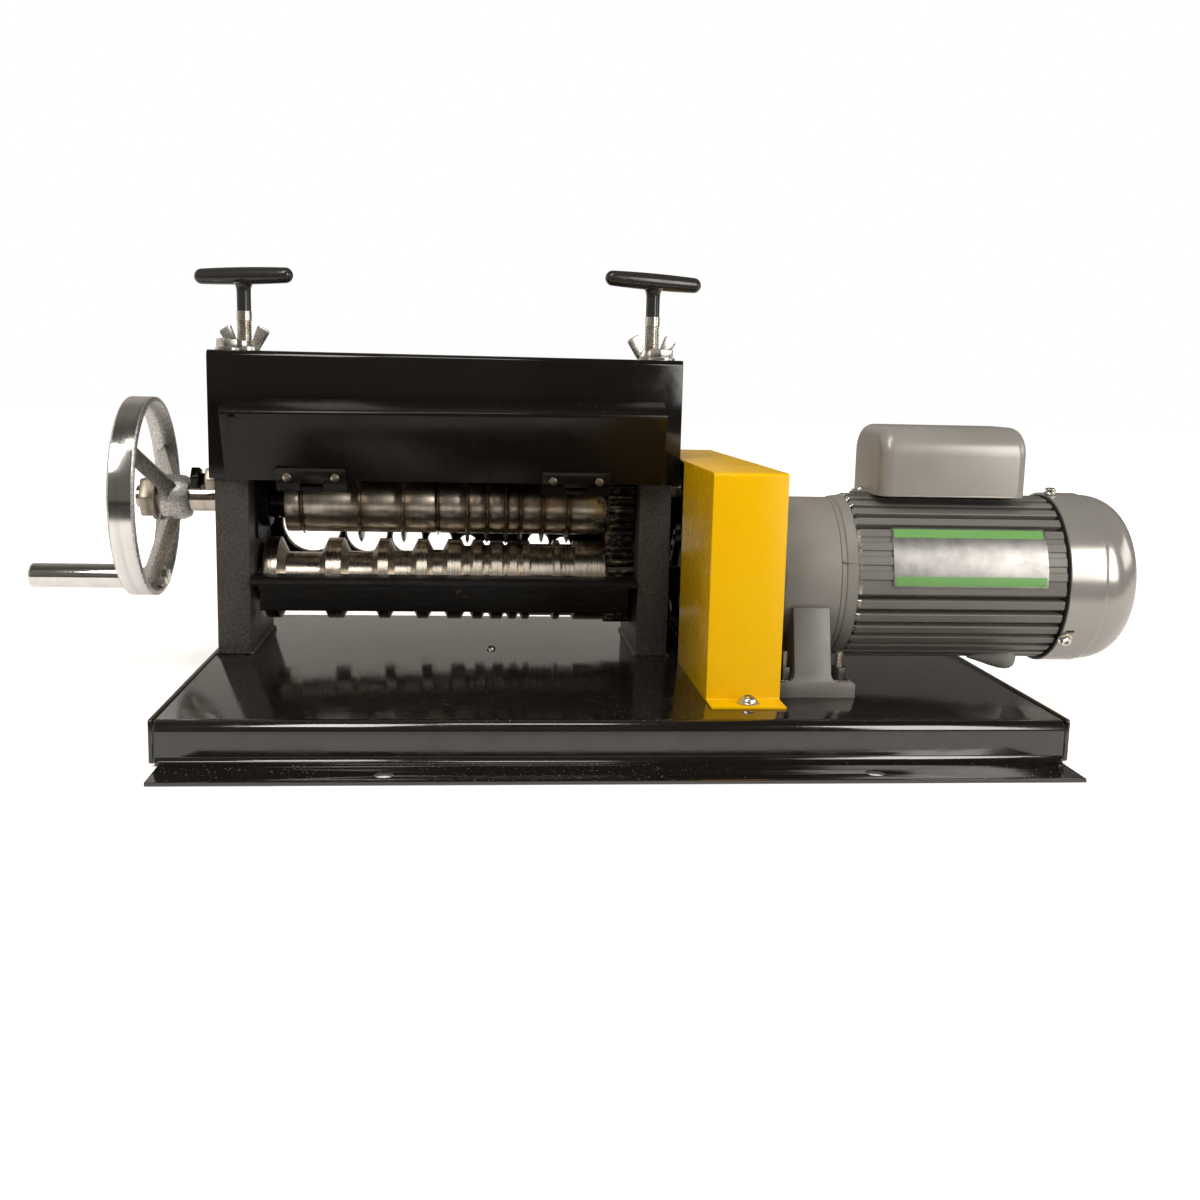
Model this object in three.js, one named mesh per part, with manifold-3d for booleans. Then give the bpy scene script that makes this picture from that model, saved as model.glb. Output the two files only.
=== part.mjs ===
// Electric wire stripping machine. Two geared rollers turn between two side plates on a folded steel
// pan: the upper one carries ten cutting discs, the lower one has a groove under each disc. A gearmotor
// drives the lower roller by a chain, and a crank wheel on the upper shaft turns them by hand.
// Millimetres, +Z up, X along the rollers, the operator stands at -Y.
import * as THREE from "three";
import { mergeVertices } from "three/addons/utils/BufferGeometryUtils.js";
import Module from "manifold-3d";

const wasm = await Module();
wasm.setup();

// Clearances and numbers of sides
const SEAT_GAP = 0.1;
const RUN_GAP = 0.4;
const CUT_OVERRUN = 5;
const ROUND_SIDES = 16;
const STACK_SIDES = 12;
const SMALL_SIDES = 10;
const COARSE_SIDES = 8;
const WHEEL_SIDES = 24;
const BEND_STEPS = 2;

// Base pan, a hat section with closed ends
const BASE_LENGTH = 600;
const BASE_DEPTH = 390;
const BASE_HEIGHT = 30;
const BASE_SHEET = 2.5;
const BASE_BEND = 3;
const FLANGE_WIDTH = 36;
const FLANGE_HOLE_RADIUS = 6.5;
const FLANGE_HOLE_INSET = 12;
const FLANGE_HOLE_SPACING = 306;

// Side plates and what they hold
const PLATE_THICKNESS = 25;
const PLATE_DEPTH = 115;
const PLATE_HEIGHT = 230;
const PLATE_GAP = 303;
const PLATE_END_INSET = 4;
const PLATE_FRONT_SETBACK = 206;
const PLATE_WELD = 4;
const LOWER_AXIS_HEIGHT = 53;
const SLOT_WIDTH = 54;
const BUSH_RADIUS = 19;
const BUSH_FLANGE_RADIUS = 24;
const BUSH_FLANGE_THICKNESS = 5;
const LOCK_BOLT_RADIUS = 5;
const LOCK_BOLT_LENGTH = 21;
const LOCK_BOLT_RISE = 24;
const LOCK_BOLT_ADVANCE = 38;
const LOCK_NUT_RADIUS = 9;
const LOCK_NUT_HEIGHT = 8;

// Hood over the side plates
const HOOD_SHEET = 3;
const HOOD_BEND = 0.2;
const HOOD_OVERHANG = 4;
const HOOD_APRON = 95;
const HOOD_HOLE_RADIUS = 8;
const HOOD_BOLT_ACROSS = 17;
const HOOD_BOLT_HEIGHT = 6.5;
const HOOD_WASHER_RADIUS = 10.5;
const HOOD_WASHER_THICKNESS = 2;

// Guard flap on two hinges at the hood's lower edge
const FLAP_SHEET = 1.5;
const FLAP_BEND = 1.5;
const FLAP_LENGTH = 333.5;
const FLAP_END_INSET = 12.5;
const FLAP_HEIGHT = 60;
const FLAP_LIP = 25;
const FLAP_LEAN_DEGREES = 20.5;
const FLAP_LIP_TURN_DEGREES = 91;
const FLAP_FOOT_RISE = 4.6;
const FLAP_SLOT_LENGTH = 5;
const FLAP_SLOT_HEIGHT = 3;
const FLAP_SLOT_INSET = 8;
const FLAP_SLOT_DROP = 6;
const HINGE_LENGTH = 55;
const HINGE_LEFT_INSET = 39;
const HINGE_RIGHT_INSET = 33;
const HINGE_LEAF = 1.5;
const HINGE_LEAF_HEIGHT = 18;
const HINGE_FIXED_HEIGHT = 22;
const HINGE_KNUCKLE_RADIUS = 3.5;
const HINGE_PIN_RADIUS = 1.5;
const HINGE_DROP = 6;
const HINGE_SCREW_RADIUS = 3;
const HINGE_SCREW_HEIGHT = 1.5;
const HINGE_SCREW_SPACING = 36;

// Rollers, cutting discs and their gears
const GEAR_MODULE = 2.5;
const GEAR_TEETH = 26;
const GEAR_WIDTH = 22;
const GEAR_END_GAP = 1;
const GEAR_BACKLASH = 0.45;
const GEAR_PRESSURE_DEGREES = 20;
const GEAR_FOOT_SHARE = 1.25;
const ROLLER_RADIUS = 33.25;
const ROLLER_END_GAP = 3;
const ROLLER_CHAMFER = 1.5;
const GROOVE_FLANK_SHARE = 0.5;
const LOWER_SHAFT_RADIUS = 12.5;
const UPPER_SHAFT_RADIUS = 12;
const SPACER_RADIUS = 26.5;
const STACK_SETBACK = 20;
const DISC_THICKNESS = 3;
const DISC_REACH = 8.5;
const STACK_CLEARANCE = 0.1;

// One row per groove, from the left plate: place and width are shares of the gap between the plates,
// depth is a share of the roller's radius, reach is a share of the longest disc's reach, and hole is
// the guide hole's radius as a share of the gap between the plates.
const STATION_SHARES = [
  { place: 0.1106, width: 0.1277, depth: 0.361, reach: 0.25, hole: 0.0825 },
  { place: 0.2624, width: 0.0977, depth: 0.331, reach: 1, hole: 0.0578 },
  { place: 0.3762, width: 0.0759, depth: 0.301, reach: 1, hole: 0.0429 },
  { place: 0.4686, width: 0.0545, depth: 0.271, reach: 0.35, hole: 0.0347 },
  { place: 0.5479, width: 0.0327, depth: 0.165, reach: 1, hole: 0.0264 },
  { place: 0.6007, width: 0.0257, depth: 0.14, reach: 0.95, hole: 0.0188 },
  { place: 0.6518, width: 0.0205, depth: 0.135, reach: 1, hole: 0.0172 },
  { place: 0.6898, width: 0.0178, depth: 0.13, reach: 0.95, hole: 0.0132 },
  { place: 0.7492, width: 0.0683, depth: 0.1, reach: 0.85, hole: 0.0314 },
  { place: 0.8185, width: 0.0413, depth: 0.1, reach: 0.85, hole: 0.0248 },
];

// Sliding bearing blocks of the upper shaft
const BLOCK_HEIGHT = 60;
const BLOCK_BOSS_RADIUS = 22.5;
const BLOCK_BOSS_LENGTH = 7;
const BLOCK_SCREW_DEPTH = 14;

// Feed table in front, and the guide plate behind
const TABLE_RISE = 60;
const TABLE_DEPTH = 41;
const TABLE_LIP = 24;
const TABLE_SHEET = 4;
const TABLE_BEND = 2;
const TABLE_ROLLER_GAP = 3;
const TABLE_LIP_END_GAP = 8;
const FINGER_REACH = 3.6;
const FINGER_SIDE_GAP = 0.8;
const FIRST_FINGER_STATION = 4;
const GUIDE_THICKNESS = 5;
const GUIDE_REAR_INSET = 4;
const GUIDE_HEIGHT = 78;
const GUIDE_RISE = 56;
const GUIDE_HOLE_LINE = 68.5;

// Handwheel and crank
const WHEEL_RADIUS = 80;
const WHEEL_RIM_WIDTH = 18;
const WHEEL_RIM_THICKNESS = 5;
const WHEEL_RIM_BEAD = 1.5;
const WHEEL_HUB_RADIUS = 19;
const WHEEL_HUB_LENGTH = 25;
const WHEEL_DISH = 22;
const WHEEL_STANDOFF = 32.5;
const SPOKE_WIDTH = 15;
const SPOKE_THICKNESS = 5;
const SPOKE_HUB_INSET = 2;
const SPOKE_COUNT = 3;
const FIRST_SPOKE_DEGREES = 65;
const STUB_RADIUS = 10;
const STUB_THREAD_RADIUS = 9;
const STUB_END = 17;
const WHEEL_WASHER_RADIUS = 18.5;
const WHEEL_WASHER_THICKNESS = 3.5;
const WHEEL_NUT_ACROSS = 30;
const WHEEL_NUT_HEIGHT = 9.5;
const CRANK_PLACE_DEGREES = 187;
const CRANK_ARM = 67;
const CRANK_BOSS_RADIUS = 9;
const CRANK_BOSS_LEFT = 5;
const CRANK_BOSS_RIGHT = 9.5;
const CRANK_RADIUS = 10;
const CRANK_LENGTH = 86;
const CRANK_ROUNDING = 3;
const CRANK_PIN_RADIUS = 5;
const CRANK_PIN_DEPTH = 70;
const CRANK_PIN_HEAD_RADIUS = 7;
const CRANK_PIN_HEAD = 4;

// Hand screws over the bearing blocks
const SCREW_RADIUS = 5.9;
const SCREW_COAT_RADIUS = 6.4;
const SCREW_BAR_RADIUS = 6.8;
const SCREW_BAR_LENGTH = 82;
const SCREW_BAR_ROUNDING = 5;
const SCREW_BAR_RISE = 63;
const SCREW_COAT_RISE = 32;
const LEFT_BAR_TURN_DEGREES = -14;
const RIGHT_BAR_TURN_DEGREES = 12;
const WING_HUB_RADIUS = 11.5;
const WING_HUB_TOP_RADIUS = 8.5;
const WING_HUB_HEIGHT = 8;
const WING_LENGTH = 19;
const WING_WIDTH = 13;
const WING_THICKNESS = 2;
const WING_LEAN_DEGREES = 28;

// Chain drive
const CHAIN_PITCH = 15.875;
const CHAIN_PLATE_HEIGHT = 14;
const CHAIN_PLATE_THICKNESS = 1.8;
const CHAIN_INNER_WIDTH = 9.6;
const CHAIN_ROLLER_RADIUS = 5;
const CHAIN_PIN_RADIUS = 2.6;
const CHAIN_PIN_PROUD = 1.2;
const CHAIN_PLATE_LAP = 0.2;
const CHAIN_PIN_SIDES = 5;
const CHAIN_ROLLER_SIDES = 6;
const CHAIN_END_STEPS = 2;
const SPROCKET_WIDTH = 8.4;
const SPROCKET_TIP_SHARE = 0.3;
const MOTOR_SPROCKET_TEETH = 12;
const ROLLER_SPROCKET_TEETH = 16;
const SPROCKET_OFFSET = 23;
const SPROCKET_HUB_LENGTH = 26;
const MOTOR_SPROCKET_HUB_RADIUS = 19;
const ROLLER_SPROCKET_HUB_RADIUS = 24;
const SHAFT_END_PROUD = 4;

// Chain guard
const GUARD_SHEET = 1.5;
const GUARD_BEND = 1.5;
const GUARD_WIDTH = 53;
const GUARD_HEIGHT = 157.5;
const GUARD_FOOT = 21;
const GUARD_FRONT_INSET = 63;
const GUARD_BACK_INSET = 25;
const GUARD_PLATE_GAP = 5;
const GUARD_SIDE_DEPTH = 131;
const GUARD_LIP = 10;
const GUARD_REAR_SIDE_SHARE = 0.42;
const GUARD_BOLT_ACROSS = 13;
const GUARD_BOLT_HEIGHT = 5;
const GUARD_WASHER_RADIUS = 10;
const GUARD_WASHER_THICKNESS = 1.6;

// Gearmotor
const MOTOR_AXIS_HEIGHT = 78;
const MOTOR_AXIS_ADVANCE = 124.1;
const GEARBOX_START = 61;
const GEARBOX_LENGTH = 44;
const GEARBOX_RADIUS = 58.3;
const GEARBOX_NOSE_RADIUS = 34;
const GEARBOX_NOSE_LENGTH = 3;
const GEARBOX_EDGE = 3;
const OUTPUT_SHAFT_RADIUS = 11;
const OUTPUT_SHAFT_DEPTH = 22;
const FOOT_LENGTH = 61;
const FOOT_DEPTH = 149;
const FOOT_THICKNESS = 11;
const FOOT_FILLET = 5;
const COLUMN_OFFSET = 22.5;
const COLUMN_WIDTH = 26;
const COLUMN_TOP_DEPTH = 120;
const COLUMN_TOP_DROP = 16;
const STUD_RADIUS = 3;
const STUD_HEIGHT = 22;
const STUD_SPACING_X = 40;
const STUD_EDGE = 8;
const STUD_NUT_ACROSS = 10;
const STUD_NUT_HEIGHT = 9;
const STUD_WASHER_RADIUS = 6.2;
const STUD_WASHER_THICKNESS = 1.2;
const SHIELD_LENGTH = 12;
const SHIELD_END_RADIUS = 60;
const MOTOR_LENGTH = 153;
const FIN_RADIUS = 61.5;
const FIN_ROOT_RADIUS = 54.5;
const FIN_COUNT = 36;
const FIN_SHARE = 0.58;
const GLAND_RADIUS = 9;
const GLAND_LENGTH = 30;
const GLAND_END_INSET = 20;
const GLAND_ADVANCE = 24;
const GLAND_DROP = 58;
const GLAND_SHOULDER_SHARE = 0.9;
const GLAND_MOUTH_SHARE = 0.5;
const REAR_SHIELD_LENGTH = 22;
const REAR_SHIELD_NECK = 3.6;
const REAR_SHIELD_NECK_RADIUS = 57;
const ROTOR_SHAFT_RADIUS = 8;
const ROTOR_SHAFT_DEPTH = 16;
const COWL_RADIUS = 64;
const COWL_SHEET = 1.5;
const COWL_LENGTH = 57;
const COWL_STEP = 1.2;
const COWL_BAND = 26;
const COWL_DOME = 28;
const COWL_DOME_RADIUS = 40;
const COWL_DOME_CHORDS = 4;
const COWL_SLOT_COUNT = 6;
const COWL_SLOT_INNER = 14;
const COWL_SLOT_OUTER = 37;
const COWL_SLOT_WIDTH = 6;
const FAN_RADIUS = 52;
const FAN_HUB_RADIUS = 15;
const FAN_HUB_LENGTH = 20;
const FAN_DISC = 2.5;
const FAN_VANE = 2.5;
const FAN_VANE_WIDTH = 13;
const FAN_VANE_COUNT = 6;
const FAN_START = 4;
const CAPACITOR_LENGTH = 109;
const CAPACITOR_DEPTH = 76;
const CAPACITOR_TOP = 113;
const CAPACITOR_START = 19;
const CAPACITOR_SIT = 62.5;
const CAPACITOR_ROUNDING = 14;
const CAPACITOR_FRONT_ROUNDING = 20;
const CAPACITOR_PAD_DEPTH = 56;
const CAPACITOR_TAB_REACH = 9;
const CAPACITOR_TAB_WIDTH = 14;
const CAPACITOR_TAB_THICKNESS = 2;
const CAPACITOR_SCREW_RADIUS = 3.5;
const CAPACITOR_SCREW_HEIGHT = 2.5;

// Places worked out from the sizes above
const baseTop = BASE_HEIGHT;
const baseFront = -BASE_DEPTH / 2;
const baseBack = BASE_DEPTH / 2;
const leftPlateOuter = -BASE_LENGTH / 2 + PLATE_END_INSET;
const leftPlateInner = leftPlateOuter + PLATE_THICKNESS;
const rightPlateInner = leftPlateInner + PLATE_GAP;
const rightPlateOuter = rightPlateInner + PLATE_THICKNESS;
const plateFront = baseFront + PLATE_FRONT_SETBACK;
const plateBack = plateFront + PLATE_DEPTH;
const plateTop = baseTop + PLATE_HEIGHT;
const rollerAxisY = plateFront + PLATE_DEPTH / 2;
const lowerAxisZ = baseTop + LOWER_AXIS_HEIGHT;
const gearPitchRadius = GEAR_MODULE * GEAR_TEETH / 2;
const upperAxisZ = lowerAxisZ + 2 * gearPitchRadius;
const gearRight = rightPlateInner - GEAR_END_GAP;
const gearLeft = gearRight - GEAR_WIDTH;
const hoodTop = plateTop + SEAT_GAP + HOOD_SHEET;
const hoodFront = plateFront - SEAT_GAP - HOOD_SHEET;
const hoodBack = plateBack + SEAT_GAP + HOOD_SHEET;
const hoodBottom = hoodTop - HOOD_APRON;
const hingeY = hoodFront - HINGE_LEAF - SEAT_GAP - RUN_GAP - HINGE_KNUCKLE_RADIUS;
const hingeZ = hoodBottom - HINGE_DROP;
const sprocketX = rightPlateOuter + SPROCKET_OFFSET;
const motorAxisY = rollerAxisY - MOTOR_AXIS_ADVANCE;
const motorAxisZ = baseTop + MOTOR_AXIS_HEIGHT;
const gearboxLeft = rightPlateOuter + GEARBOX_START;
const shieldLeft = gearboxLeft + GEARBOX_LENGTH + SEAT_GAP;
const motorLeft = shieldLeft + SHIELD_LENGTH + SEAT_GAP;
const motorRight = motorLeft + MOTOR_LENGTH;
const rearShieldLeft = motorRight + SEAT_GAP;
const rearShieldRight = rearShieldLeft + REAR_SHIELD_LENGTH;
const cowlLeft = rearShieldLeft + REAR_SHIELD_NECK;
const capacitorLeft = motorLeft + CAPACITOR_START;
const blockBottom = upperAxisZ - BLOCK_HEIGHT / 2;
const stations = STATION_SHARES.map((shares, index) => ({
  index: index + 1,
  x: leftPlateInner + shares.place * PLATE_GAP,
  width: shares.width * PLATE_GAP,
  depth: shares.depth * ROLLER_RADIUS,
  reach: shares.reach * DISC_REACH,
  hole: shares.hole * PLATE_GAP,
}));

const radians = (degrees) => degrees * Math.PI / 180;

// Finishes
const finish = (color, roughness, metalness) => new THREE.MeshStandardMaterial({ color, roughness, metalness });
const FINISHES = {
  glossBlack: finish(0x111111, 0.15, 0.2),
  hammered: finish(0x3b3835, 0.45, 0.4),
  blackSteel: finish(0x2b2826, 0.4, 0.5),
  steel: finish(0xb9b2a6, 0.3, 1),
  bladeSteel: finish(0xa7a098, 0.25, 1),
  aluminium: finish(0xc9c6c0, 0.35, 1),
  polished: finish(0xdedbd6, 0.12, 1),
  zinc: finish(0xcfcabf, 0.3, 1),
  bronze: finish(0x9a8050, 0.4, 1),
  dippedBlack: finish(0x161616, 0.25, 0),
  yellow: finish(0xf0cd00, 0.4, 0.1),
  greyPaint: finish(0x8d8d8b, 0.5, 0.1),
  greyPlastic: finish(0x9a9a98, 0.55, 0),
  chainSteel: finish(0x4a4640, 0.45, 0.9),
};

/** A closed solid from a three.js geometry, with its faces pointing out. */
function solid(geometry) {
  geometry.deleteAttribute("normal");
  geometry.deleteAttribute("uv");
  const merged = mergeVertices(geometry);
  const points = merged.getAttribute("position").array;
  const faces = [];
  for (let i = 0; i < merged.index.count; i += 3) {
    const [a, b, c] = [merged.index.getX(i), merged.index.getX(i + 1), merged.index.getX(i + 2)];
    if (a !== b && b !== c && c !== a) {
      faces.push([a, b, c]);
    }
  }
  const corner = (n) => new THREE.Vector3().fromArray(points, 3 * n);
  const volume = faces.reduce((sum, [a, b, c]) => sum + corner(a).dot(corner(b).cross(corner(c))), 0);
  const outward = volume < 0 ? faces.map(([a, b, c]) => [a, c, b]) : faces;
  const mesh = new wasm.Mesh({
    numProp: 3,
    vertProperties: new Float32Array(points),
    triVerts: new Uint32Array(outward.flat()),
  });
  return new wasm.Manifold(mesh);
}

/** A rectangular block between two corners. */
function block(low, high) {
  const size = high.map((value, axis) => value - low[axis]);
  const middle = high.map((value, axis) => (value + low[axis]) / 2);
  return solid(new THREE.BoxGeometry(...size).translate(...middle));
}

/** A solid turned about the X axis from [x, radius] pairs. */
function turned(profile, sides = ROUND_SIDES) {
  const points = profile.map(([x, radius]) => new THREE.Vector2(radius, x));
  return solid(new THREE.LatheGeometry(points, sides).rotateZ(-Math.PI / 2));
}

/** A round bar along X. */
function rod(start, end, radius, sides = ROUND_SIDES) {
  return turned([[start, 0], [start, radius], [end, radius], [end, 0]], sides);
}

/** A round collar along X. */
function collar(start, end, inner, outer, sides = ROUND_SIDES) {
  return turned([[start, inner], [start, outer], [end, outer], [end, inner], [start, inner]], sides);
}

/** Turns a solid made along X so that it stands along Z. */
const upright = (shape) => shape.rotate([0, -90, 0]);

/** A prism along X from an outline in Y and Z. */
function prismX(shape, start, end, curveSegments = BEND_STEPS) {
  const geometry = new THREE.ExtrudeGeometry(shape, { depth: end - start, bevelEnabled: false, curveSegments });
  const turn = new THREE.Matrix4().makeBasis(
    new THREE.Vector3(0, 1, 0), new THREE.Vector3(0, 0, 1), new THREE.Vector3(1, 0, 0));
  return solid(geometry.applyMatrix4(turn).translate(start, 0, 0));
}

/** A prism along Y from an outline in X and Z. */
function prismY(shape, start, end, curveSegments = BEND_STEPS) {
  const geometry = new THREE.ExtrudeGeometry(shape, { depth: end - start, bevelEnabled: false, curveSegments });
  const turn = new THREE.Matrix4().makeBasis(
    new THREE.Vector3(1, 0, 0), new THREE.Vector3(0, 0, 1), new THREE.Vector3(0, -1, 0));
  return solid(geometry.applyMatrix4(turn).translate(0, end, 0));
}

const outline = (points) => new THREE.Shape(points.map(([u, v]) => new THREE.Vector2(u, v)));

/** The signed turn at a corner of a path, positive to the left. */
function turnAt(before, corner, after) {
  const into = corner.clone().sub(before);
  const out = after.clone().sub(corner);
  return Math.atan2(into.cross(out), into.dot(out));
}

/** A path moved sideways to its left by a distance. */
function movedPath(path, distance) {
  return path.map((corner, i) => {
    const into = corner.clone().sub(path[Math.max(i - 1, 0)]);
    const out = path[Math.min(i + 1, path.length - 1)].clone().sub(corner);
    const first = (into.length() > 0 ? into : out).clone().normalize();
    const second = (out.length() > 0 ? out : into).clone().normalize();
    const side = new THREE.Vector2(-first.y - second.y, first.x + second.x).normalize();
    const spread = side.dot(new THREE.Vector2(-first.y, first.x));
    return corner.clone().addScaledVector(side, distance / spread);
  });
}

/** A path with its inner corners rounded, radii given by the side that a corner turns to. */
function roundedPath(path, leftRadius, rightRadius, steps = BEND_STEPS) {
  const points = [];
  path.forEach((corner, i) => {
    if (i === 0 || i === path.length - 1) {
      points.push(corner);
      return;
    }
    const turn = turnAt(path[i - 1], corner, path[i + 1]);
    const radius = turn > 0 ? leftRadius : rightRadius;
    const setback = radius * Math.tan(Math.abs(turn) / 2);
    const into = corner.clone().sub(path[i - 1]).normalize();
    const start = corner.clone().addScaledVector(into, -setback);
    const side = new THREE.Vector2(-into.y, into.x).multiplyScalar(Math.sign(turn));
    const centre = start.clone().addScaledVector(side, radius);
    for (let step = 0; step <= steps; step += 1) {
      const swing = turn * step / steps;
      points.push(start.clone().rotateAround(centre, swing));
    }
  });
  return points;
}

/** The outline of a folded sheet: the path is one face, and the sheet lies to its left. */
function foldedSheet(path, thickness, bend) {
  const corners = path.map(([u, v]) => new THREE.Vector2(u, v));
  const near = roundedPath(corners, bend + thickness, bend);
  const far = roundedPath(movedPath(corners, thickness), bend, bend + thickness);
  return new THREE.Shape([...near, ...far.reverse()]);
}

/** A regular hexagon as a closed outline, by its size across flats. */
function hexagonPoints(across) {
  const radius = across / 2 / Math.cos(Math.PI / 6);
  return Array.from({ length: 6 }, (_, i) => [radius * Math.cos(i * Math.PI / 3), radius * Math.sin(i * Math.PI / 3)]);
}

/** A hexagon prism standing along Z with its foot at the origin. */
function hexagonHead(across, height) {
  const geometry = new THREE.ExtrudeGeometry(outline(hexagonPoints(across)), { depth: height, bevelEnabled: false });
  return solid(geometry);
}

/** Joins several solids into one. */
const joined = (...shapes) => shapes.reduce((sum, shape) => sum.add(shape));

const root = new THREE.Group();
const frame = new THREE.Group();
const carriage = new THREE.Group();
const upperTrain = new THREE.Group();
const lowerTrain = new THREE.Group();
const motorTrain = new THREE.Group();
carriage.position.set(0, rollerAxisY, upperAxisZ);
lowerTrain.position.set(0, rollerAxisY, lowerAxisZ);
motorTrain.position.set(0, motorAxisY, motorAxisZ);
carriage.add(upperTrain);
root.add(frame, carriage, lowerTrain, motorTrain);

/** Puts a named mesh of a solid into a group. */
function addPart(group, name, shape, material, place = [0, 0, 0]) {
  const { vertProperties, triVerts } = shape.getMesh();
  const geometry = new THREE.BufferGeometry();
  geometry.setAttribute("position", new THREE.BufferAttribute(new Float32Array(vertProperties), 3));
  geometry.setIndex(new THREE.BufferAttribute(new Uint32Array(triVerts), 1));
  geometry.computeVertexNormals();
  const mesh = new THREE.Mesh(geometry, material);
  mesh.name = name;
  mesh.position.set(...place);
  group.add(mesh);
  return mesh;
}

/** Base pan: folded top, front and rear flanges, and closed ends. */
function makeBasePan() {
  const path = [
    [baseBack + FLANGE_WIDTH, BASE_SHEET], [baseBack, BASE_SHEET], [baseBack, BASE_HEIGHT],
    [baseFront, BASE_HEIGHT], [baseFront, BASE_SHEET], [baseFront - FLANGE_WIDTH, BASE_SHEET],
  ];
  let pan = prismX(foldedSheet(path, BASE_SHEET, BASE_BEND), -BASE_LENGTH / 2, BASE_LENGTH / 2);
  const filled = [[baseBack, 0], [baseBack, BASE_HEIGHT], [baseFront, BASE_HEIGHT], [baseFront, 0]]
    .map(([y, z]) => new THREE.Vector2(y, z));
  const endShape = new THREE.Shape(roundedPath(filled, BASE_BEND + BASE_SHEET, BASE_BEND));
  for (const side of [-1, 1]) {
    const outer = side * BASE_LENGTH / 2;
    const inner = outer - side * BASE_SHEET;
    pan = pan.add(prismX(endShape, Math.min(outer, inner), Math.max(outer, inner)));
  }
  for (const y of [baseFront - FLANGE_WIDTH + FLANGE_HOLE_INSET, baseBack + FLANGE_WIDTH - FLANGE_HOLE_INSET]) {
    for (const side of [-1, 1]) {
      const hole = upright(rod(-CUT_OVERRUN, BASE_SHEET + CUT_OVERRUN, FLANGE_HOLE_RADIUS, SMALL_SIDES));
      pan = pan.subtract(hole.translate([side * FLANGE_HOLE_SPACING / 2, y, 0]));
    }
  }
  addPart(frame, "base_pan", pan, FINISHES.glossBlack);
}

/** Side plate: an open slot for the sliding block above a round bore for the lower bearing. */
function makeSidePlate(name, outer, inner) {
  const low = Math.min(outer, inner);
  const high = Math.max(outer, inner);
  const slotFloor = blockBottom - SEAT_GAP;
  const slotFront = rollerAxisY - SLOT_WIDTH / 2;
  const slotBack = rollerAxisY + SLOT_WIDTH / 2;
  const plateShape = outline([
    [plateFront, baseTop], [plateBack, baseTop], [plateBack, plateTop], [slotBack, plateTop],
    [slotBack, slotFloor], [slotFront, slotFloor], [slotFront, plateTop], [plateFront, plateTop],
  ]);
  let plate = prismX(plateShape, low, high);
  plate = plate.translate([0, 0, SEAT_GAP]).trimByPlane([0, 0, -1], -plateTop);
  for (const [face, side] of [[low, -1], [high, 1]]) {
    const bead = prismY(outline([
      [face - side * PLATE_WELD, baseTop + SEAT_GAP], [face + side * PLATE_WELD, baseTop + SEAT_GAP],
      [face - side * PLATE_WELD / 2, baseTop + 2 * PLATE_WELD],
    ]), plateFront, plateBack);
    plate = plate.add(bead);
  }
  const bore = rod(low - CUT_OVERRUN, high + CUT_OVERRUN, BUSH_RADIUS);
  plate = plate.subtract(bore.translate([0, rollerAxisY, lowerAxisZ]));
  const side = outer < inner ? -1 : 1;
  const reach = outer + side * LOCK_BOLT_LENGTH;
  const nutEnd = outer + side * LOCK_NUT_HEIGHT;
  const bolt = joined(
    rod(Math.min(outer - side * LOCK_NUT_HEIGHT, reach), Math.max(outer - side * LOCK_NUT_HEIGHT, reach),
      LOCK_BOLT_RADIUS, COARSE_SIDES),
    rod(Math.min(outer - side * PLATE_WELD, nutEnd), Math.max(outer - side * PLATE_WELD, nutEnd), LOCK_NUT_RADIUS, 6));
  plate = plate.add(bolt.translate([0, rollerAxisY - LOCK_BOLT_ADVANCE, upperAxisZ + LOCK_BOLT_RISE]));
  addPart(frame, name, plate, FINISHES.hammered);
}

/** Hood: a folded cover over both plates, with its four bolts. */
function makeHood() {
  const left = leftPlateOuter - HOOD_OVERHANG;
  const right = rightPlateOuter + HOOD_OVERHANG;
  const path = [[hoodBack, hoodBottom], [hoodBack, hoodTop], [hoodFront, hoodTop], [hoodFront, hoodBottom]];
  let hood = prismX(foldedSheet(path, HOOD_SHEET, HOOD_BEND), left, right);
  const ear = (PLATE_DEPTH - SLOT_WIDTH) / 4;
  for (const x of [leftPlateOuter + PLATE_THICKNESS / 2, rightPlateInner + PLATE_THICKNESS / 2]) {
    const hole = upright(rod(hoodTop - HOOD_SHEET - CUT_OVERRUN, hoodTop + CUT_OVERRUN, HOOD_HOLE_RADIUS, SMALL_SIDES));
    hood = hood.subtract(hole.translate([x, rollerAxisY, 0]));
    for (const y of [plateFront + ear, plateBack - ear]) {
      const seat = hoodTop - HOOD_SHEET / 2;
      const washer = upright(rod(seat, hoodTop + HOOD_WASHER_THICKNESS, HOOD_WASHER_RADIUS, COARSE_SIDES));
      const head = hexagonHead(HOOD_BOLT_ACROSS, HOOD_BOLT_HEIGHT + HOOD_SHEET / 2 + HOOD_WASHER_THICKNESS);
      hood = joined(hood, washer.translate([x, y, 0]), head.translate([x, y, seat]));
    }
  }
  addPart(frame, "hood", hood, FINISHES.glossBlack);
}

const flapLeft = leftPlateOuter - HOOD_OVERHANG + FLAP_END_INSET;
const flapRight = flapLeft + FLAP_LENGTH;
const lean = radians(FLAP_LEAN_DEGREES);
const flapUp = new THREE.Vector2(-Math.sin(lean), Math.cos(lean));
const flapOut = new THREE.Vector2(-Math.cos(lean), -Math.sin(lean));

/** A point in Y and Z from the hinge axis, up along the flap and out from its back face. */
function flapPoint(up, out) {
  const point = flapUp.clone().multiplyScalar(up).addScaledVector(flapOut, out);
  return [hingeY + point.x, hingeZ + point.y];
}

const flapBackFace = RUN_GAP;
const flapFrontFace = flapBackFace + FLAP_SHEET;

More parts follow.
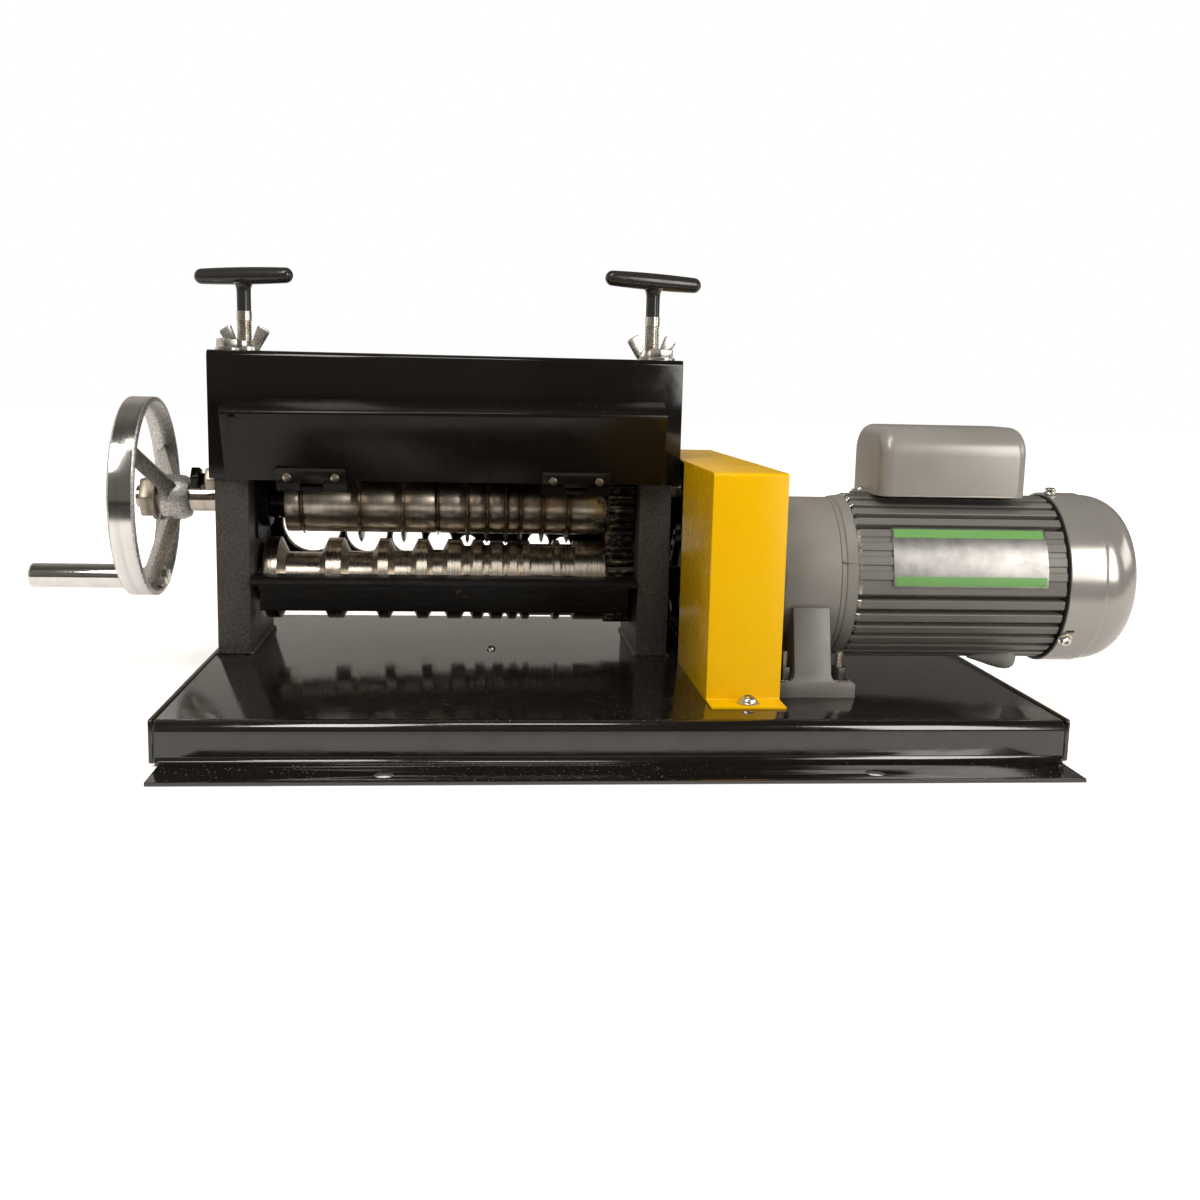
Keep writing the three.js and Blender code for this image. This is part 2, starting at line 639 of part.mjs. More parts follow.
/** Guard flap: a leaning sheet with a lip folded back to the hood. */
function makeGuardFlap() {
  const edge = new THREE.Vector2(...flapPoint(FLAP_HEIGHT, flapFrontFace));
  const fold = flapUp.clone().rotateAround(new THREE.Vector2(), -radians(FLAP_LIP_TURN_DEGREES));
  const tip = edge.clone().addScaledVector(fold, FLAP_LIP);
  const path = [[tip.x, tip.y], [edge.x, edge.y], flapPoint(FLAP_FOOT_RISE, flapFrontFace)];
  let flap = prismX(foldedSheet(path, FLAP_SHEET, FLAP_BEND), flapLeft, flapRight);
  const slotTop = hingeZ + FLAP_HEIGHT * Math.cos(lean) - FLAP_SLOT_DROP;
  flap = flap.subtract(block(
    [flapLeft + FLAP_SLOT_INSET, edge.x - CUT_OVERRUN, slotTop - FLAP_SLOT_HEIGHT],
    [flapLeft + FLAP_SLOT_INSET + FLAP_SLOT_LENGTH, hingeY, slotTop]));
  addPart(frame, "guard_flap", flap, FINISHES.glossBlack);
}

/** One hinge: a bracket with the middle knuckle and the pin, and a leaf with the outer knuckles. */
function makeHinge(side, start) {
  const third = HINGE_LENGTH / 3;
  const cuts = [start, start + third, start + 2 * third, start + HINGE_LENGTH];
  const inner = [cuts[1] + SEAT_GAP, cuts[2] - SEAT_GAP];
  const plateFace = hoodFront - SEAT_GAP;
  const knuckle = collar(inner[0], inner[1], HINGE_PIN_RADIUS / 2, HINGE_KNUCKLE_RADIUS, COARSE_SIDES);
  const pin = rod(cuts[0], cuts[3], HINGE_PIN_RADIUS, COARSE_SIDES);
  const centred = (shape) => shape.translate([0, hingeY, hingeZ]);
  const tab = block([inner[0], hingeY + HINGE_PIN_RADIUS, hingeZ - HINGE_LEAF], [inner[1], plateFace, hingeZ + HINGE_LEAF]);
  const fixed = block(
    [cuts[0], plateFace - HINGE_LEAF, hingeZ - HINGE_LEAF],
    [cuts[3], plateFace, hingeZ + HINGE_FIXED_HEIGHT]);
  addPart(frame, `${side}_hinge_bracket`, joined(centred(joined(knuckle, pin)), tab, fixed), FINISHES.glossBlack);

  const leafBack = flapFrontFace + SEAT_GAP;
  const leafFront = leafBack + HINGE_LEAF;
  const plateShape = outline([
    flapPoint(HINGE_KNUCKLE_RADIUS + RUN_GAP + HINGE_LEAF, leafBack),
    flapPoint(HINGE_LEAF_HEIGHT, leafBack), flapPoint(HINGE_LEAF_HEIGHT, leafFront),
    flapPoint(HINGE_KNUCKLE_RADIUS + RUN_GAP + HINGE_LEAF, leafFront),
  ]);
  let leaf = prismX(plateShape, cuts[0], cuts[3]);
  for (const [from, to] of [[cuts[0], cuts[1] - SEAT_GAP], [cuts[2] + SEAT_GAP, cuts[3]]]) {
    const ring = collar(from, to, HINGE_PIN_RADIUS + RUN_GAP, HINGE_KNUCKLE_RADIUS, COARSE_SIDES);
    const strap = prismX(outline([
      flapPoint(0, leafBack), flapPoint(HINGE_LEAF_HEIGHT / 2, leafBack),
      flapPoint(HINGE_LEAF_HEIGHT / 2, leafFront), flapPoint(0, leafFront),
    ]), from, to);
    leaf = joined(leaf, centred(ring), strap);
  }
  const [screwY, screwZ] = flapPoint(HINGE_LEAF_HEIGHT * 2 / 3, leafFront - HINGE_LEAF / 2);
  for (const hand of [-1, 1]) {
    const screw = upright(rod(0, HINGE_SCREW_HEIGHT + HINGE_LEAF / 2, HINGE_SCREW_RADIUS, COARSE_SIDES))
      .rotate([90 + FLAP_LEAN_DEGREES, 0, 0]);
    leaf = leaf.add(screw.translate([start + HINGE_LENGTH / 2 + hand * HINGE_SCREW_SPACING / 2, screwY, screwZ]));
  }
  addPart(frame, `${side}_hinge_leaf`, leaf, FINISHES.glossBlack);
}

/** Feed table: an angle in front of the lower roller, with fingers into the narrow grooves. */
function makeFeedTable() {
  const top = baseTop + TABLE_RISE;
  const back = rollerAxisY - ROLLER_RADIUS - TABLE_ROLLER_GAP;
  const front = back - TABLE_DEPTH;
  const path = [[back, top], [front, top], [front, top - TABLE_LIP]];
  const left = leftPlateInner + SEAT_GAP;
  const right = rightPlateInner - SEAT_GAP;
  let table = prismX(foldedSheet(path, TABLE_SHEET, TABLE_BEND), left, right);
  for (const [from, to] of [[left - CUT_OVERRUN, left + TABLE_LIP_END_GAP], [right - TABLE_LIP_END_GAP, right + CUT_OVERRUN]]) {
    table = table.subtract(block(
      [from, front - CUT_OVERRUN, top - TABLE_LIP - CUT_OVERRUN],
      [to, front + TABLE_SHEET + TABLE_BEND + CUT_OVERRUN, top - TABLE_SHEET - TABLE_BEND]));
  }
  for (const station of stations.slice(FIRST_FINGER_STATION)) {
    const half = station.width / 2 - GROOVE_FLANK_SHARE * station.depth / 2 - FINGER_SIDE_GAP;
    table = table.add(block(
      [station.x - half, back - TABLE_SHEET, top - TABLE_SHEET],
      [station.x + half, back + FINGER_REACH, top]));
  }
  addPart(frame, "feed_table", table, FINISHES.blackSteel);
}

/** Guide plate behind the rollers: one round hole per groove, their lowest points in line. */
function makeGuidePlate() {
  const back = plateBack - GUIDE_REAR_INSET;
  let plate = block(
    [leftPlateInner + SEAT_GAP, back - GUIDE_THICKNESS, baseTop + GUIDE_RISE],
    [rightPlateInner - SEAT_GAP, back, baseTop + GUIDE_RISE + GUIDE_HEIGHT]);
  for (const station of stations) {
    const sides = station.hole > GUIDE_THICKNESS * 2 ? STACK_SIDES : SMALL_SIDES;
    const hole = rod(-CUT_OVERRUN, GUIDE_THICKNESS + CUT_OVERRUN, station.hole, sides).rotate([0, 0, 90]);
    plate = plate.subtract(hole.translate([station.x, back - GUIDE_THICKNESS, baseTop + GUIDE_HOLE_LINE + station.hole]));
  }
  addPart(frame, "feed_guide_plate", plate, FINISHES.blackSteel);
}

/** Flanged bush of the lower roller, pushed into its plate from outside. */
function makeLowerBearing(name, inner, outer) {
  const side = Math.sign(outer - inner);
  const bore = LOWER_SHAFT_RADIUS + RUN_GAP;
  const sleeve = BUSH_RADIUS - SEAT_GAP;
  const seat = outer + side * SEAT_GAP;
  const rim = seat + side * BUSH_FLANGE_THICKNESS;
  const bush = turned([
    [inner, bore], [inner, sleeve], [seat, sleeve], [seat, BUSH_FLANGE_RADIUS], [rim, BUSH_FLANGE_RADIUS], [rim, bore],
    [inner, bore],
  ]);
  addPart(frame, name, bush, FINISHES.bronze, [0, rollerAxisY, lowerAxisZ]);
}

/** Lower roller: the grooved body and its two journals in one turned piece. */
function makeLowerRoller() {
  const left = leftPlateInner + ROLLER_END_GAP;
  const right = gearLeft - SEAT_GAP;
  const profile = [
    [leftPlateOuter - BUSH_FLANGE_THICKNESS - SHAFT_END_PROUD, 0],
    [leftPlateOuter - BUSH_FLANGE_THICKNESS - SHAFT_END_PROUD, LOWER_SHAFT_RADIUS],
    [left, LOWER_SHAFT_RADIUS], [left, ROLLER_RADIUS - ROLLER_CHAMFER], [left + ROLLER_CHAMFER, ROLLER_RADIUS],
  ];
  for (const station of stations) {
    const run = GROOVE_FLANK_SHARE * station.depth;
    profile.push(
      [station.x - station.width / 2, ROLLER_RADIUS], [station.x - station.width / 2 + run, ROLLER_RADIUS - station.depth],
      [station.x + station.width / 2 - run, ROLLER_RADIUS - station.depth], [station.x + station.width / 2, ROLLER_RADIUS]);
  }
  const end = sprocketX + SPROCKET_HUB_LENGTH / 2 + SHAFT_END_PROUD;
  profile.push(
    [right - ROLLER_CHAMFER, ROLLER_RADIUS], [right, ROLLER_RADIUS - ROLLER_CHAMFER],
    [right, LOWER_SHAFT_RADIUS], [end, LOWER_SHAFT_RADIUS], [end, 0]);
  addPart(lowerTrain, "lower_roller", turned(profile), FINISHES.steel);
}

/** Outline of a spur gear with involute flanks and a round bore. */
function gearShape(bore) {
  const base = gearPitchRadius * Math.cos(radians(GEAR_PRESSURE_DEGREES));
  const foot = gearPitchRadius - GEAR_FOOT_SHARE * GEAR_MODULE;
  const tip = gearPitchRadius + GEAR_MODULE;
  const involute = (angle) => Math.tan(angle) - angle;
  const half = Math.PI / 2 / GEAR_TEETH - GEAR_BACKLASH / 2 / gearPitchRadius + involute(radians(GEAR_PRESSURE_DEGREES));
  const halfAt = (radius) => half - involute(Math.acos(Math.min(1, base / radius)));
  const flank = [foot, gearPitchRadius, tip];
  const points = [];
  for (let tooth = 0; tooth < GEAR_TEETH; tooth += 1) {
    const middle = Math.PI / 2 + 2 * Math.PI * tooth / GEAR_TEETH;
    for (const radius of flank) {
      points.push([radius, middle - halfAt(radius)]);
    }
    for (const radius of [...flank].reverse()) {
      points.push([radius, middle + halfAt(radius)]);
    }
  }
  const shape = outline(points.map(([radius, angle]) => [radius * Math.cos(angle), radius * Math.sin(angle)]));
  shape.holes.push(holePath(bore));
  return shape;
}

/** A round hole as a path whose straight sides touch the circle from outside. */
function holePath(radius, sides = ROUND_SIDES) {
  const reach = radius / Math.cos(Math.PI / sides);
  const corners = Array.from({ length: sides }, (_, i) => {
    const angle = 2 * Math.PI * i / sides;
    return new THREE.Vector2(reach * Math.cos(angle), reach * Math.sin(angle));
  });
  return new THREE.Path(corners);
}

/** Both roller gears, the upper one turned half a tooth to mesh with the lower one. */
function makeGears() {
  addPart(lowerTrain, "lower_gear", prismX(gearShape(LOWER_SHAFT_RADIUS + STACK_CLEARANCE), gearLeft, gearRight), FINISHES.steel);
  const upper = prismX(gearShape(UPPER_SHAFT_RADIUS + STACK_CLEARANCE), gearLeft, gearRight);
  addPart(upperTrain, "upper_gear", upper.rotate([180 / GEAR_TEETH, 0, 0]), FINISHES.steel);
}

const wheelHubRight = leftPlateOuter - WHEEL_STANDOFF;
const wheelHubLeft = wheelHubRight - WHEEL_HUB_LENGTH;
const wheelNutRight = wheelHubLeft - SEAT_GAP;
const wheelRimMiddle = wheelHubRight - WHEEL_HUB_LENGTH / 2 - WHEEL_DISH;

/** Upper shaft, stepped down outside the left plate for the handwheel. */
function makeUpperShaft() {
  const step = leftPlateOuter - ROLLER_END_GAP;
  const end = rightPlateOuter + SHAFT_END_PROUD;
  const tip = wheelHubLeft - STUB_END;
  const profile = [
    [tip, 0], [tip, STUB_THREAD_RADIUS], [wheelHubLeft, STUB_THREAD_RADIUS], [wheelHubLeft, STUB_RADIUS],
    [step, STUB_RADIUS], [step, UPPER_SHAFT_RADIUS], [end, UPPER_SHAFT_RADIUS], [end, 0],
  ];
  addPart(upperTrain, "blade_shaft", turned(profile, STACK_SIDES), FINISHES.steel);
}

/** The stack on the upper shaft: cutting discs with a spacer on each side of every disc. */
function makeDiscStack() {
  const bore = UPPER_SHAFT_RADIUS + STACK_CLEARANCE;
  let start = leftPlateInner + STACK_SETBACK;
  for (const station of stations) {
    const left = station.x - DISC_THICKNESS / 2;
    const right = station.x + DISC_THICKNESS / 2;
    const tip = SPACER_RADIUS + station.reach;
    const shoulder = SPACER_RADIUS - ROLLER_CHAMFER;
    const spacer = collar(start, left - SEAT_GAP, bore, SPACER_RADIUS, STACK_SIDES);
    addPart(upperTrain, `spacer_${station.index}`, spacer, FINISHES.steel);
    const disc = turned([[left, bore], [left, shoulder], [station.x, tip], [right, shoulder], [right, bore], [left, bore]], STACK_SIDES);
    addPart(upperTrain, `blade_${station.index}`, disc, FINISHES.bladeSteel);
    start = right + SEAT_GAP;
  }
  const last = collar(start, gearLeft - SEAT_GAP, bore, SPACER_RADIUS, STACK_SIDES);
  addPart(upperTrain, `spacer_${stations.length + 1}`, last, FINISHES.steel);
}

/** Bearing block that slides in its plate's slot, with the hand screw's socket on top. */
function makeBearingBlock(name, low, high, bossEnd) {
  const half = SLOT_WIDTH / 2 - RUN_GAP;
  let body = block([low, -half, -BLOCK_HEIGHT / 2], [high, half, BLOCK_HEIGHT / 2]);
  if (bossEnd > high) {
    body = body.add(rod(high - CUT_OVERRUN, bossEnd, BLOCK_BOSS_RADIUS));
  }
  body = body.subtract(rod(low - CUT_OVERRUN, Math.max(high, bossEnd) + CUT_OVERRUN, UPPER_SHAFT_RADIUS + RUN_GAP, STACK_SIDES));
  const socket = upright(rod(BLOCK_HEIGHT / 2 - BLOCK_SCREW_DEPTH, BLOCK_HEIGHT / 2 + CUT_OVERRUN,
    SCREW_RADIUS + RUN_GAP, SMALL_SIDES));
  body = body.subtract(socket.translate([(low + high) / 2, 0, 0]));
  addPart(carriage, name, body, FINISHES.blackSteel);
}

/** Handwheel: a banded rim, a hub set back towards the machine, and three dished spokes. */
function makeHandwheel() {
  const rimLeft = wheelRimMiddle - WHEEL_RIM_WIDTH / 2;
  const rimRight = wheelRimMiddle + WHEEL_RIM_WIDTH / 2;
  const inner = WHEEL_RADIUS - WHEEL_RIM_THICKNESS;
  const rim = turned([
    [rimLeft, inner], [rimLeft + WHEEL_RIM_BEAD, WHEEL_RADIUS], [rimRight - WHEEL_RIM_BEAD, WHEEL_RADIUS],
    [rimRight, inner], [rimRight, inner - WHEEL_RIM_BEAD], [rimRight - 2 * WHEEL_RIM_BEAD, inner - WHEEL_RIM_BEAD],
    [rimRight - 2 * WHEEL_RIM_BEAD, inner], [rimLeft, inner],
  ], WHEEL_SIDES);
  const hub = rod(wheelHubLeft, wheelHubRight, WHEEL_HUB_RADIUS);
  let wheel = rim;
  for (let i = 0; i < SPOKE_COUNT; i += 1) {
    const hubFace = wheelHubLeft + SPOKE_HUB_INSET;
    const rimFace = wheelRimMiddle - SPOKE_THICKNESS / 2;
    const middle = WHEEL_HUB_RADIUS - WHEEL_RIM_THICKNESS;
    const shape = outline([
      [hubFace, middle], [hubFace + SPOKE_THICKNESS, middle],
      [rimFace + SPOKE_THICKNESS, inner + WHEEL_RIM_THICKNESS / 2], [rimFace, inner + WHEEL_RIM_THICKNESS / 2],
    ]);
    const spoke = prismY(shape, -SPOKE_WIDTH / 2, SPOKE_WIDTH / 2);
    wheel = wheel.add(spoke.rotate([FIRST_SPOKE_DEGREES + i * 360 / SPOKE_COUNT, 0, 0]));
  }
  const boss = rod(wheelRimMiddle - CRANK_BOSS_LEFT, wheelRimMiddle + CRANK_BOSS_RIGHT, CRANK_BOSS_RADIUS);
  wheel = joined(wheel, hub, boss.translate(crankPlace()));
  wheel = wheel.subtract(rod(wheelHubLeft - CUT_OVERRUN, wheelHubRight + CUT_OVERRUN, STUB_RADIUS + STACK_CLEARANCE, STACK_SIDES));
  const pinHole = rod(wheelRimMiddle - WHEEL_RIM_WIDTH, wheelRimMiddle + WHEEL_RIM_WIDTH,
    CRANK_PIN_RADIUS + STACK_CLEARANCE, SMALL_SIDES);
  addPart(upperTrain, "handwheel", wheel.subtract(pinHole.translate(crankPlace())), FINISHES.aluminium);
}

/** The crank's place on the wheel, in the wheel's own plane. */
function crankPlace() {
  const angle = radians(CRANK_PLACE_DEGREES);
  return [0, -CRANK_ARM * Math.sin(angle), CRANK_ARM * Math.cos(angle)];
}

/** Nut and washer on the shaft's threaded end. */
function makeHandwheelNut() {
  const washerLeft = wheelNutRight - WHEEL_WASHER_THICKNESS;
  const washer = rod(washerLeft, wheelNutRight, WHEEL_WASHER_RADIUS);
  const hexagon = rod(washerLeft - WHEEL_NUT_HEIGHT, washerLeft + WHEEL_WASHER_THICKNESS / 2,
    WHEEL_NUT_ACROSS / 2 / Math.cos(Math.PI / 6), 6);
  const bore = rod(washerLeft - WHEEL_NUT_HEIGHT - CUT_OVERRUN, wheelNutRight + CUT_OVERRUN,
    STUB_THREAD_RADIUS + STACK_CLEARANCE, STACK_SIDES);
  addPart(upperTrain, "handwheel_nut", joined(washer, hexagon).subtract(bore), FINISHES.zinc);
}

/** Crank: a pin fixed in the wheel and a round grip that turns on it. */
function makeCrank() {
  const bossLeft = wheelRimMiddle - CRANK_BOSS_LEFT;
  const bossRight = wheelRimMiddle + CRANK_BOSS_RIGHT;
  const gripRight = wheelRimMiddle - WHEEL_RIM_WIDTH / 2;
  const gripLeft = gripRight - CRANK_LENGTH;
  const pin = joined(
    rod(gripRight - CRANK_PIN_DEPTH, bossRight + CRANK_PIN_HEAD / 2, CRANK_PIN_RADIUS, SMALL_SIDES),
    rod(bossRight + SEAT_GAP, bossRight + SEAT_GAP + CRANK_PIN_HEAD, CRANK_PIN_HEAD_RADIUS, 6),
    rod(gripRight + RUN_GAP, bossLeft - SEAT_GAP, CRANK_PIN_HEAD_RADIUS, SMALL_SIDES));
  addPart(upperTrain, "crank_pin", pin, FINISHES.zinc, crankPlace());
  const bore = CRANK_PIN_RADIUS + RUN_GAP;
  const bottom = gripRight - CRANK_PIN_DEPTH - RUN_GAP;
  const grip = turned([
    [gripLeft, 0], [gripLeft, CRANK_RADIUS - CRANK_ROUNDING], [gripLeft + CRANK_ROUNDING / 3, CRANK_RADIUS - CRANK_ROUNDING / 3],
    [gripLeft + CRANK_ROUNDING, CRANK_RADIUS], [gripRight - CRANK_ROUNDING / 3, CRANK_RADIUS],
    [gripRight, CRANK_RADIUS - CRANK_ROUNDING / 3], [gripRight, bore], [bottom, bore], [bottom, 0],
  ], ROUND_SIDES);
  addPart(upperTrain, "crank_handle", grip, FINISHES.polished, crankPlace());
}

/** Hand screw: a dipped T bar on a threaded stem that ends in the bearing block. */
function makeHandScrew(name, x, turnDegrees) {
  const stemFoot = BLOCK_HEIGHT / 2 - BLOCK_SCREW_DEPTH + RUN_GAP;
  const barHeight = hoodTop + SCREW_BAR_RISE - upperAxisZ;
  const coatFoot = hoodTop + SCREW_COAT_RISE - upperAxisZ;
  const stem = upright(rod(stemFoot, barHeight, SCREW_RADIUS, SMALL_SIDES));
  const coat = upright(rod(coatFoot, barHeight, SCREW_COAT_RADIUS, SMALL_SIDES));
  const half = SCREW_BAR_LENGTH / 2;
  const bar = turned([
    [-half, 0], [-half, SCREW_BAR_RADIUS - SCREW_BAR_ROUNDING], [-half + SCREW_BAR_ROUNDING / 3, SCREW_BAR_RADIUS - SCREW_BAR_ROUNDING / 3],
    [-half + SCREW_BAR_ROUNDING, SCREW_BAR_RADIUS], [half - SCREW_BAR_ROUNDING, SCREW_BAR_RADIUS],
    [half - SCREW_BAR_ROUNDING / 3, SCREW_BAR_RADIUS - SCREW_BAR_ROUNDING / 3], [half, SCREW_BAR_RADIUS - SCREW_BAR_ROUNDING], [half, 0],
  ], SMALL_SIDES).rotate([0, 0, turnDegrees]);
  addPart(carriage, name, joined(stem, coat, bar.translate([0, 0, barHeight])), FINISHES.dippedBlack, [x, 0, 0]);
}

/** Wing nut that locks a hand screw on the hood. */
function makeWingNut(name, x, turnDegrees) {
  const seat = SEAT_GAP;
  const hub = upright(turned([
    [seat, 0], [seat, WING_HUB_RADIUS], [seat + WING_HUB_HEIGHT / 2, WING_HUB_RADIUS],
    [seat + WING_HUB_HEIGHT, WING_HUB_TOP_RADIUS], [seat + WING_HUB_HEIGHT, 0],
  ], ROUND_SIDES / 2));
  let nut = hub;
  for (const side of [-1, 1]) {
    const wing = block([0, -WING_WIDTH / 2, 0], [WING_THICKNESS, WING_WIDTH / 2, WING_LENGTH]);
    const leaning = wing.rotate([0, WING_LEAN_DEGREES, 0]).translate([WING_HUB_TOP_RADIUS - WING_THICKNESS, 0, seat + WING_THICKNESS / 2]);
    nut = nut.add(side > 0 ? leaning : leaning.rotate([0, 0, 180]));
  }
  nut = nut.subtract(upright(rod(-CUT_OVERRUN, WING_LENGTH + CUT_OVERRUN, SCREW_RADIUS + RUN_GAP, SMALL_SIDES)));
  addPart(frame, name, nut.rotate([0, 0, turnDegrees]), FINISHES.zinc, [x, rollerAxisY, hoodTop]);
}

/** The chain's loop as a list of pin places with the direction to the next one. */
function chainPins() {
  const small = { y: motorAxisY, z: motorAxisZ, radius: sprocketRadius(MOTOR_SPROCKET_TEETH) };
  const large = { y: rollerAxisY, z: lowerAxisZ, radius: sprocketRadius(ROLLER_SPROCKET_TEETH) };
  const away = new THREE.Vector2(large.y - small.y, large.z - small.z);
  const distance = away.length();
  const heading = away.angle();
  const splay = Math.asin((large.radius - small.radius) / distance);
  const run = Math.sqrt(distance ** 2 - (large.radius - small.radius) ** 2);
  const topStart = heading + Math.PI / 2 + splay;
  const pieces = [
    { length: run, at: (s) => straight(small, topStart, s) },
    { length: large.radius * (Math.PI + 2 * splay), at: (s) => arc(large, topStart - s / large.radius) },
    { length: run, at: (s) => straight(small, heading - Math.PI / 2 - splay, run - s) },
    { length: small.radius * (Math.PI - 2 * splay), at: (s) => arc(small, heading - Math.PI / 2 - splay - s / small.radius) },
  ];
  const arc = (wheel, angle) => new THREE.Vector2(wheel.y + wheel.radius * Math.cos(angle), wheel.z + wheel.radius * Math.sin(angle));
  const straight = (wheel, angle, s) => {
    const along = angle > heading ? angle - Math.PI / 2 : angle + Math.PI / 2;
    return arc(wheel, angle).add(new THREE.Vector2(s * Math.cos(along), s * Math.sin(along)));
  };
  const total = pieces.reduce((sum, piece) => sum + piece.length, 0);
  const count = 2 * Math.round(total / CHAIN_PITCH / 2);
  return Array.from({ length: count }, (_, i) => {
    let s = total * i / count;
    const piece = pieces.find(({ length }) => {
      if (s < length) {
        return true;
      }
      s -= length;
      return false;
    });
    const point = piece.at(s);
    const clear = [small, large].every(({ y, z, radius }) =>
      point.distanceTo(new THREE.Vector2(y, z)) > radius + SPROCKET_TIP_SHARE * CHAIN_PITCH + CHAIN_ROLLER_RADIUS + RUN_GAP);
    return { point, clear };
  });
}

const sprocketRadius = (teeth) => CHAIN_PITCH / 2 / Math.sin(Math.PI / teeth);

/** A link plate from one pin to the next, with round ends. */
function linkPlate(from, to, start, end) {
  const heading = to.clone().sub(from).angle();
  const radius = CHAIN_PLATE_HEIGHT / 2;
  const points = [];
  for (const [centre, first] of [[to, heading - Math.PI / 2], [from, heading + Math.PI / 2]]) {
    for (let step = 0; step <= CHAIN_END_STEPS; step += 1) {
      const angle = first + Math.PI * step / CHAIN_END_STEPS;
      points.push([centre.x + radius * Math.cos(angle), centre.y + radius * Math.sin(angle)]);
    }
  }
  return prismX(outline(points), start, end);
}

/** Roller chain. Pins beside a sprocket stop short of its teeth, so that the sprocket can turn. */
function makeChain() {
  const pins = chainPins();
  const innerFace = CHAIN_INNER_WIDTH / 2;
  const outerFace = innerFace + CHAIN_PLATE_THICKNESS - CHAIN_PLATE_LAP;
  const pinEnd = outerFace + CHAIN_PLATE_THICKNESS + CHAIN_PIN_PROUD;
  let chain = null;
  pins.forEach(({ point, clear }, i) => {
    const next = pins[(i + 1) % pins.length].point;
    const face = i % 2 === 0 ? innerFace : outerFace;
    const shapes = [
      linkPlate(point, next, face, face + CHAIN_PLATE_THICKNESS),
      linkPlate(point, next, -face - CHAIN_PLATE_THICKNESS, -face),
    ];
    const place = [0, point.x, point.y];
    if (clear) {
      shapes.push(
        rod(-pinEnd, pinEnd, CHAIN_PIN_RADIUS, CHAIN_PIN_SIDES).translate(place),
        rod(-innerFace - CHAIN_PLATE_LAP, innerFace + CHAIN_PLATE_LAP, CHAIN_ROLLER_RADIUS, CHAIN_ROLLER_SIDES).translate(place));
    } else {
      shapes.push(
        rod(innerFace + CHAIN_PLATE_LAP, pinEnd, CHAIN_PIN_RADIUS, CHAIN_PIN_SIDES).translate(place),
        rod(-pinEnd, -innerFace - CHAIN_PLATE_LAP, CHAIN_PIN_RADIUS, CHAIN_PIN_SIDES).translate(place));
    }
    chain = joined(...(chain ? [chain, ...shapes] : shapes));
  });
  addPart(frame, "drive_chain", chain, FINISHES.chainSteel, [sprocketX, 0, 0]);
}

/** Sprocket for the chain, with a hub to one side. */
function makeSprocket(group, name, teeth, hubRadius, shaftRadius, hubSide) {
  const radius = sprocketRadius(teeth);
  const foot = radius - CHAIN_ROLLER_RADIUS;
  const tip = radius + SPROCKET_TIP_SHARE * CHAIN_PITCH;
  const points = [];
  const toothShares = [[foot, -0.3], [radius, -0.19], [tip, -0.07], [tip, 0.07], [radius, 0.19], [foot, 0.3]];
  for (let tooth = 0; tooth < teeth; tooth += 1) {
    for (const [reach, share] of toothShares) {
      const angle = 2 * Math.PI * (tooth + share) / teeth;
      points.push([reach * Math.cos(angle), reach * Math.sin(angle)]);
    }
  }
  const half = SPROCKET_WIDTH / 2;
  const disc = prismX(outline(points), sprocketX - half, sprocketX + half);
  const hubNear = sprocketX - hubSide * half;
  const hubFar = sprocketX + hubSide * (SPROCKET_HUB_LENGTH / 2);
  const hub = rod(Math.min(hubNear, hubFar), Math.max(hubNear, hubFar), hubRadius);
  const bore = rod(sprocketX - SPROCKET_HUB_LENGTH, sprocketX + SPROCKET_HUB_LENGTH, shaftRadius + STACK_CLEARANCE);
  addPart(group, name, joined(disc, hub).subtract(bore), FINISHES.chainSteel);
}

/** Gearbox output shaft. */
function makeOutputShaft() {
  const start = sprocketX - SPROCKET_WIDTH;
  addPart(motorTrain, "output_shaft", rod(start, gearboxLeft + OUTPUT_SHAFT_DEPTH - RUN_GAP, OUTPUT_SHAFT_RADIUS), FINISHES.steel);
}

/** Chain guard: a folded hoop over the chain with a side towards the plate and a lip on the motor side. */
function makeChainGuard() {
  const left = rightPlateOuter + GUARD_PLATE_GAP;
  const right = left + GUARD_WIDTH;
  const front = baseFront + GUARD_FRONT_INSET;
  const back = baseBack - GUARD_BACK_INSET;
  const foot = baseTop + SEAT_GAP + GUARD_SHEET;
  const top = baseTop + GUARD_HEIGHT;
  const path = [
    [back + GUARD_FOOT, foot], [back, foot], [back, top], [front, top], [front, foot], [front - GUARD_FOOT, foot],
  ];
  let guard = prismX(foldedSheet(path, GUARD_SHEET, GUARD_BEND), left, right);
  const sideTop = top - GUARD_SHEET / 2;
  guard = guard.add(block([left, front + GUARD_SHEET / 2, foot - GUARD_SHEET], [left + GUARD_SHEET, front + GUARD_SIDE_DEPTH, sideTop]));
  guard = guard.add(block([right - GUARD_SHEET, front + GUARD_SHEET / 2, top - GUARD_LIP], [right, back - GUARD_SHEET / 2, sideTop]));
  const rearSide = back - (back - front) * GUARD_REAR_SIDE_SHARE;
  guard = guard.add(block([right - GUARD_SHEET, rearSide, foot - GUARD_SHEET], [right, back - GUARD_SHEET / 2, sideTop]));
  const middle = (left + right) / 2;
  for (const y of [front - GUARD_FOOT / 2, back + GUARD_FOOT / 2]) {
    const seat = foot - GUARD_SHEET / 2;
    const washer = upright(rod(seat, foot + GUARD_WASHER_THICKNESS, GUARD_WASHER_RADIUS, COARSE_SIDES));
    const head = hexagonHead(GUARD_BOLT_ACROSS, GUARD_BOLT_HEIGHT + GUARD_WASHER_THICKNESS + GUARD_SHEET / 2);
    guard = joined(guard, washer.translate([middle, y, 0]), head.translate([middle, y, seat]));
  }
  addPart(frame, "chain_guard", guard, FINISHES.yellow);
}

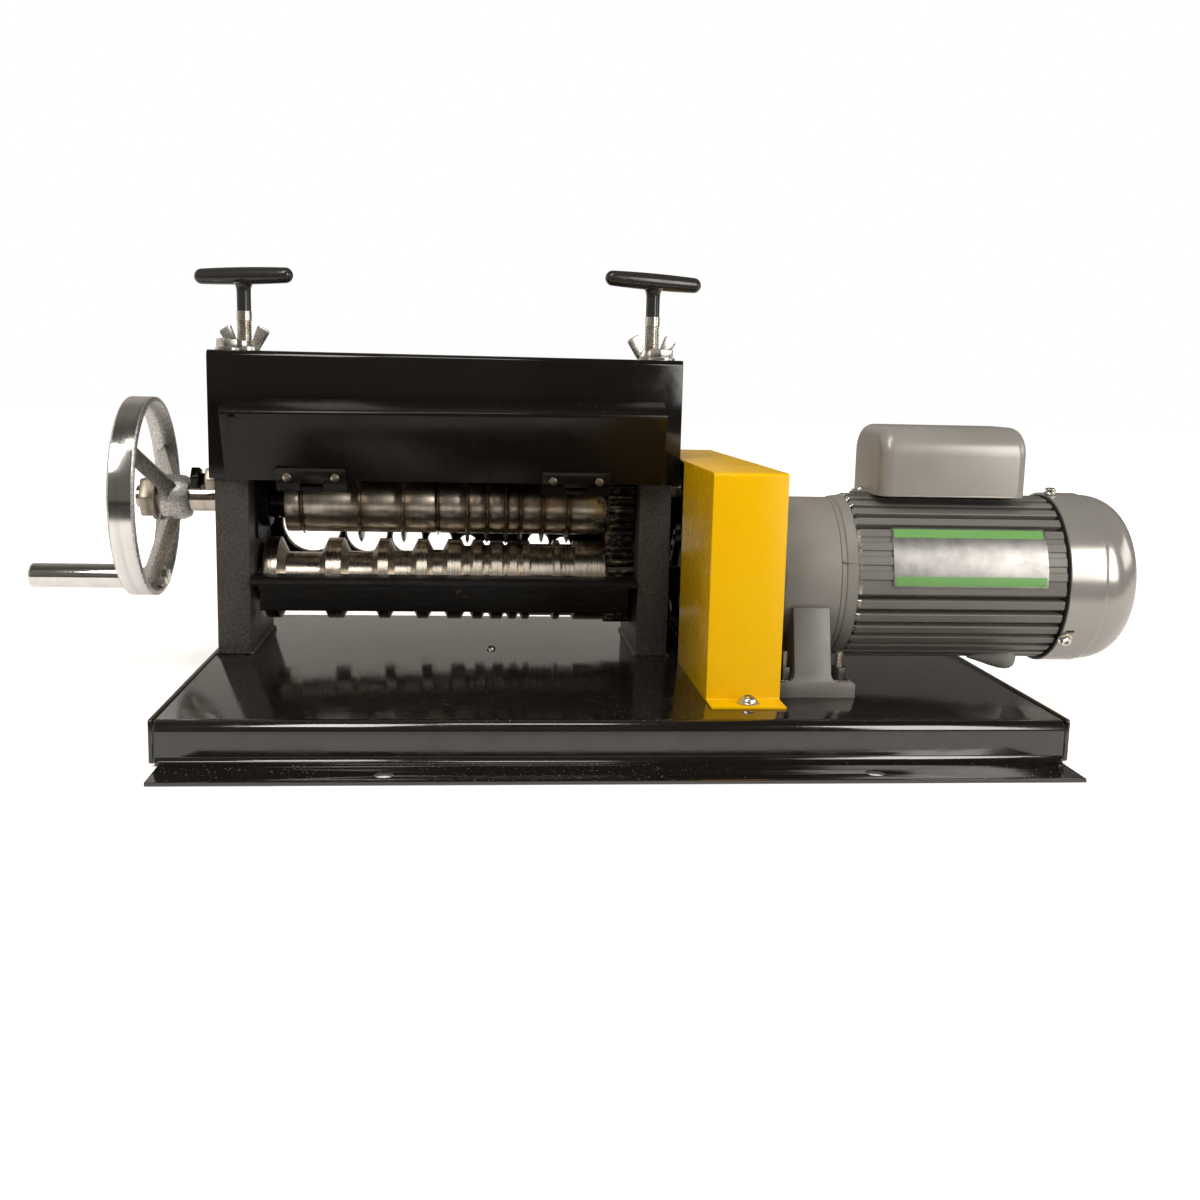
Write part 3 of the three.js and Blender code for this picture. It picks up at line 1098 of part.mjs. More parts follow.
/** Gearbox: a round case on a foot with a filleted column, four studs and nuts. */
function makeGearbox() {
  const right = gearboxLeft + GEARBOX_LENGTH;
  let box = turned([
    [gearboxLeft - GEARBOX_NOSE_LENGTH, 0], [gearboxLeft - GEARBOX_NOSE_LENGTH, GEARBOX_NOSE_RADIUS],
    [gearboxLeft, GEARBOX_NOSE_RADIUS], [gearboxLeft, GEARBOX_RADIUS - GEARBOX_EDGE],
    [gearboxLeft + GEARBOX_EDGE, GEARBOX_RADIUS], [right, GEARBOX_RADIUS], [right, 0],
  ], WHEEL_SIDES).translate([0, motorAxisY, motorAxisZ]);
  const foot = baseTop + SEAT_GAP;
  const ledge = foot + FOOT_THICKNESS;
  const column = gearboxLeft + COLUMN_OFFSET;
  const columnTop = motorAxisZ - COLUMN_TOP_DROP;
  const halfColumn = COLUMN_WIDTH / 2;
  const halfFoot = FOOT_LENGTH / 2;
  const front = outline([
    [column - halfFoot, foot], [column + halfFoot, foot], [column + halfFoot, ledge],
    [column + halfColumn + FOOT_FILLET, ledge], [column + halfColumn + FOOT_FILLET / 3, ledge + FOOT_FILLET / 3],
    [column + halfColumn, ledge + FOOT_FILLET], [column + halfColumn, columnTop],
    [column - halfColumn, columnTop], [column - halfColumn, ledge + FOOT_FILLET],
    [column - halfColumn - FOOT_FILLET / 3, ledge + FOOT_FILLET / 3], [column - halfColumn - FOOT_FILLET, ledge],
    [column - halfFoot, ledge],
  ]);
  const halfDepth = FOOT_DEPTH / 2;
  const halfTop = COLUMN_TOP_DEPTH / 2;
  const side = outline([
    [motorAxisY - halfDepth, foot], [motorAxisY + halfDepth, foot], [motorAxisY + halfDepth, ledge],
    [motorAxisY + halfTop, columnTop], [motorAxisY - halfTop, columnTop], [motorAxisY - halfDepth, ledge],
  ]);
  const bracket = prismY(front, motorAxisY - halfDepth, motorAxisY + halfDepth)
    .intersect(prismX(side, column - halfFoot, column + halfFoot));
  box = box.add(bracket);
  for (const xSide of [-1, 1]) {
    for (const ySide of [-1, 1]) {
      const x = column + xSide * STUD_SPACING_X / 2;
      const y = motorAxisY + ySide * (halfDepth - STUD_EDGE);
      const sunk = ledge - FOOT_THICKNESS / 2;
      box = joined(box,
        upright(rod(sunk, ledge + STUD_HEIGHT, STUD_RADIUS, COARSE_SIDES)).translate([x, y, 0]),
        upright(rod(sunk, ledge + STUD_WASHER_THICKNESS, STUD_WASHER_RADIUS, COARSE_SIDES)).translate([x, y, 0]),
        hexagonHead(STUD_NUT_ACROSS, STUD_NUT_HEIGHT + STUD_WASHER_THICKNESS).translate([x, y, ledge]));
    }
  }
  const bore = rod(gearboxLeft - GEARBOX_NOSE_LENGTH - CUT_OVERRUN, gearboxLeft + OUTPUT_SHAFT_DEPTH, OUTPUT_SHAFT_RADIUS + RUN_GAP);
  addPart(frame, "gearbox", box.subtract(bore.translate([0, motorAxisY, motorAxisZ])), FINISHES.greyPaint);
}

/** End shield between the gearbox and the motor. */
function makeGearEndShield() {
  const right = shieldLeft + SHIELD_LENGTH;
  const shield = turned([
    [shieldLeft, 0], [shieldLeft, GEARBOX_RADIUS], [right, SHIELD_END_RADIUS], [right, 0],
  ], WHEEL_SIDES);
  addPart(frame, "gear_end_shield", shield, FINISHES.greyPaint, [0, motorAxisY, motorAxisZ]);
}

/** Motor body: broad flat fins all round, a pad for the capacitor cover, and the cable gland underneath. */
function makeMotorBody() {
  const points = [];
  for (let i = 0; i < FIN_COUNT; i += 1) {
    const middle = 2 * Math.PI * i / FIN_COUNT;
    const half = FIN_SHARE * Math.PI / FIN_COUNT;
    for (const [radius, angle] of [
      [FIN_ROOT_RADIUS, middle - half], [FIN_RADIUS, middle - half], [FIN_RADIUS, middle + half], [FIN_ROOT_RADIUS, middle + half],
    ]) {
      points.push([radius * Math.cos(angle), radius * Math.sin(angle)]);
    }
  }
  const pad = block(
    [capacitorLeft - CAPACITOR_TAB_REACH, -CAPACITOR_PAD_DEPTH / 2, 0],
    [capacitorLeft + CAPACITOR_LENGTH + CAPACITOR_TAB_REACH, CAPACITOR_PAD_DEPTH / 2, CAPACITOR_SIT - SEAT_GAP]);
  const body = prismX(outline(points), motorLeft, motorRight).add(pad);
  const glandRight = motorRight - GLAND_END_INSET;
  const gland = turned([
    [glandRight - GLAND_LENGTH, 0], [glandRight - GLAND_LENGTH, GLAND_RADIUS * GLAND_MOUTH_SHARE],
    [glandRight - GLAND_LENGTH * GLAND_SHOULDER_SHARE, GLAND_RADIUS], [glandRight, GLAND_RADIUS], [glandRight, 0],
  ], SMALL_SIDES).translate([0, -GLAND_ADVANCE, -GLAND_DROP]);
  addPart(frame, "motor_body", body.add(gland), FINISHES.greyPaint, [0, motorAxisY, motorAxisZ]);
}

/** Rear end shield: a neck behind the fins, a spigot for the cowl, and the rotor shaft's bearing bore. */
function makeRearEndShield() {
  const spigot = COWL_RADIUS - COWL_SHEET - SEAT_GAP;
  const shield = turned([
    [rearShieldLeft, 0], [rearShieldLeft, REAR_SHIELD_NECK_RADIUS], [cowlLeft, REAR_SHIELD_NECK_RADIUS],
    [cowlLeft, spigot], [rearShieldRight, spigot],
    [rearShieldRight, ROTOR_SHAFT_RADIUS + RUN_GAP], [rearShieldRight - ROTOR_SHAFT_DEPTH, ROTOR_SHAFT_RADIUS + RUN_GAP],
    [rearShieldRight - ROTOR_SHAFT_DEPTH, 0],
  ], WHEEL_SIDES);
  addPart(frame, "rear_end_shield", shield, FINISHES.greyPaint, [0, motorAxisY, motorAxisZ]);
}

/** Fan cowl: a thin shell with a stepped band, a domed end and radial air slots. */
function makeFanCowl() {
  const right = cowlLeft + COWL_LENGTH;
  const shoulder = right - COWL_DOME;
  const shoulderRadius = COWL_RADIUS - COWL_STEP;
  const outer = [[cowlLeft, COWL_RADIUS], [cowlLeft + COWL_BAND, COWL_RADIUS], [cowlLeft + COWL_BAND + COWL_STEP, shoulderRadius]];
  for (let step = 0; step <= COWL_DOME_CHORDS; step += 1) {
    const angle = Math.PI / 2 * step / COWL_DOME_CHORDS;
    const radius = COWL_DOME_RADIUS + (shoulderRadius - COWL_DOME_RADIUS) * Math.cos(angle);
    outer.push([shoulder + COWL_DOME * Math.sin(angle), radius]);
  }
  const inner = outer.slice(3).map(([x, radius]) => [x - COWL_SHEET, radius - COWL_SHEET]).reverse();
  let cowl = turned([
    [cowlLeft, COWL_RADIUS - COWL_SHEET], ...outer, [right, 0], [right - COWL_SHEET, 0], ...inner,
    [cowlLeft + COWL_BAND - COWL_SHEET, COWL_RADIUS - COWL_SHEET], [cowlLeft, COWL_RADIUS - COWL_SHEET],
  ], WHEEL_SIDES);
  for (let i = 0; i < COWL_SLOT_COUNT; i += 1) {
    const slot = block(
      [right - 2 * COWL_SHEET - CUT_OVERRUN / 2, -COWL_SLOT_WIDTH / 2, COWL_SLOT_INNER],
      [right + CUT_OVERRUN, COWL_SLOT_WIDTH / 2, COWL_SLOT_OUTER]);
    cowl = cowl.subtract(slot.rotate([i * 360 / COWL_SLOT_COUNT, 0, 0]));
  }
  addPart(frame, "fan_cowl", cowl, FINISHES.greyPaint, [0, motorAxisY, motorAxisZ]);
}

/** Cooling fan on the rotor shaft's rear end. */
function makeCoolingFan() {
  const start = rearShieldRight + FAN_START;
  const end = start + FAN_HUB_LENGTH;
  let fan = joined(
    rod(rearShieldRight - ROTOR_SHAFT_DEPTH + RUN_GAP, end + RUN_GAP, ROTOR_SHAFT_RADIUS),
    rod(start, end, FAN_HUB_RADIUS), rod(start, start + FAN_DISC, FAN_RADIUS));
  for (let i = 0; i < FAN_VANE_COUNT; i += 1) {
    const vane = block([start, -FAN_VANE / 2, FAN_HUB_RADIUS - FAN_VANE], [start + FAN_VANE_WIDTH, FAN_VANE / 2, FAN_RADIUS - FAN_VANE]);
    fan = fan.add(vane.rotate([i * 360 / FAN_VANE_COUNT, 0, 0]));
  }
  addPart(motorTrain, "cooling_fan", fan, FINISHES.greyPlastic);
}

/** Capacitor cover on top of the motor, with rounded upper edges. */
function makeCapacitorCover() {
  const left = capacitorLeft;
  const sit = motorAxisZ + CAPACITOR_SIT;
  const top = motorAxisZ + CAPACITOR_TOP;
  const front = motorAxisY - CAPACITOR_DEPTH / 2;
  const back = motorAxisY + CAPACITOR_DEPTH / 2;
  const round = (low, high, radius) => new THREE.Shape(roundedPath(
    [[high, sit], [high, top], [low, top], [low, sit]].map(([u, v]) => new THREE.Vector2(u, v)),
    radius, radius, BEND_STEPS + 1));
  const cover = prismX(round(front, back, CAPACITOR_FRONT_ROUNDING), left, left + CAPACITOR_LENGTH)
    .intersect(prismY(round(left, left + CAPACITOR_LENGTH, CAPACITOR_ROUNDING), front, back));
  const middle = left + CAPACITOR_LENGTH / 2;
  const tabEnd = CAPACITOR_LENGTH / 2 + CAPACITOR_TAB_REACH;
  const tab = block(
    [middle - tabEnd, motorAxisY - CAPACITOR_TAB_WIDTH / 2, sit],
    [middle + tabEnd, motorAxisY + CAPACITOR_TAB_WIDTH / 2, sit + CAPACITOR_TAB_THICKNESS]);
  let box = joined(cover, tab);
  for (const side of [-1, 1]) {
    const screw = upright(rod(CAPACITOR_TAB_THICKNESS / 2, CAPACITOR_TAB_THICKNESS + CAPACITOR_SCREW_HEIGHT,
      CAPACITOR_SCREW_RADIUS, COARSE_SIDES));
    box = box.add(screw.translate([middle + side * (tabEnd - CAPACITOR_TAB_REACH / 2), motorAxisY, sit]));
  }
  addPart(frame, "capacitor_cover", box, FINISHES.greyPaint);
}

makeBasePan();
makeSidePlate("left_side_plate", leftPlateOuter, leftPlateInner);
makeSidePlate("right_side_plate", rightPlateOuter, rightPlateInner);
makeHood();
makeGuardFlap();
makeHinge("left", flapLeft + HINGE_LEFT_INSET);
makeHinge("right", flapRight - HINGE_RIGHT_INSET - HINGE_LENGTH);
makeFeedTable();
makeGuidePlate();
makeLowerBearing("left_bearing", leftPlateInner, leftPlateOuter);
makeLowerBearing("right_bearing", rightPlateInner, rightPlateOuter);
makeLowerRoller();
makeGears();
makeUpperShaft();
makeDiscStack();
makeBearingBlock("left_bearing_block", leftPlateOuter, leftPlateInner, leftPlateInner + BLOCK_BOSS_LENGTH);
makeBearingBlock("right_bearing_block", rightPlateInner, rightPlateOuter, rightPlateOuter);
makeHandwheel();
makeHandwheelNut();
makeCrank();
makeHandScrew("left_hand_screw", leftPlateOuter + PLATE_THICKNESS / 2, LEFT_BAR_TURN_DEGREES);
makeHandScrew("right_hand_screw", rightPlateInner + PLATE_THICKNESS / 2, RIGHT_BAR_TURN_DEGREES);
makeWingNut("left_wing_nut", leftPlateOuter + PLATE_THICKNESS / 2, LEFT_BAR_TURN_DEGREES);
makeWingNut("right_wing_nut", rightPlateInner + PLATE_THICKNESS / 2, RIGHT_BAR_TURN_DEGREES);
makeChain();
makeSprocket(lowerTrain, "roller_sprocket", ROLLER_SPROCKET_TEETH, ROLLER_SPROCKET_HUB_RADIUS, LOWER_SHAFT_RADIUS, 1);
makeSprocket(motorTrain, "motor_sprocket", MOTOR_SPROCKET_TEETH, MOTOR_SPROCKET_HUB_RADIUS, OUTPUT_SHAFT_RADIUS, 1);
makeOutputShaft();
makeChainGuard();
makeGearbox();
makeGearEndShield();
makeMotorBody();
makeRearEndShield();
makeFanCowl();
makeCoolingFan();
makeCapacitorCover();

// The origin is the middle of the machine's outline on the ground.
root.updateMatrixWorld(true);
const bounds = new THREE.Box3().setFromObject(root);
const middle = bounds.getCenter(new THREE.Vector3());
root.position.set(-middle.x, -middle.y, -bounds.min.z);

export default root;
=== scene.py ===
"""Visual model of an electric wire stripping machine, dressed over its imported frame.

Shapes are drawn in millimetres in the machine's own coordinates, as its drawings give them: X runs along
the rollers from the middle of the pan, Y goes away from the operator, and Z is up from the floor.
"""
from __future__ import annotations

import logging
import math
from collections.abc import Iterable, Sequence
from dataclasses import dataclass
from enum import Enum

import bmesh
import bpy
from mathutils import Matrix, Vector

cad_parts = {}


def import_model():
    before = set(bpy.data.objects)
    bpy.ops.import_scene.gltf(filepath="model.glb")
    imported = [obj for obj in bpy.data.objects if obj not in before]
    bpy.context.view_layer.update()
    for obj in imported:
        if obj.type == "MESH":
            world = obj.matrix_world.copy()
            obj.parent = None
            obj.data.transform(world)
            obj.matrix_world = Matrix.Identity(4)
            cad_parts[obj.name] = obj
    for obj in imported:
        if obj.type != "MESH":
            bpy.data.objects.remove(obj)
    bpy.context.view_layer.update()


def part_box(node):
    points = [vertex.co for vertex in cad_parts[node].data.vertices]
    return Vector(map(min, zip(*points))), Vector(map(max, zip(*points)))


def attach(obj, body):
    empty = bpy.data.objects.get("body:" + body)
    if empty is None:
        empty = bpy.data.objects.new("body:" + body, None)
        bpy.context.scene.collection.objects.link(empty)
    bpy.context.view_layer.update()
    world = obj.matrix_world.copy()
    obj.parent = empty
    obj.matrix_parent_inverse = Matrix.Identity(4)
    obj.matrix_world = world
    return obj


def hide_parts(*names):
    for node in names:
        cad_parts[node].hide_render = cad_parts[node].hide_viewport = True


LOG = logging.getLogger("wire_stripper")
MILLIMETRE = 0.001
# Turns of a path under this many radians are no corners.
STRAIGHT = 1e-4
# Edges over this many millimetres count as long.
LONG = 9.0

Point = tuple[float, float]
Place = tuple[float, float, float]
Colour = tuple[float, float, float]


class Body(Enum):
    """The moving bodies of the frame."""

    FRAME = "frame"
    FLAP = "guard_flap"
    CARRIAGE = "bearing_carriage"
    BLADES = "blade_shaft"
    CRANK = "crank_handle"
    LEFT_SCREW = "left_hand_screw"
    RIGHT_SCREW = "right_hand_screw"
    LEFT_WING = "left_wing_nut"
    RIGHT_WING = "right_wing_nut"
    ROLLER = "lower_roller"
    OUTPUT = "motor_output"
    ROTOR = "motor_rotor"


class Axis(Enum):
    """Direction that an outline is drawn out along, with the columns that turn it there."""

    X = ((0, 0, 1), (1, 0, 0), (0, 1, 0))
    Y = ((1, 0, 0), (0, 0, 1), (0, 1, 0))
    Z = ((1, 0, 0), (0, 1, 0), (0, 0, 1))


class Nodes:
    """A node tree, with short ways to add and join its nodes."""

    def __init__(self, tree: bpy.types.NodeTree, space: str) -> None:
        """Starts with the tree's coordinates.

        Args:
            tree: The node tree.
            space: Which coordinates its patterns lie in.
        """
        self.tree = tree
        self.coords = self.node("ShaderNodeTexCoord").outputs[space]

    def node(self, kind: str, **settings: object) -> bpy.types.Node:
        """Adds a node and sets its properties.

        Args:
            kind: The node's type name.
            settings: Properties to set on it.

        Returns:
            The new node.
        """
        made = self.tree.nodes.new(kind)
        for key, value in settings.items():
            setattr(made, key, value)
        return made

    def feed(self, socket: bpy.types.NodeSocket, value: object) -> None:
        """Links a socket to another, or sets its value.

        Args:
            socket: The input to feed.
            value: An output socket, a number or a colour.
        """
        if isinstance(value, bpy.types.NodeSocket):
            self.tree.links.new(value, socket)
        elif isinstance(value, tuple) and socket.type == "RGBA":
            socket.default_value = (*value, 1.0)
        else:
            socket.default_value = value

    def noise(
        self, scale: float, detail: float = 3.0, rough: float = 0.5, stretch: Place = (1, 1, 1),
        seed: float = 0.0
    ) -> bpy.types.NodeSocket:
        """Noise on the piece's own coordinates.

        Args:
            scale: Features per metre.
            detail: Octaves of detail.
            rough: Strength of the finer octaves.
            stretch: Factors on X, Y and Z.
            seed: A shift that gives another pattern.

        Returns:
            The noise as a value.
        """
        mapping = self.node("ShaderNodeMapping")
        self.feed(mapping.inputs["Vector"], self.coords)
        mapping.inputs["Scale"].default_value = stretch
        mapping.inputs["Location"].default_value = (seed, seed, seed)
        texture = self.node("ShaderNodeTexNoise")
        self.feed(texture.inputs["Vector"], mapping.outputs["Vector"])
        texture.inputs["Scale"].default_value = scale
        texture.inputs["Detail"].default_value = detail
        texture.inputs["Roughness"].default_value = rough
        return texture.outputs["Fac"]

    def ramp(
        self, value: bpy.types.NodeSocket, low: float, high: float, start: float = 0.0, end: float = 1.0,
        curve: str = "LINEAR"
    ) -> bpy.types.NodeSocket:
        """Maps a value's range onto another, held at both ends.

        Args:
            value: The value to map.
            low: Where the range starts.
            high: Where the range ends.
            start: Result at low.
            end: Result at high.
            curve: How the result goes from one end to the other.

        Returns:
            The mapped value.
        """
        made = self.node("ShaderNodeMapRange", clamp=True, interpolation_type=curve)
        names = ("Value", "From Min", "From Max", "To Min", "To Max")
        for key, number in zip(names, (value, low, high, start, end)):
            self.feed(made.inputs[key], number)
        return made.outputs["Result"]

    def math(self, operation: str, first: object, second: object) -> bpy.types.NodeSocket:
        """Joins two values by an operation.

        Args:
            operation: The math node's operation.
            first: The first value.
            second: The second value.

        Returns:
            The result.
        """
        made = self.node("ShaderNodeMath", operation=operation)
        self.feed(made.inputs[0], first)
        self.feed(made.inputs[1], second)
        return made.outputs["Value"]

    def mix(self, factor: object, first: object, second: object) -> bpy.types.NodeSocket:
        """Mixes two colours.

        Args:
            factor: Share of the second colour.
            first: The first colour.
            second: The second colour.

        Returns:
            The mixed colour.
        """
        made = self.node("ShaderNodeMix", data_type="RGBA")
        self.feed(made.inputs[0], factor)
        self.feed(made.inputs[6], first)
        self.feed(made.inputs[7], second)
        return made.outputs[2]

    def axis_value(self, axis: int) -> bpy.types.NodeSocket:
        """One of the coordinates, 0, 1 or 2 for X, Y or Z."""
        return self.parts(self.coords)[axis]

    def parts(self, vector: bpy.types.NodeSocket) -> bpy.types.NodeOutputs:
        """The three numbers of a vector.

        Args:
            vector: The vector.

        Returns:
            Its X, Y and Z.
        """
        made = self.node("ShaderNodeSeparateXYZ")
        self.feed(made.inputs[0], vector)
        return made.outputs


class Brush(Nodes):
    """One material's node tree, with its Principled shader."""

    def __init__(self, name: str) -> None:
        """Starts a material.

        Args:
            name: The material's name.
        """
        self.material = bpy.data.materials.new(name)
        self.material.use_nodes = True
        super().__init__(self.material.node_tree, "Object")
        self.shader = self.tree.nodes["Principled BSDF"]

    def bump(
        self, height: bpy.types.NodeSocket, depth: float, pan_shadow: bpy.types.NodeSocket | None = None
    ) -> bpy.types.NodeSocket:
        """Turns a height into a normal.

        Args:
            height: The height, from 0 to 1.
            depth: Height of the relief in millimetres.
            pan_shadow: A normal that this one lies over.

        Returns:
            The normal.
        """
        made = self.node("ShaderNodeBump")
        made.inputs["Strength"].default_value = 1.0
        made.inputs["Distance"].default_value = depth * MILLIMETRE
        self.feed(made.inputs["Height"], height)
        if pan_shadow is not None:
            self.feed(made.inputs["Normal"], pan_shadow)
        return made.outputs["Normal"]

    def upward(self) -> bpy.types.NodeSocket:
        """How far the surface faces up, from 0 to 1."""
        normal = self.node("ShaderNodeNewGeometry").outputs["True Normal"]
        return self.ramp(self.parts(normal)["Z"], 0.7, 0.95)

    def lengthways(self) -> bpy.types.NodeSocket:
        """The direction of X, along which turned metal spreads its highlights."""
        made = self.node("ShaderNodeCombineXYZ")
        made.inputs["X"].default_value = 1.0
        return made.outputs["Vector"]

    def set(self, **sockets: object) -> None:
        """Feeds the Principled shader's inputs, named with underscores for spaces."""
        for key, value in sockets.items():
            self.feed(self.shader.inputs[key.replace("_", " ")], value)


@dataclass(frozen=True)
class Paint:
    """Sprayed paint: orange peel, clouded gloss, and dust that has settled in it."""

    slot: str
    colour: Colour
    gloss: Point = (0.1, 0.2)
    peel: float = 0.01
    peel_scale: float = 330.0
    dust: float = 0.0
    cloud: Colour | None = None
    shine: float = 0.5
    flake: float = 0.0

    def dress(self, brush: Brush) -> None:
        """Feeds the material.

        Args:
            brush: The material's nodes.
        """
        cloud = brush.noise(14.0, 3.0)
        colour: object = self.colour
        if self.cloud is not None:
            colour = brush.mix(brush.ramp(cloud, 0.35, 0.7), self.colour, self.cloud)
        rough = brush.ramp(brush.noise(55.0, 5.0, 0.6), 0.35, 0.7, *self.gloss)
        if self.dust > 0.0:
            least = 0.74 - 0.03 * self.dust
            specks = brush.ramp(brush.noise(1000.0, 1.0, 0.5, (1.0, 0.4, 1.0), 3.0), least, least + 0.05)
            patches = brush.ramp(brush.noise(11.0, 3.0, seed=7.0), 0.35, 0.6, 0.1, 1.0)
            specks = brush.math("MULTIPLY", brush.math("MULTIPLY", specks, patches), brush.upward())
            colour = brush.mix(specks, colour, (0.24, 0.215, 0.18))
            rough = brush.math("MAXIMUM", rough, brush.math("MULTIPLY", specks, 0.7))
        brush.set(Base_Color=colour, Roughness=rough, Specular_IOR_Level=self.shine, Metallic=self.flake)
        brush.set(Normal=brush.bump(brush.noise(self.peel_scale, 2.0, 0.4), self.peel))


@dataclass(frozen=True)
class RoughPaint:
    """Paint over a rough cast or hot-rolled face, worn through in places."""

    slot: str
    colour: Colour
    bare: Colour = (0.11, 0.095, 0.08)
    grit: float = 0.12
    gloss: Point = (0.28, 0.5)
    wear: float = 0.72
    shine: float = 0.5
    along: Place = (1.0, 1.0, 1.0)

    def dress(self, brush: Brush) -> None:
        """Feeds the material.

        Args:
            brush: The material's nodes.
        """
        grain = brush.noise(300.0, 6.0, 0.65, self.along)
        scars = brush.ramp(brush.noise(95.0, 8.0, 0.7, seed=5.0), self.wear - 0.05, self.wear)
        light = tuple(c * 1.7 for c in self.colour)
        tone = brush.mix(brush.ramp(brush.noise(30.0, 4.0), 0.3, 0.7), self.colour, light)
        # Small darker patches: painted shade of the hollows in the rough face.
        hollow_shade = brush.ramp(brush.noise(640.0, 3.0, 0.6, self.along, seed=8.0), 0.42, 0.58)
        tone = brush.mix(hollow_shade, tone, tuple(c * 0.74 for c in self.colour))
        rough = brush.ramp(grain, 0.3, 0.7, *self.gloss)
        brush.set(
            Base_Color=brush.mix(scars, tone, self.bare), Roughness=rough, Specular_IOR_Level=self.shine)
        brush.set(Normal=brush.bump(brush.noise(1100.0, 2.0), self.grit * 0.3, brush.bump(grain, self.grit)))


@dataclass(frozen=True)
class TurnedMetal:
    """Bare metal cut on a lathe: fine rings across X, stains, and grease towards one end."""

    slot: str
    colour: Colour
    stain: Colour
    gloss: Point = (0.18, 0.34)
    rings: float = 0.006
    ring_scale: float = 2600.0
    spread: float = 0.75
    grease_from: float | None = None
    grease_to: float = 1.0

    def dress(self, brush: Brush) -> None:
        """Feeds the material.

        Args:
            brush: The material's nodes.
        """
        rings = brush.noise(1.0, 2.0, 0.6, stretch=(self.ring_scale, 22.0, 22.0))
        bands = brush.noise(1.0, 3.0, 0.6, stretch=(160.0, 4.0, 4.0), seed=4.0)
        stains = brush.ramp(brush.noise(60.0, 6.0, 0.62), 0.5, 0.8, 0.0, 0.8)
        plain = brush.mix(brush.ramp(bands, 0.3, 0.7), tuple(c * 0.72 for c in self.colour), self.colour)
        colour: object = brush.mix(stains, plain, self.stain)
        rough = brush.ramp(rings, 0.25, 0.75, *self.gloss)
        rough = brush.math("ADD", rough, brush.math("MULTIPLY", stains, 0.1))
        metal: object = 1.0
        if self.grease_from is not None:
            along = brush.ramp(brush.axis_value(0), self.grease_from, self.grease_to, -0.22, 0.3)
            grease = brush.ramp(brush.math("ADD", along, brush.noise(120.0, 8.0, 0.7, seed=2.0)), 0.5, 0.6)
            crumbs = brush.ramp(brush.noise(560.0, 3.0, seed=9.0), 0.64, 0.7)
            black = brush.mix(crumbs, (0.012, 0.009, 0.006), (0.22, 0.16, 0.07))
            colour = brush.mix(grease, colour, black)
            metal = brush.math("SUBTRACT", 1.0, grease)
            rough = brush.math("ADD", rough, brush.math("MULTIPLY", grease, 0.12))
        brush.set(Base_Color=colour, Metallic=metal, Roughness=rough)
        brush.set(Normal=brush.bump(rings, self.rings), Anisotropic=self.spread, Tangent=brush.lengthways())


@dataclass(frozen=True)
class CastMetal:
    """Cast metal with a sand-grained skin."""

    slot: str
    colour: Colour
    grain: float = 0.16
    gloss: Point = (0.24, 0.42)
    grain_scale: float = 620.0
    # Share of the colour kept in the darker specks, which paint shade into the skin's pits.
    pit: float = 0.8

    def dress(self, brush: Brush) -> None:
        """Feeds the material.

        Args:
            brush: The material's nodes.
        """
        grain = brush.noise(self.grain_scale, 5.0, 0.6)
        # Darker random specks: painted shade of the pits in the sand-grained skin.
        pit_shade = brush.ramp(brush.noise(self.grain_scale * 1.3, 3.0, 0.6, seed=6.0), 0.35, 0.6)
        tone = brush.mix(pit_shade, tuple(c * self.pit for c in self.colour), self.colour)
        brush.set(Base_Color=tone, Metallic=1.0, Roughness=brush.ramp(grain, 0.3, 0.7, *self.gloss))
        brush.set(Normal=brush.bump(grain, self.grain))


@dataclass(frozen=True)
class PlatedMetal:
    """Plated or polished metal with faint scratches and a warm or cool bloom."""

    slot: str
    colour: Colour
    bloom: Colour
    gloss: Point = (0.12, 0.26)
    scratch: float = 0.004

    def dress(self, brush: Brush) -> None:
        """Feeds the material.

        Args:
            brush: The material's nodes.
        """
        cloud = brush.noise(90.0, 4.0)
        scratches = brush.noise(1.0, 4.0, 0.7, stretch=(500.0, 90.0, 1400.0))
        brush.set(Base_Color=brush.mix(brush.ramp(cloud, 0.35, 0.7), self.colour, self.bloom), Metallic=1.0)
        brush.set(Roughness=brush.ramp(scratches, 0.3, 0.72, *self.gloss))
        brush.set(Normal=brush.bump(scratches, self.scratch))


@dataclass(frozen=True)
class Dip:
    """Thick plastic dip or moulded plastic."""

    slot: str
    colour: Colour
    gloss: Point = (0.14, 0.24)
    swell: float = 0.05
    swell_scale: float = 90.0

    def dress(self, brush: Brush) -> None:
        """Feeds the material.

        Args:
            brush: The material's nodes.
        """
        brush.set(Base_Color=brush.mix(brush.noise(40.0), self.colour, tuple(c * 1.5 for c in self.colour)))
        brush.set(Roughness=brush.ramp(brush.noise(160.0, 4.0), 0.3, 0.7, *self.gloss))
        brush.set(Normal=brush.bump(brush.noise(self.swell_scale, 2.0), self.swell))


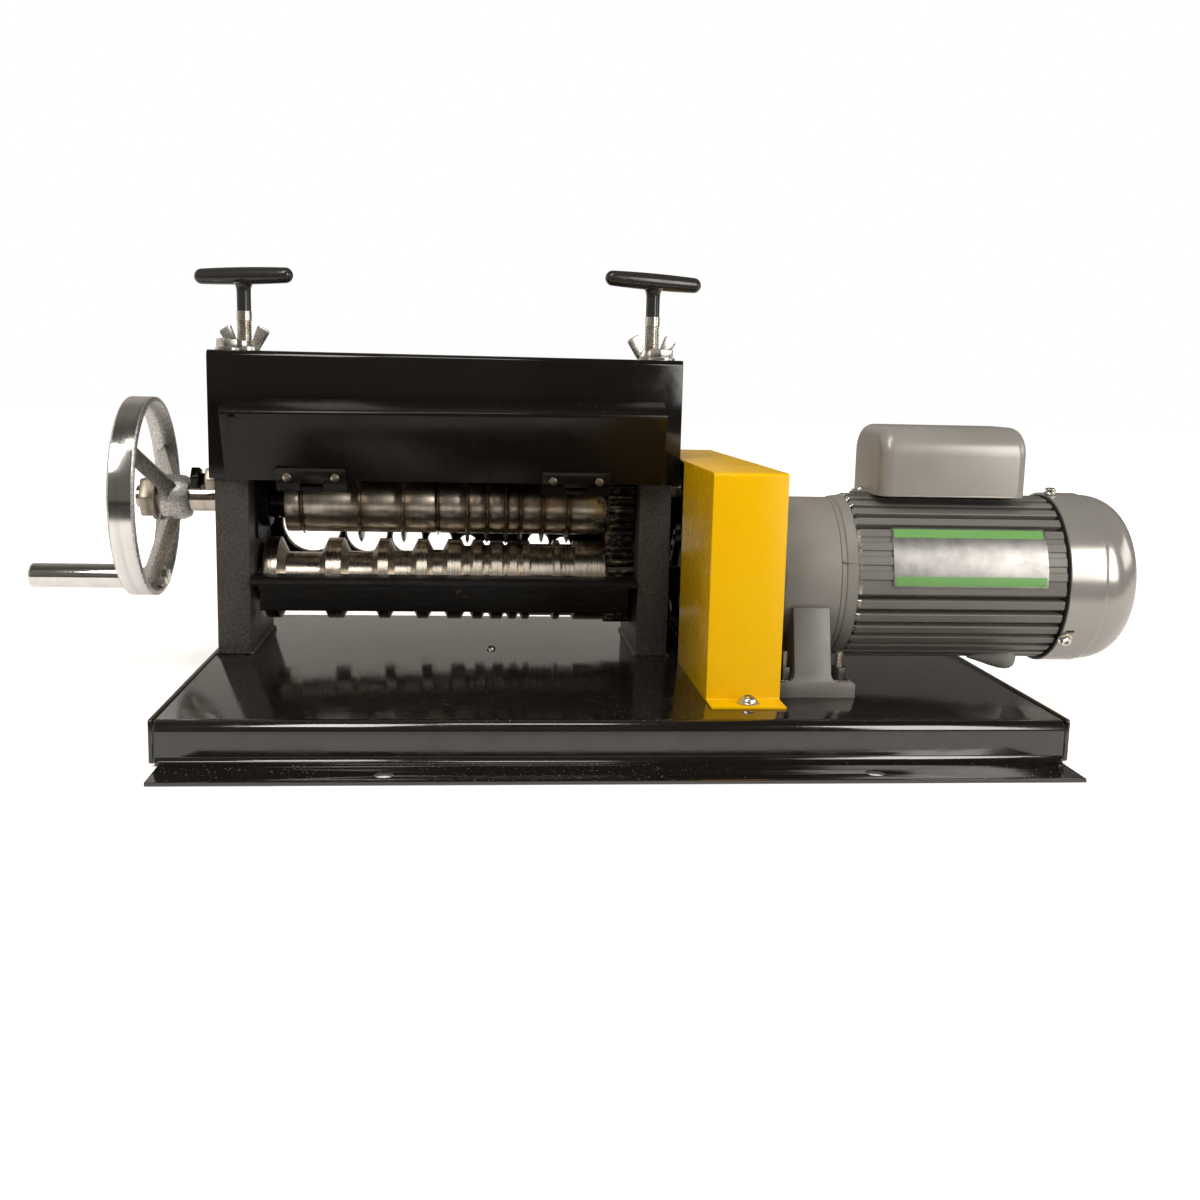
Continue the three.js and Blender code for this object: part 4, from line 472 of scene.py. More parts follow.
class Finish(Enum):
    """Every finish on the machine."""

    GLOSS_BLACK = Paint(
        "gloss_black_paint", (0.0075, 0.0064, 0.0056), (0.08, 0.16), 0.012, 300.0, 0.6, shine=0.4)
    PAN_BLACK = Paint(
        "gloss_black_paint", (0.008, 0.0066, 0.0055), (0.08, 0.17), 0.014, 240.0, 1.3, shine=0.95)
    FLAP_BLACK = Paint(
        "gloss_black_paint", (0.008, 0.006, 0.0046), (0.17, 0.28), 0.01, 260.0, 0.35, shine=0.27)
    PLATE_BLACK = RoughPaint(
        "dark_hammered_paint", (0.047, 0.04, 0.0355), grit=1.6, gloss=(0.3, 0.5), along=(1.0, 1.0, 0.6))
    TABLE_BLACK = RoughPaint(
        "blackened_steel", (0.0045, 0.0038, 0.0032), (0.03, 0.024, 0.018), 1.0, (0.34, 0.55), 0.68, 0.16,
        (0.12, 1.0, 1.0))
    TURNED = TurnedMetal(
        "turned_steel", (0.78, 0.715, 0.615), (0.42, 0.34, 0.25), (0.22, 0.36), 0.004, 900.0,
        grease_from=0.033, grease_to=0.055)
    STACK = TurnedMetal(
        "turned_steel", (0.8, 0.71, 0.6), (0.46, 0.36, 0.26), (0.3, 0.44), 0.005, 1200.0, grease_from=0.018,
        grease_to=0.06)
    GEAR = TurnedMetal(
        "turned_steel", (0.46, 0.38, 0.27), (0.14, 0.1, 0.06), (0.3, 0.45), grease_from=0.012,
        grease_to=0.075)
    SHAFT = TurnedMetal("turned_steel", (0.62, 0.56, 0.48), (0.3, 0.22, 0.14), (0.14, 0.3))
    BLADE = TurnedMetal("blade_steel", (0.42, 0.36, 0.3), (0.2, 0.16, 0.12), (0.2, 0.32))
    GREASED = TurnedMetal("blade_steel", (0.03, 0.025, 0.02), (0.01, 0.009, 0.008), (0.2, 0.32))
    CAST = CastMetal("cast_aluminium", (0.76, 0.74, 0.71), 0.5, (0.34, 0.6), 430.0, 0.56)
    RIM = TurnedMetal(
        "cast_aluminium", (0.86, 0.85, 0.83), (0.7, 0.69, 0.68), (0.1, 0.2), 0.006, 3000.0, 0.3)
    CHROME = PlatedMetal("chromed_grip", (0.8, 0.785, 0.765), (0.7, 0.68, 0.65), (0.08, 0.16), 0.002)
    ZINC = PlatedMetal("zinc_plated", (0.8, 0.78, 0.73), (0.62, 0.58, 0.5), (0.22, 0.38))
    YELLOW_ZINC = PlatedMetal("zinc_plated", (0.42, 0.38, 0.31), (0.33, 0.29, 0.23), (0.3, 0.46))
    DARK_STEEL = PlatedMetal("zinc_plated", (0.1, 0.094, 0.088), (0.06, 0.055, 0.05), (0.34, 0.5))
    BLACK_OXIDE = PlatedMetal("zinc_plated", (0.035, 0.033, 0.03), (0.02, 0.02, 0.02), (0.14, 0.28))
    MACHINED = CastMetal("motor_grey", (0.8, 0.79, 0.77), 0.03, (0.2, 0.35))
    BRONZE = TurnedMetal("bush_bronze", (0.4, 0.28, 0.13), (0.2, 0.13, 0.06))
    DIP = Dip("dipped_black", (0.021, 0.0196, 0.018))
    YELLOW = Paint(
        "yellow_paint", (0.79, 0.45, 0.0), (0.24, 0.34), 0.003, 150.0, 0.0, (0.77, 0.435, 0.0), 0.17)
    MOTOR = Paint(
        "motor_grey", (0.23, 0.22, 0.199), (0.36, 0.5), 0.02, 700.0, 0.0, (0.25, 0.239, 0.217), 0.4, 0.12)
    # Darker motor grey: the finned body's grey, and painted shade on the gearbox foot's upright column.
    FIN_GREY_AND_SHADE = Paint(
        "motor_grey", (0.155, 0.148, 0.133), (0.34, 0.46), 0.02, 700.0, 0.0, (0.17, 0.162, 0.146), 0.35, 0.1)
    COWL = Paint("motor_grey", (0.34, 0.326, 0.304), (0.17, 0.24), 0.008, 260.0, 0.0, (0.37, 0.355, 0.332),
        flake=0.45)
    COVER = Paint(
        "motor_grey", (0.3, 0.285, 0.262), (0.29, 0.33), 0.012, 180.0, 0.0, (0.34, 0.323, 0.3), flake=0.3)
    PLASTIC = Dip("grey_plastic", (0.16, 0.155, 0.145), (0.4, 0.55), 0.01, 700.0)
    # Near-black: painted shade on the rear shield, whose ring between the fins and the cowl lies in shade.
    RECESS_SHADE_BLACK = Dip("grey_plastic", (0.03, 0.03, 0.028), (0.4, 0.6), 0.02, 300.0)
    # Near-black steel: oiled chain and sprockets, darkened further as painted shade inside the guard.
    CHAIN = TurnedMetal("chain_steel", (0.011, 0.009, 0.0075), (0.006, 0.005, 0.004), (0.55, 0.7))
    LABEL = PlatedMetal("cast_aluminium", (0.4, 0.39, 0.375), (0.28, 0.27, 0.26), (0.3, 0.45), 0.001)
    GREEN = Paint("motor_grey", (0.14, 0.33, 0.095), (0.25, 0.35), 0.0)

    def material(self) -> bpy.types.Material:
        """The finish's material, made at its first use."""
        name = self.name.lower()
        if name not in bpy.data.materials:
            self.value.dress(Brush(name))
        return bpy.data.materials[name]


def arc_corner(before: Vector, corner: Vector, after: Vector, radius: float, steps: int) -> list[Vector]:
    """Rounds one corner of a path.

    Args:
        before: The point before the corner.
        corner: The corner.
        after: The point after it.
        radius: Radius of the arc.
        steps: Chords in the arc.

    Returns:
        The points of the arc.
    """
    into = (corner - before).normalized()
    out = (after - corner).normalized()
    turn = math.atan2(into.x * out.y - into.y * out.x, into.dot(out))
    if abs(turn) < STRAIGHT:
        return [corner]
    start = corner - into * radius * math.tan(abs(turn) / 2)
    centre = start + Vector((-into.y, into.x)) * math.copysign(radius, turn)
    arm = start - centre
    return [centre + Matrix.Rotation(turn * step / steps, 2) @ arm for step in range(steps + 1)]


def rounded(corners: Sequence[Point], radius: float, steps: int = 4) -> list[Point]:
    """Rounds every corner of a closed outline.

    Args:
        corners: The outline's corners.
        radius: Radius of each corner.
        steps: Chords in each arc.

    Returns:
        The rounded outline.
    """
    points = [Vector(corner) for corner in corners]
    result: list[Point] = []
    for index, corner in enumerate(points):
        after = points[(index + 1) % len(points)]
        result += [tuple(point) for point in arc_corner(points[index - 1], corner, after, radius, steps)]
    return result


def folded(path: Sequence[Point], sheet: float, bend: float, steps: int = 4) -> list[Point]:
    """Outline of a folded sheet that lies to the left of a path.

    Args:
        path: Corners of the sheet's near face.
        sheet: Thickness of the sheet.
        bend: Inner radius of each fold.
        steps: Chords in each fold.

    Returns:
        The closed outline.
    """
    near = [Vector(corner) for corner in path]
    far = []
    for index, corner in enumerate(near):
        into = corner - near[index - 1] if index > 0 else near[1] - corner
        out = near[index + 1] - corner if index + 1 < len(near) else into
        first = Vector((-into.y, into.x)).normalized()
        second = Vector((-out.y, out.x)).normalized()
        side = (first + second).normalized()
        far.append(corner + side * sheet / side.dot(first))
    result: list[Vector] = []
    for line, extra_left, extra_right in ((near, sheet, 0.0), (far, 0.0, sheet)):
        run = [line[0]]
        for before, corner, after in zip(line, line[1:], line[2:]):
            left = (corner - before).x * (after - corner).y - (corner - before).y * (after - corner).x > 0
            run += arc_corner(before, corner, after, bend + (extra_left if left else extra_right), steps)
        run.append(line[-1])
        result += run if line is near else run[::-1]
    return [tuple(point) for point in result]


def rectangle(low: Point, high: Point) -> list[Point]:
    """Corners of a rectangle between two corners."""
    return [low, (high[0], low[1]), high, (low[0], high[1])]


def arc(centre: Point, reach: float | Point, first: float, last: float, steps: int) -> list[Point]:
    """Points on an arc of a circle or an ellipse.

    Args:
        centre: Its centre.
        reach: Its radius, or its two half axes.
        first: Where it starts, in degrees.
        last: Where it ends, in degrees.
        steps: Chords in the arc.

    Returns:
        The points.
    """
    across, up = reach if isinstance(reach, tuple) else (reach, reach)
    angles = [math.radians(first + (last - first) * step / steps) for step in range(steps + 1)]
    return [(centre[0] + across * math.cos(a), round(centre[1] + up * math.sin(a), 9)) for a in angles]


def hexagon(across: float) -> list[Point]:
    """Corners of a hexagon, given its width across flats."""
    return arc((0.0, 0.0), across / 2 / math.cos(math.pi / 6), 0.0, 300.0, 5)


class Blank:
    """A solid on the bench, in millimetres in the machine's coordinates."""

    def __init__(self) -> None:
        """Starts with nothing."""
        self.mesh = bmesh.new()

    def tidy(self) -> Blank:
        """Merges doubles and turns the faces outwards."""
        bmesh.ops.remove_doubles(self.mesh, verts=self.mesh.verts, dist=1e-4)
        bmesh.ops.recalc_face_normals(self.mesh, faces=self.mesh.faces)
        if self.mesh.calc_volume(signed=True) < 0.0:
            bmesh.ops.reverse_faces(self.mesh, faces=self.mesh.faces)
        return self

    @classmethod
    def turned(cls, profile: Sequence[Point], centre: Point = (0.0, 0.0), sides: int = 72) -> Blank:
        """Spins an (x, radius) profile about an axis along X.

        Args:
            profile: The profile's points, from axis to axis or closed.
            centre: The axis in Y and Z.
            sides: Number of sides.

        Returns:
            The solid.
        """
        blank = cls()
        closed = profile[0] == profile[-1]
        points = profile[:-1] if closed else profile
        verts = [blank.mesh.verts.new((x, 0.0, radius)) for x, radius in points]
        pairs = list(zip(verts, verts[1:])) + ([(verts[-1], verts[0])] if closed else [])
        edges = [blank.mesh.edges.new(pair) for pair in pairs]
        bmesh.ops.spin(
            blank.mesh, geom=verts + edges, cent=(0, 0, 0), axis=(1, 0, 0), angle=math.tau, steps=sides,
            use_merge=True)
        return blank.tidy().about(centre)

    @classmethod
    def bar(cls, start: float, end: float, radius: float, edge: float = 0.5, sides: int = 48) -> Blank:
        """A round bar along X with eased ends.

        Args:
            start: Where it starts.
            end: Where it ends.
            radius: Its radius.
            edge: Size of the chamfer at each end.
            sides: Number of sides.

        Returns:
            The solid.
        """
        return cls.turned(
            [(start, 0.0), (start, radius - edge), (start + edge, radius), (end - edge, radius),
            (end, radius - edge),
             (end, 0.0)], sides=sides)

    @classmethod
    def tube(
        cls, start: float, end: float, inner: float, outer: float, edge: float = 0.0, sides: int = 72
    ) -> Blank:
        """A ring about the X axis.

        Args:
            start: Where it starts.
            end: Where it ends.
            inner: Radius of its bore.
            outer: Its outer radius.
            edge: Size of the chamfer at each outer edge.
            sides: Number of sides.

        Returns:
            The solid.
        """
        crown = [(start, outer - edge), (start + edge, outer), (end - edge, outer), (end, outer - edge)]
        return cls.turned([(start, inner), *crown, (end, inner), (start, inner)], sides=sides)

    @classmethod
    def hexed(cls, across: float, low: float, high: float, edge: float, axis: Axis = Axis.X) -> Blank:
        """A hexagon head or nut with eased edges.

        Args:
            across: Width across flats.
            low: Where it starts.
            high: Where it ends.
            edge: Width of the bevel.
            axis: The direction it stands along.

        Returns:
            The solid.
        """
        return cls.drawn(hexagon(across), axis, low, high).eased(edge)

    @classmethod
    def drawn(cls, outline: Sequence[Point], axis: Axis, low: float, high: float) -> Blank:
        """Draws an outline out into a prism.

        Args:
            outline: Corners in the two other coordinates.
            axis: The direction to draw along.
            low: Where the prism starts.
            high: Where it ends.

        Returns:
            The solid.
        """
        blank = cls()
        across, up, along = (Vector(column) for column in zip(*axis.value))
        corners = [blank.mesh.verts.new(across * u + up * v + along * low) for u, v in outline]
        grown = bmesh.ops.extrude_face_region(blank.mesh, geom=[blank.mesh.faces.new(corners)])
        verts = [item for item in grown["geom"] if isinstance(item, bmesh.types.BMVert)]
        bmesh.ops.translate(blank.mesh, verts=verts, vec=along * (high - low))
        return blank.tidy()

    @classmethod
    def block(cls, low: Place, high: Place) -> Blank:
        """A rectangular block between two corners.

        Args:
            low: The lowest corner.
            high: The highest corner.

        Returns:
            The solid.
        """
        blank = cls()
        middle = (Vector(low) + Vector(high)) / 2
        size = Vector(high) - Vector(low)
        bmesh.ops.create_cube(blank.mesh, size=1.0, matrix=Matrix.LocRotScale(middle, None, size))
        return blank

    @classmethod
    def threaded(cls, start: float, end: float, radius: float, pitch: float, depth: float) -> Blank:
        """A threaded rod along X, cut as one helix.

        Args:
            start: Where it starts.
            end: Where it ends, about.
            radius: Radius at the crests.
            pitch: Advance in one turn.
            depth: Depth of the thread.

        Returns:
            The solid.
        """
        blank = cls()
        steps = 28
        turns = math.ceil((end - start) / pitch)
        points = [(start, radius)]
        for turn in range(turns):
            points += [(start + (turn + 0.5) * pitch, radius - depth), (start + (turn + 1) * pitch, radius)]
        verts = [blank.mesh.verts.new((x, 0.0, reach)) for x, reach in points]
        edges = [blank.mesh.edges.new(pair) for pair in zip(verts, verts[1:])]
        bmesh.ops.spin(
            blank.mesh, geom=verts + edges, cent=(0, 0, 0), axis=(1, 0, 0), dvec=(pitch / steps, 0, 0),
            angle=math.tau, steps=steps)
        bmesh.ops.remove_doubles(blank.mesh, verts=blank.mesh.verts, dist=1e-3)
        bmesh.ops.holes_fill(
            blank.mesh, edges=[edge for edge in blank.mesh.edges if edge.is_boundary], sides=0)
        return blank.tidy()

    def moved(self, x: float = 0.0, y: float = 0.0, z: float = 0.0) -> Blank:
        """Moves the solid by three distances and returns it."""
        bmesh.ops.translate(self.mesh, verts=self.mesh.verts, vec=(x, y, z))
        return self

    def about(self, centre: Point) -> Blank:
        """Moves a solid made about the X axis onto another axis, given in Y and Z, and returns it."""
        return self.moved(0.0, *centre)

    def rolled(self, degrees: float, axis: str = "X") -> Blank:
        """Turns the solid about one of the coordinate axes and returns it."""
        turn = Matrix.Rotation(math.radians(degrees), 3, axis)
        bmesh.ops.rotate(self.mesh, cent=(0, 0, 0), matrix=turn, verts=self.mesh.verts)
        return self

    def upright(self) -> Blank:
        """Turns a solid made along X so that it stands along Z."""
        return self.rolled(-90.0, "Y")

    def eased(self, width: float, segments: int = 2, sharper_than: float = 32.0) -> Blank:
        """Bevels the sharp edges.

        Args:
            width: Width of the bevel.
            segments: Its segments.
            sharper_than: Least angle of an edge in degrees.

        Returns:
            The solid itself.
        """
        limit = math.radians(sharper_than)
        edges = [edge for edge in self.mesh.edges if edge.is_manifold and edge.calc_face_angle() > limit]
        return self.bevelled(edges, width, segments)

    def bevelled(self, edges: Sequence[bmesh.types.BMEdge], width: float, segments: int) -> Blank:
        """Bevels chosen edges.

        Args:
            edges: The edges.
            width: Width of the bevel.
            segments: Its segments.

        Returns:
            The solid itself.
        """
        bmesh.ops.bevel(
            self.mesh, geom=edges, offset=width, affect="EDGES", segments=segments, profile=0.5, material=-1,
            clamp_overlap=True)
        return self

    def divided(self, axis: int, cuts: int) -> Blank:
        """Divides the long edges along one coordinate.

        Args:
            axis: The coordinate, 0, 1 or 2 for X, Y or Z.
            cuts: Cuts in each edge.

        Returns:
            The solid itself.
        """
        edges = [e for e in self.mesh.edges if abs(e.verts[0].co[axis] - e.verts[1].co[axis]) > LONG]
        bmesh.ops.subdivide_edges(self.mesh, edges=edges, cuts=cuts)
        return self

    def with_part(self, *others: Blank) -> Blank:
        """Adds other solids to this one.

        Args:
            others: The solids, which are used up.

        Returns:
            The solid itself.
        """
        for other in others:
            loose = bpy.data.meshes.new("loose")
            other.mesh.to_mesh(loose)
            self.mesh.from_mesh(loose)
            bpy.data.meshes.remove(loose)
            other.mesh.free()
        return self

    def carved(self, *cutters: Blank, operation: str = "DIFFERENCE") -> Blank:
        """Cuts other solids out of this one, or joins them to it.

        Args:
            cutters: The solids, which are used up.
            operation: The Boolean modifier's operation.

        Returns:
            The solid itself.
        """
        held = []
        for blank in (self, *cutters):
            mesh = bpy.data.meshes.new("cutting")
            blank.mesh.to_mesh(mesh)
            made = bpy.data.objects.new("cutting", mesh)
            bpy.context.scene.collection.objects.link(made)
            held.append(made)
        for tool in held[1:]:
            modifier = held[0].modifiers.new("cut", "BOOLEAN")
            modifier.operation = operation
            modifier.solver = "EXACT"
            modifier.object = tool
        graph = bpy.context.evaluated_depsgraph_get()
        result = bpy.data.meshes.new_from_object(held[0].evaluated_get(graph))
        self.mesh.clear()
        self.mesh.from_mesh(result)
        bpy.data.meshes.remove(result)
        for made in held:
            mesh = made.data
            bpy.data.objects.remove(made)
            bpy.data.meshes.remove(mesh)
        for blank in cutters:
            blank.mesh.free()
        return self


@dataclass
class Assembly:
    """A sub-assembly, which sets its pieces on the machine.

    Its sizes and places are in millimetres. The datum, in metres, is the middle of the pan's foot.
    """

    datum: Vector

    def fit(
        self, name: str, blank: Blank, finish: Finish, body: Body, nodes: Iterable[str] = (),
        smooth: float = 38.0
    ) -> bpy.types.Object:
        """Makes a piece of a blank, in metres, and fits it to its body.

        Args:
            name: The piece's name.
            blank: Its shape.
            finish: Its finish.
            body: The body that it moves with.
            nodes: The frame's nodes that it stands for.
            smooth: Edges sharper than this many degrees stay sharp.

        Returns:
            The piece.
        """
        bmesh.ops.scale(blank.mesh, vec=(MILLIMETRE,) * 3, verts=blank.mesh.verts)
        bmesh.ops.translate(blank.mesh, vec=self.datum, verts=blank.mesh.verts)
        mesh = bpy.data.meshes.new(name)
        blank.mesh.to_mesh(mesh)
        blank.mesh.free()
        mesh.polygons.foreach_set("use_smooth", [True] * len(mesh.polygons))
        mesh.set_sharp_from_angle(angle=math.radians(smooth))
        mesh.materials.append(finish.material())
        piece = bpy.data.objects.new(name, mesh)
        bpy.context.scene.collection.objects.link(piece)
        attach(piece, body.value)
        for node in nodes:
            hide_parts(node)
        LOG.info("%s: %d faces on %s", name, len(mesh.polygons), body.value)
        return piece


# Gap between pieces that touch, and how far cutters reach past a solid.
SEAT = 0.1
CUT = 9.0
# Faces and axes of the machine.
PAN_FRONT = -195.0
PAN_TOP = 30.0
LEFT_PLATE = (-296.0, -271.0)
RIGHT_PLATE = (32.0, 57.0)
PLATE_FRONT = 11.0
PLATE_BACK = 126.0
PLATE_TOP = 260.0
AXIS_Y = 68.5
LOWER = (AXIS_Y, 83.0)
UPPER = (AXIS_Y, 148.0)
HOOD_TOP = 265.4
HOOD_FRONT = 7.9
HOOD_BACK = 129.1
HOOD_FOOT = 168.1
MOTOR_Y = -55.6
MOTOR_Z = 108.0
MOTOR = (MOTOR_Y, MOTOR_Z)
SPROCKET_X = 80.0
# Sizes that the grooves, the discs and the gears share.
ROLLER_RADIUS = 33.25
ROOM = RIGHT_PLATE[0] - LEFT_PLATE[1]
DISC_REACH = 8.5
GEAR_SIDES = (9.0, 31.0)
GEAR_TEETH = 26
GEAR_MODULE = 2.5
GEAR_PLAY = 0.45
GEAR_PRESSURE = math.radians(20.0)


@dataclass(frozen=True)
class Station:
    """One groove of the roller, with its disc and its guide hole."""

    x: float
    width: float
    depth: float
    reach: float
    hole: float


STATIONS = tuple(
    Station(LEFT_PLATE[1] + place * ROOM, width * ROOM, depth * ROLLER_RADIUS, reach * DISC_REACH,
    hole * ROOM)
    for place, width, depth, reach, hole in (
        (0.1106, 0.1277, 0.361, 0.25, 0.0825), (0.2624, 0.0977, 0.331, 1.0, 0.0578),
        (0.3762, 0.0759, 0.301, 1.0, 0.0429), (0.4686, 0.0545, 0.271, 0.35, 0.0347),
        (0.5479, 0.0327, 0.165, 1.0, 0.0264), (0.6007, 0.0257, 0.14, 0.95, 0.0188),
        (0.6518, 0.0205, 0.135, 1.0, 0.0172), (0.6898, 0.0178, 0.13, 0.95, 0.0132),
        (0.7492, 0.0683, 0.1, 0.85, 0.0314), (0.8185, 0.0413, 0.1, 0.85, 0.0248)))


def bolt_head(across: float, height: float, washer: float, washer_height: float) -> Blank:
    """A hexagon head on its washer, standing at the origin.

    Args:
        across: Width across flats.
        height: Height of the head.
        washer: Radius of the washer.
        washer_height: Height of the washer.

    Returns:
        The solid.
    """
    top = washer_height + height
    head = Blank.hexed(across, washer_height, top, 0.7, Axis.Z)
    crown = Blank.bar(top - 1.0, top + 0.4, across * 0.42).upright()
    return Blank.bar(0.0, washer_height, washer, 0.3).upright().with_part(head, crown)


def pan_screw(radius: float, height: float) -> Blank:
    """A round screw head with a cross recess, standing at the origin.

    Args:
        radius: Radius of the head.
        height: Height of the head.

    Returns:
        The solid.
    """
    shares = ((0.0, 0.0), (0.0, 1.0), (0.45, 0.93), (0.85, 0.6), (1.0, 0.0))
    head = Blank.turned([(height * up, radius * out) for up, out in shares], sides=32).upright()
    half, narrow, floor = radius * 0.6, radius * 0.12, height * 0.45
    return head.carved(*[
        Blank.block((-half, -narrow, floor), (half, narrow, height * 2)).rolled(turn, "Z")
        for turn in (35.0, 125.0)])


@dataclass
class PanAssembly(Assembly):
    """The folded pan that everything stands on."""

    sheet: float = 2.5
    flange: float = 39.5
    flange_sides: Point = (-296.3, 295.1)
    flange_clear: float = 8.0
    flange_past: float = 5.0
    bend: float = 4.5
    sides: Point = (-299.0, 296.5)
    gap: float = 1.2
    end_sheet: float = 3.0
    end_foot: float = 1.8
    end_inset: float = 1.0
    end_rise: float = 0.8
    seam_inset: float = 4.0
    seam_drop: float = 0.3
    hole: float = 6.5
    hole_out: float = 25.0
    hole_places: Point = (-153.8, 160.5)
    screw_place: Point = (-85.0, 38.0)

    def build(self) -> None:
        """Makes the pan and its screw."""
        rim = PAN_FRONT - self.flange
        path = [
            (-rim, self.sheet), (-PAN_FRONT, self.sheet), (-PAN_FRONT, PAN_TOP), (PAN_FRONT, PAN_TOP),
            (PAN_FRONT, self.sheet), (rim, self.sheet)]
        pan = Blank.drawn(folded(path, self.sheet, self.bend, 8), Axis.X, *self.sides)
        holes = [
            Blank.bar(-CUT, CUT, self.hole).upright().moved(x, side * (PAN_FRONT - self.hole_out))
            for x in self.hole_places for side in (-1.0, 1.0)]
        clear, edge = 1.0 - PAN_FRONT, 1.0 - rim
        ends = [
            Blank.block((left, front, -1.0), (right, back, self.flange_clear))
            for left, right in (
                (self.sides[0] - self.flange_past, self.flange_sides[0]),
                (self.flange_sides[1], self.sides[1] + self.flange_past))
            for front, back in ((clear, edge), (-edge, -clear))]
        pan.carved(*holes, *ends).eased(0.4, 2, 60.0)
        reach = -PAN_FRONT - self.end_inset
        outline = rounded(rectangle((-reach, self.end_foot), (reach, PAN_TOP + self.end_rise)), 2.0)
        for face, side in zip(self.sides, (-1.0, 1.0)):
            low, high = sorted((face + side * self.gap, face + side * (self.gap + self.end_sheet)))
            pan.with_part(Blank.drawn(outline, Axis.X, low, high).eased(0.6))
            x, y = face + side * self.gap / 2, -PAN_FRONT - self.seam_inset
            pan.with_part(Blank.block(
                (x - self.gap, -y, PAN_TOP - self.sheet), (x + self.gap, y, PAN_TOP - self.seam_drop)))
        self.fit("pan", pan, Finish.PAN_BLACK, Body.FRAME, ["base_pan"])
        screw = pan_screw(4.0, 2.6).moved(*self.screw_place, PAN_TOP)
        self.fit("pan_screw", screw, Finish.ZINC, Body.FRAME)


@dataclass
class SidePlates(Assembly):
    """Both side plates with their lock bolts, welded to the pan."""

    left: Point = (-298.5, -273.0)
    right: Point = (31.2, 56.2)
    slot: float = 54.0
    slot_floor: float = 117.9
    bore: float = 19.0
    bead: float = 2.0
    ripple: float = 0.45
    bolt_place: Point = (30.5, 165.8)
    bolt_across: float = 17.0
    washer: float = 1.6
    nut_top: float = 9.6
    head_sides: Point = (14.0, 20.6)

    def plate(self, low: float, high: float) -> Blank:
        """One plate with its slot, bore and weld beads.

        Args:
            low: Its left face.
            high: Its right face.

        Returns:
            The solid.
        """
        front, back, foot = AXIS_Y - self.slot / 2, AXIS_Y + self.slot / 2, PAN_TOP + SEAT
        plate = Blank.drawn(
            [(PLATE_FRONT, foot), (PLATE_BACK, foot), (PLATE_BACK, PLATE_TOP), (back, PLATE_TOP),
             (back, self.slot_floor), (front, self.slot_floor), (front, PLATE_TOP),
             (PLATE_FRONT, PLATE_TOP)],
            Axis.X, low, high)
        plate.carved(Blank.bar(low - CUT, high + CUT, self.bore).about(LOWER)).eased(0.8)
        shares = ((0.9, 0.45), (0.5, 0.9), (0.0, 1.1))
        crown = [(self.bead * out, PAN_TOP + self.bead * up) for out, up in shares]
        profile = [(-1.0, foot), (self.bead, foot), *crown, (-1.0, crown[-1][1])]
        for face, hand in ((low, -1.0), (high, 1.0)):
            section = [(face + hand * out, z) for out, z in profile]
            bead = Blank.drawn(section, Axis.Y, PLATE_FRONT, PLATE_BACK)
            for vert in bead.divided(1, 46).mesh.verts:
                wave = self.ripple * math.sin(vert.co.y * 1.1) * (vert.co.z < PAN_TOP + self.bead)
                vert.co.x += hand * wave
            plate.with_part(bead.tidy())
        return plate

    def build(self) -> None:
        """Makes both plates and their lock bolts."""
        for name, sides, outer, turn in (
                ("left", self.left, self.left[0], 180.0), ("right", self.right, self.right[1], 0.0)):
            self.fit(
                f"{name}_plate", self.plate(*sides), Finish.PLATE_BLACK, Body.FRAME, [f"{name}_side_plate"])
            nut = Blank.hexed(self.bolt_across, self.washer, self.nut_top, 0.7)
            nut.with_part(Blank.bar(0.0, self.washer, 9.6))
            bolt = Blank.hexed(self.bolt_across, *self.head_sides, 0.9).rolled(13.0)
            bolt.with_part(Blank.threaded(8.0, 15.0, 5.0, 1.5, 0.7))
            for part, blank, finish in (
                    ("nut", nut, Finish.YELLOW_ZINC), ("bolt", bolt, Finish.BLACK_OXIDE)):
                blank.rolled(turn, "Z").moved(outer, *self.bolt_place)
                self.fit(f"{name}_lock_{part}", blank, finish, Body.FRAME)


@dataclass
class HoodAssembly(Assembly):
    """The folded hood with its four bolts."""

    sheet: float = 3.0
    bend: float = 1.6
    sides: Point = (-302.0, 62.0)
    hole: float = 8.0
    bolt_across: float = 17.0
    bolt_x: Point = (-288.0, 47.0)
    bolt_y: Point = (26.2, 110.8)

    def build(self) -> None:
        """Makes the hood and its bolts."""
        path = [
            (HOOD_BACK, HOOD_FOOT), (HOOD_BACK, HOOD_TOP), (HOOD_FRONT, HOOD_TOP), (HOOD_FRONT, HOOD_FOOT)]
        hood = Blank.drawn(folded(path, self.sheet, self.bend, 5), Axis.X, *self.sides)
        for plate in (LEFT_PLATE, RIGHT_PLATE):
            hole = Blank.bar(HOOD_TOP - CUT, HOOD_TOP + CUT, self.hole).upright()
            hood.carved(hole.moved(sum(plate) / 2, AXIS_Y))
        self.fit("hood_shell", hood.eased(0.4, 2, 50.0), Finish.GLOSS_BLACK, Body.FRAME, ["hood"])
        for side, x in zip(("left", "right"), self.bolt_x):
            for place, y in zip(("front", "rear"), self.bolt_y):
                bolt = bolt_head(self.bolt_across, 6.5, 10.5, 2.0).rolled(17.0, "Z").moved(x, y, HOOD_TOP)
                self.fit(f"hood_bolt_{side}_{place}", bolt, Finish.ZINC, Body.FRAME)


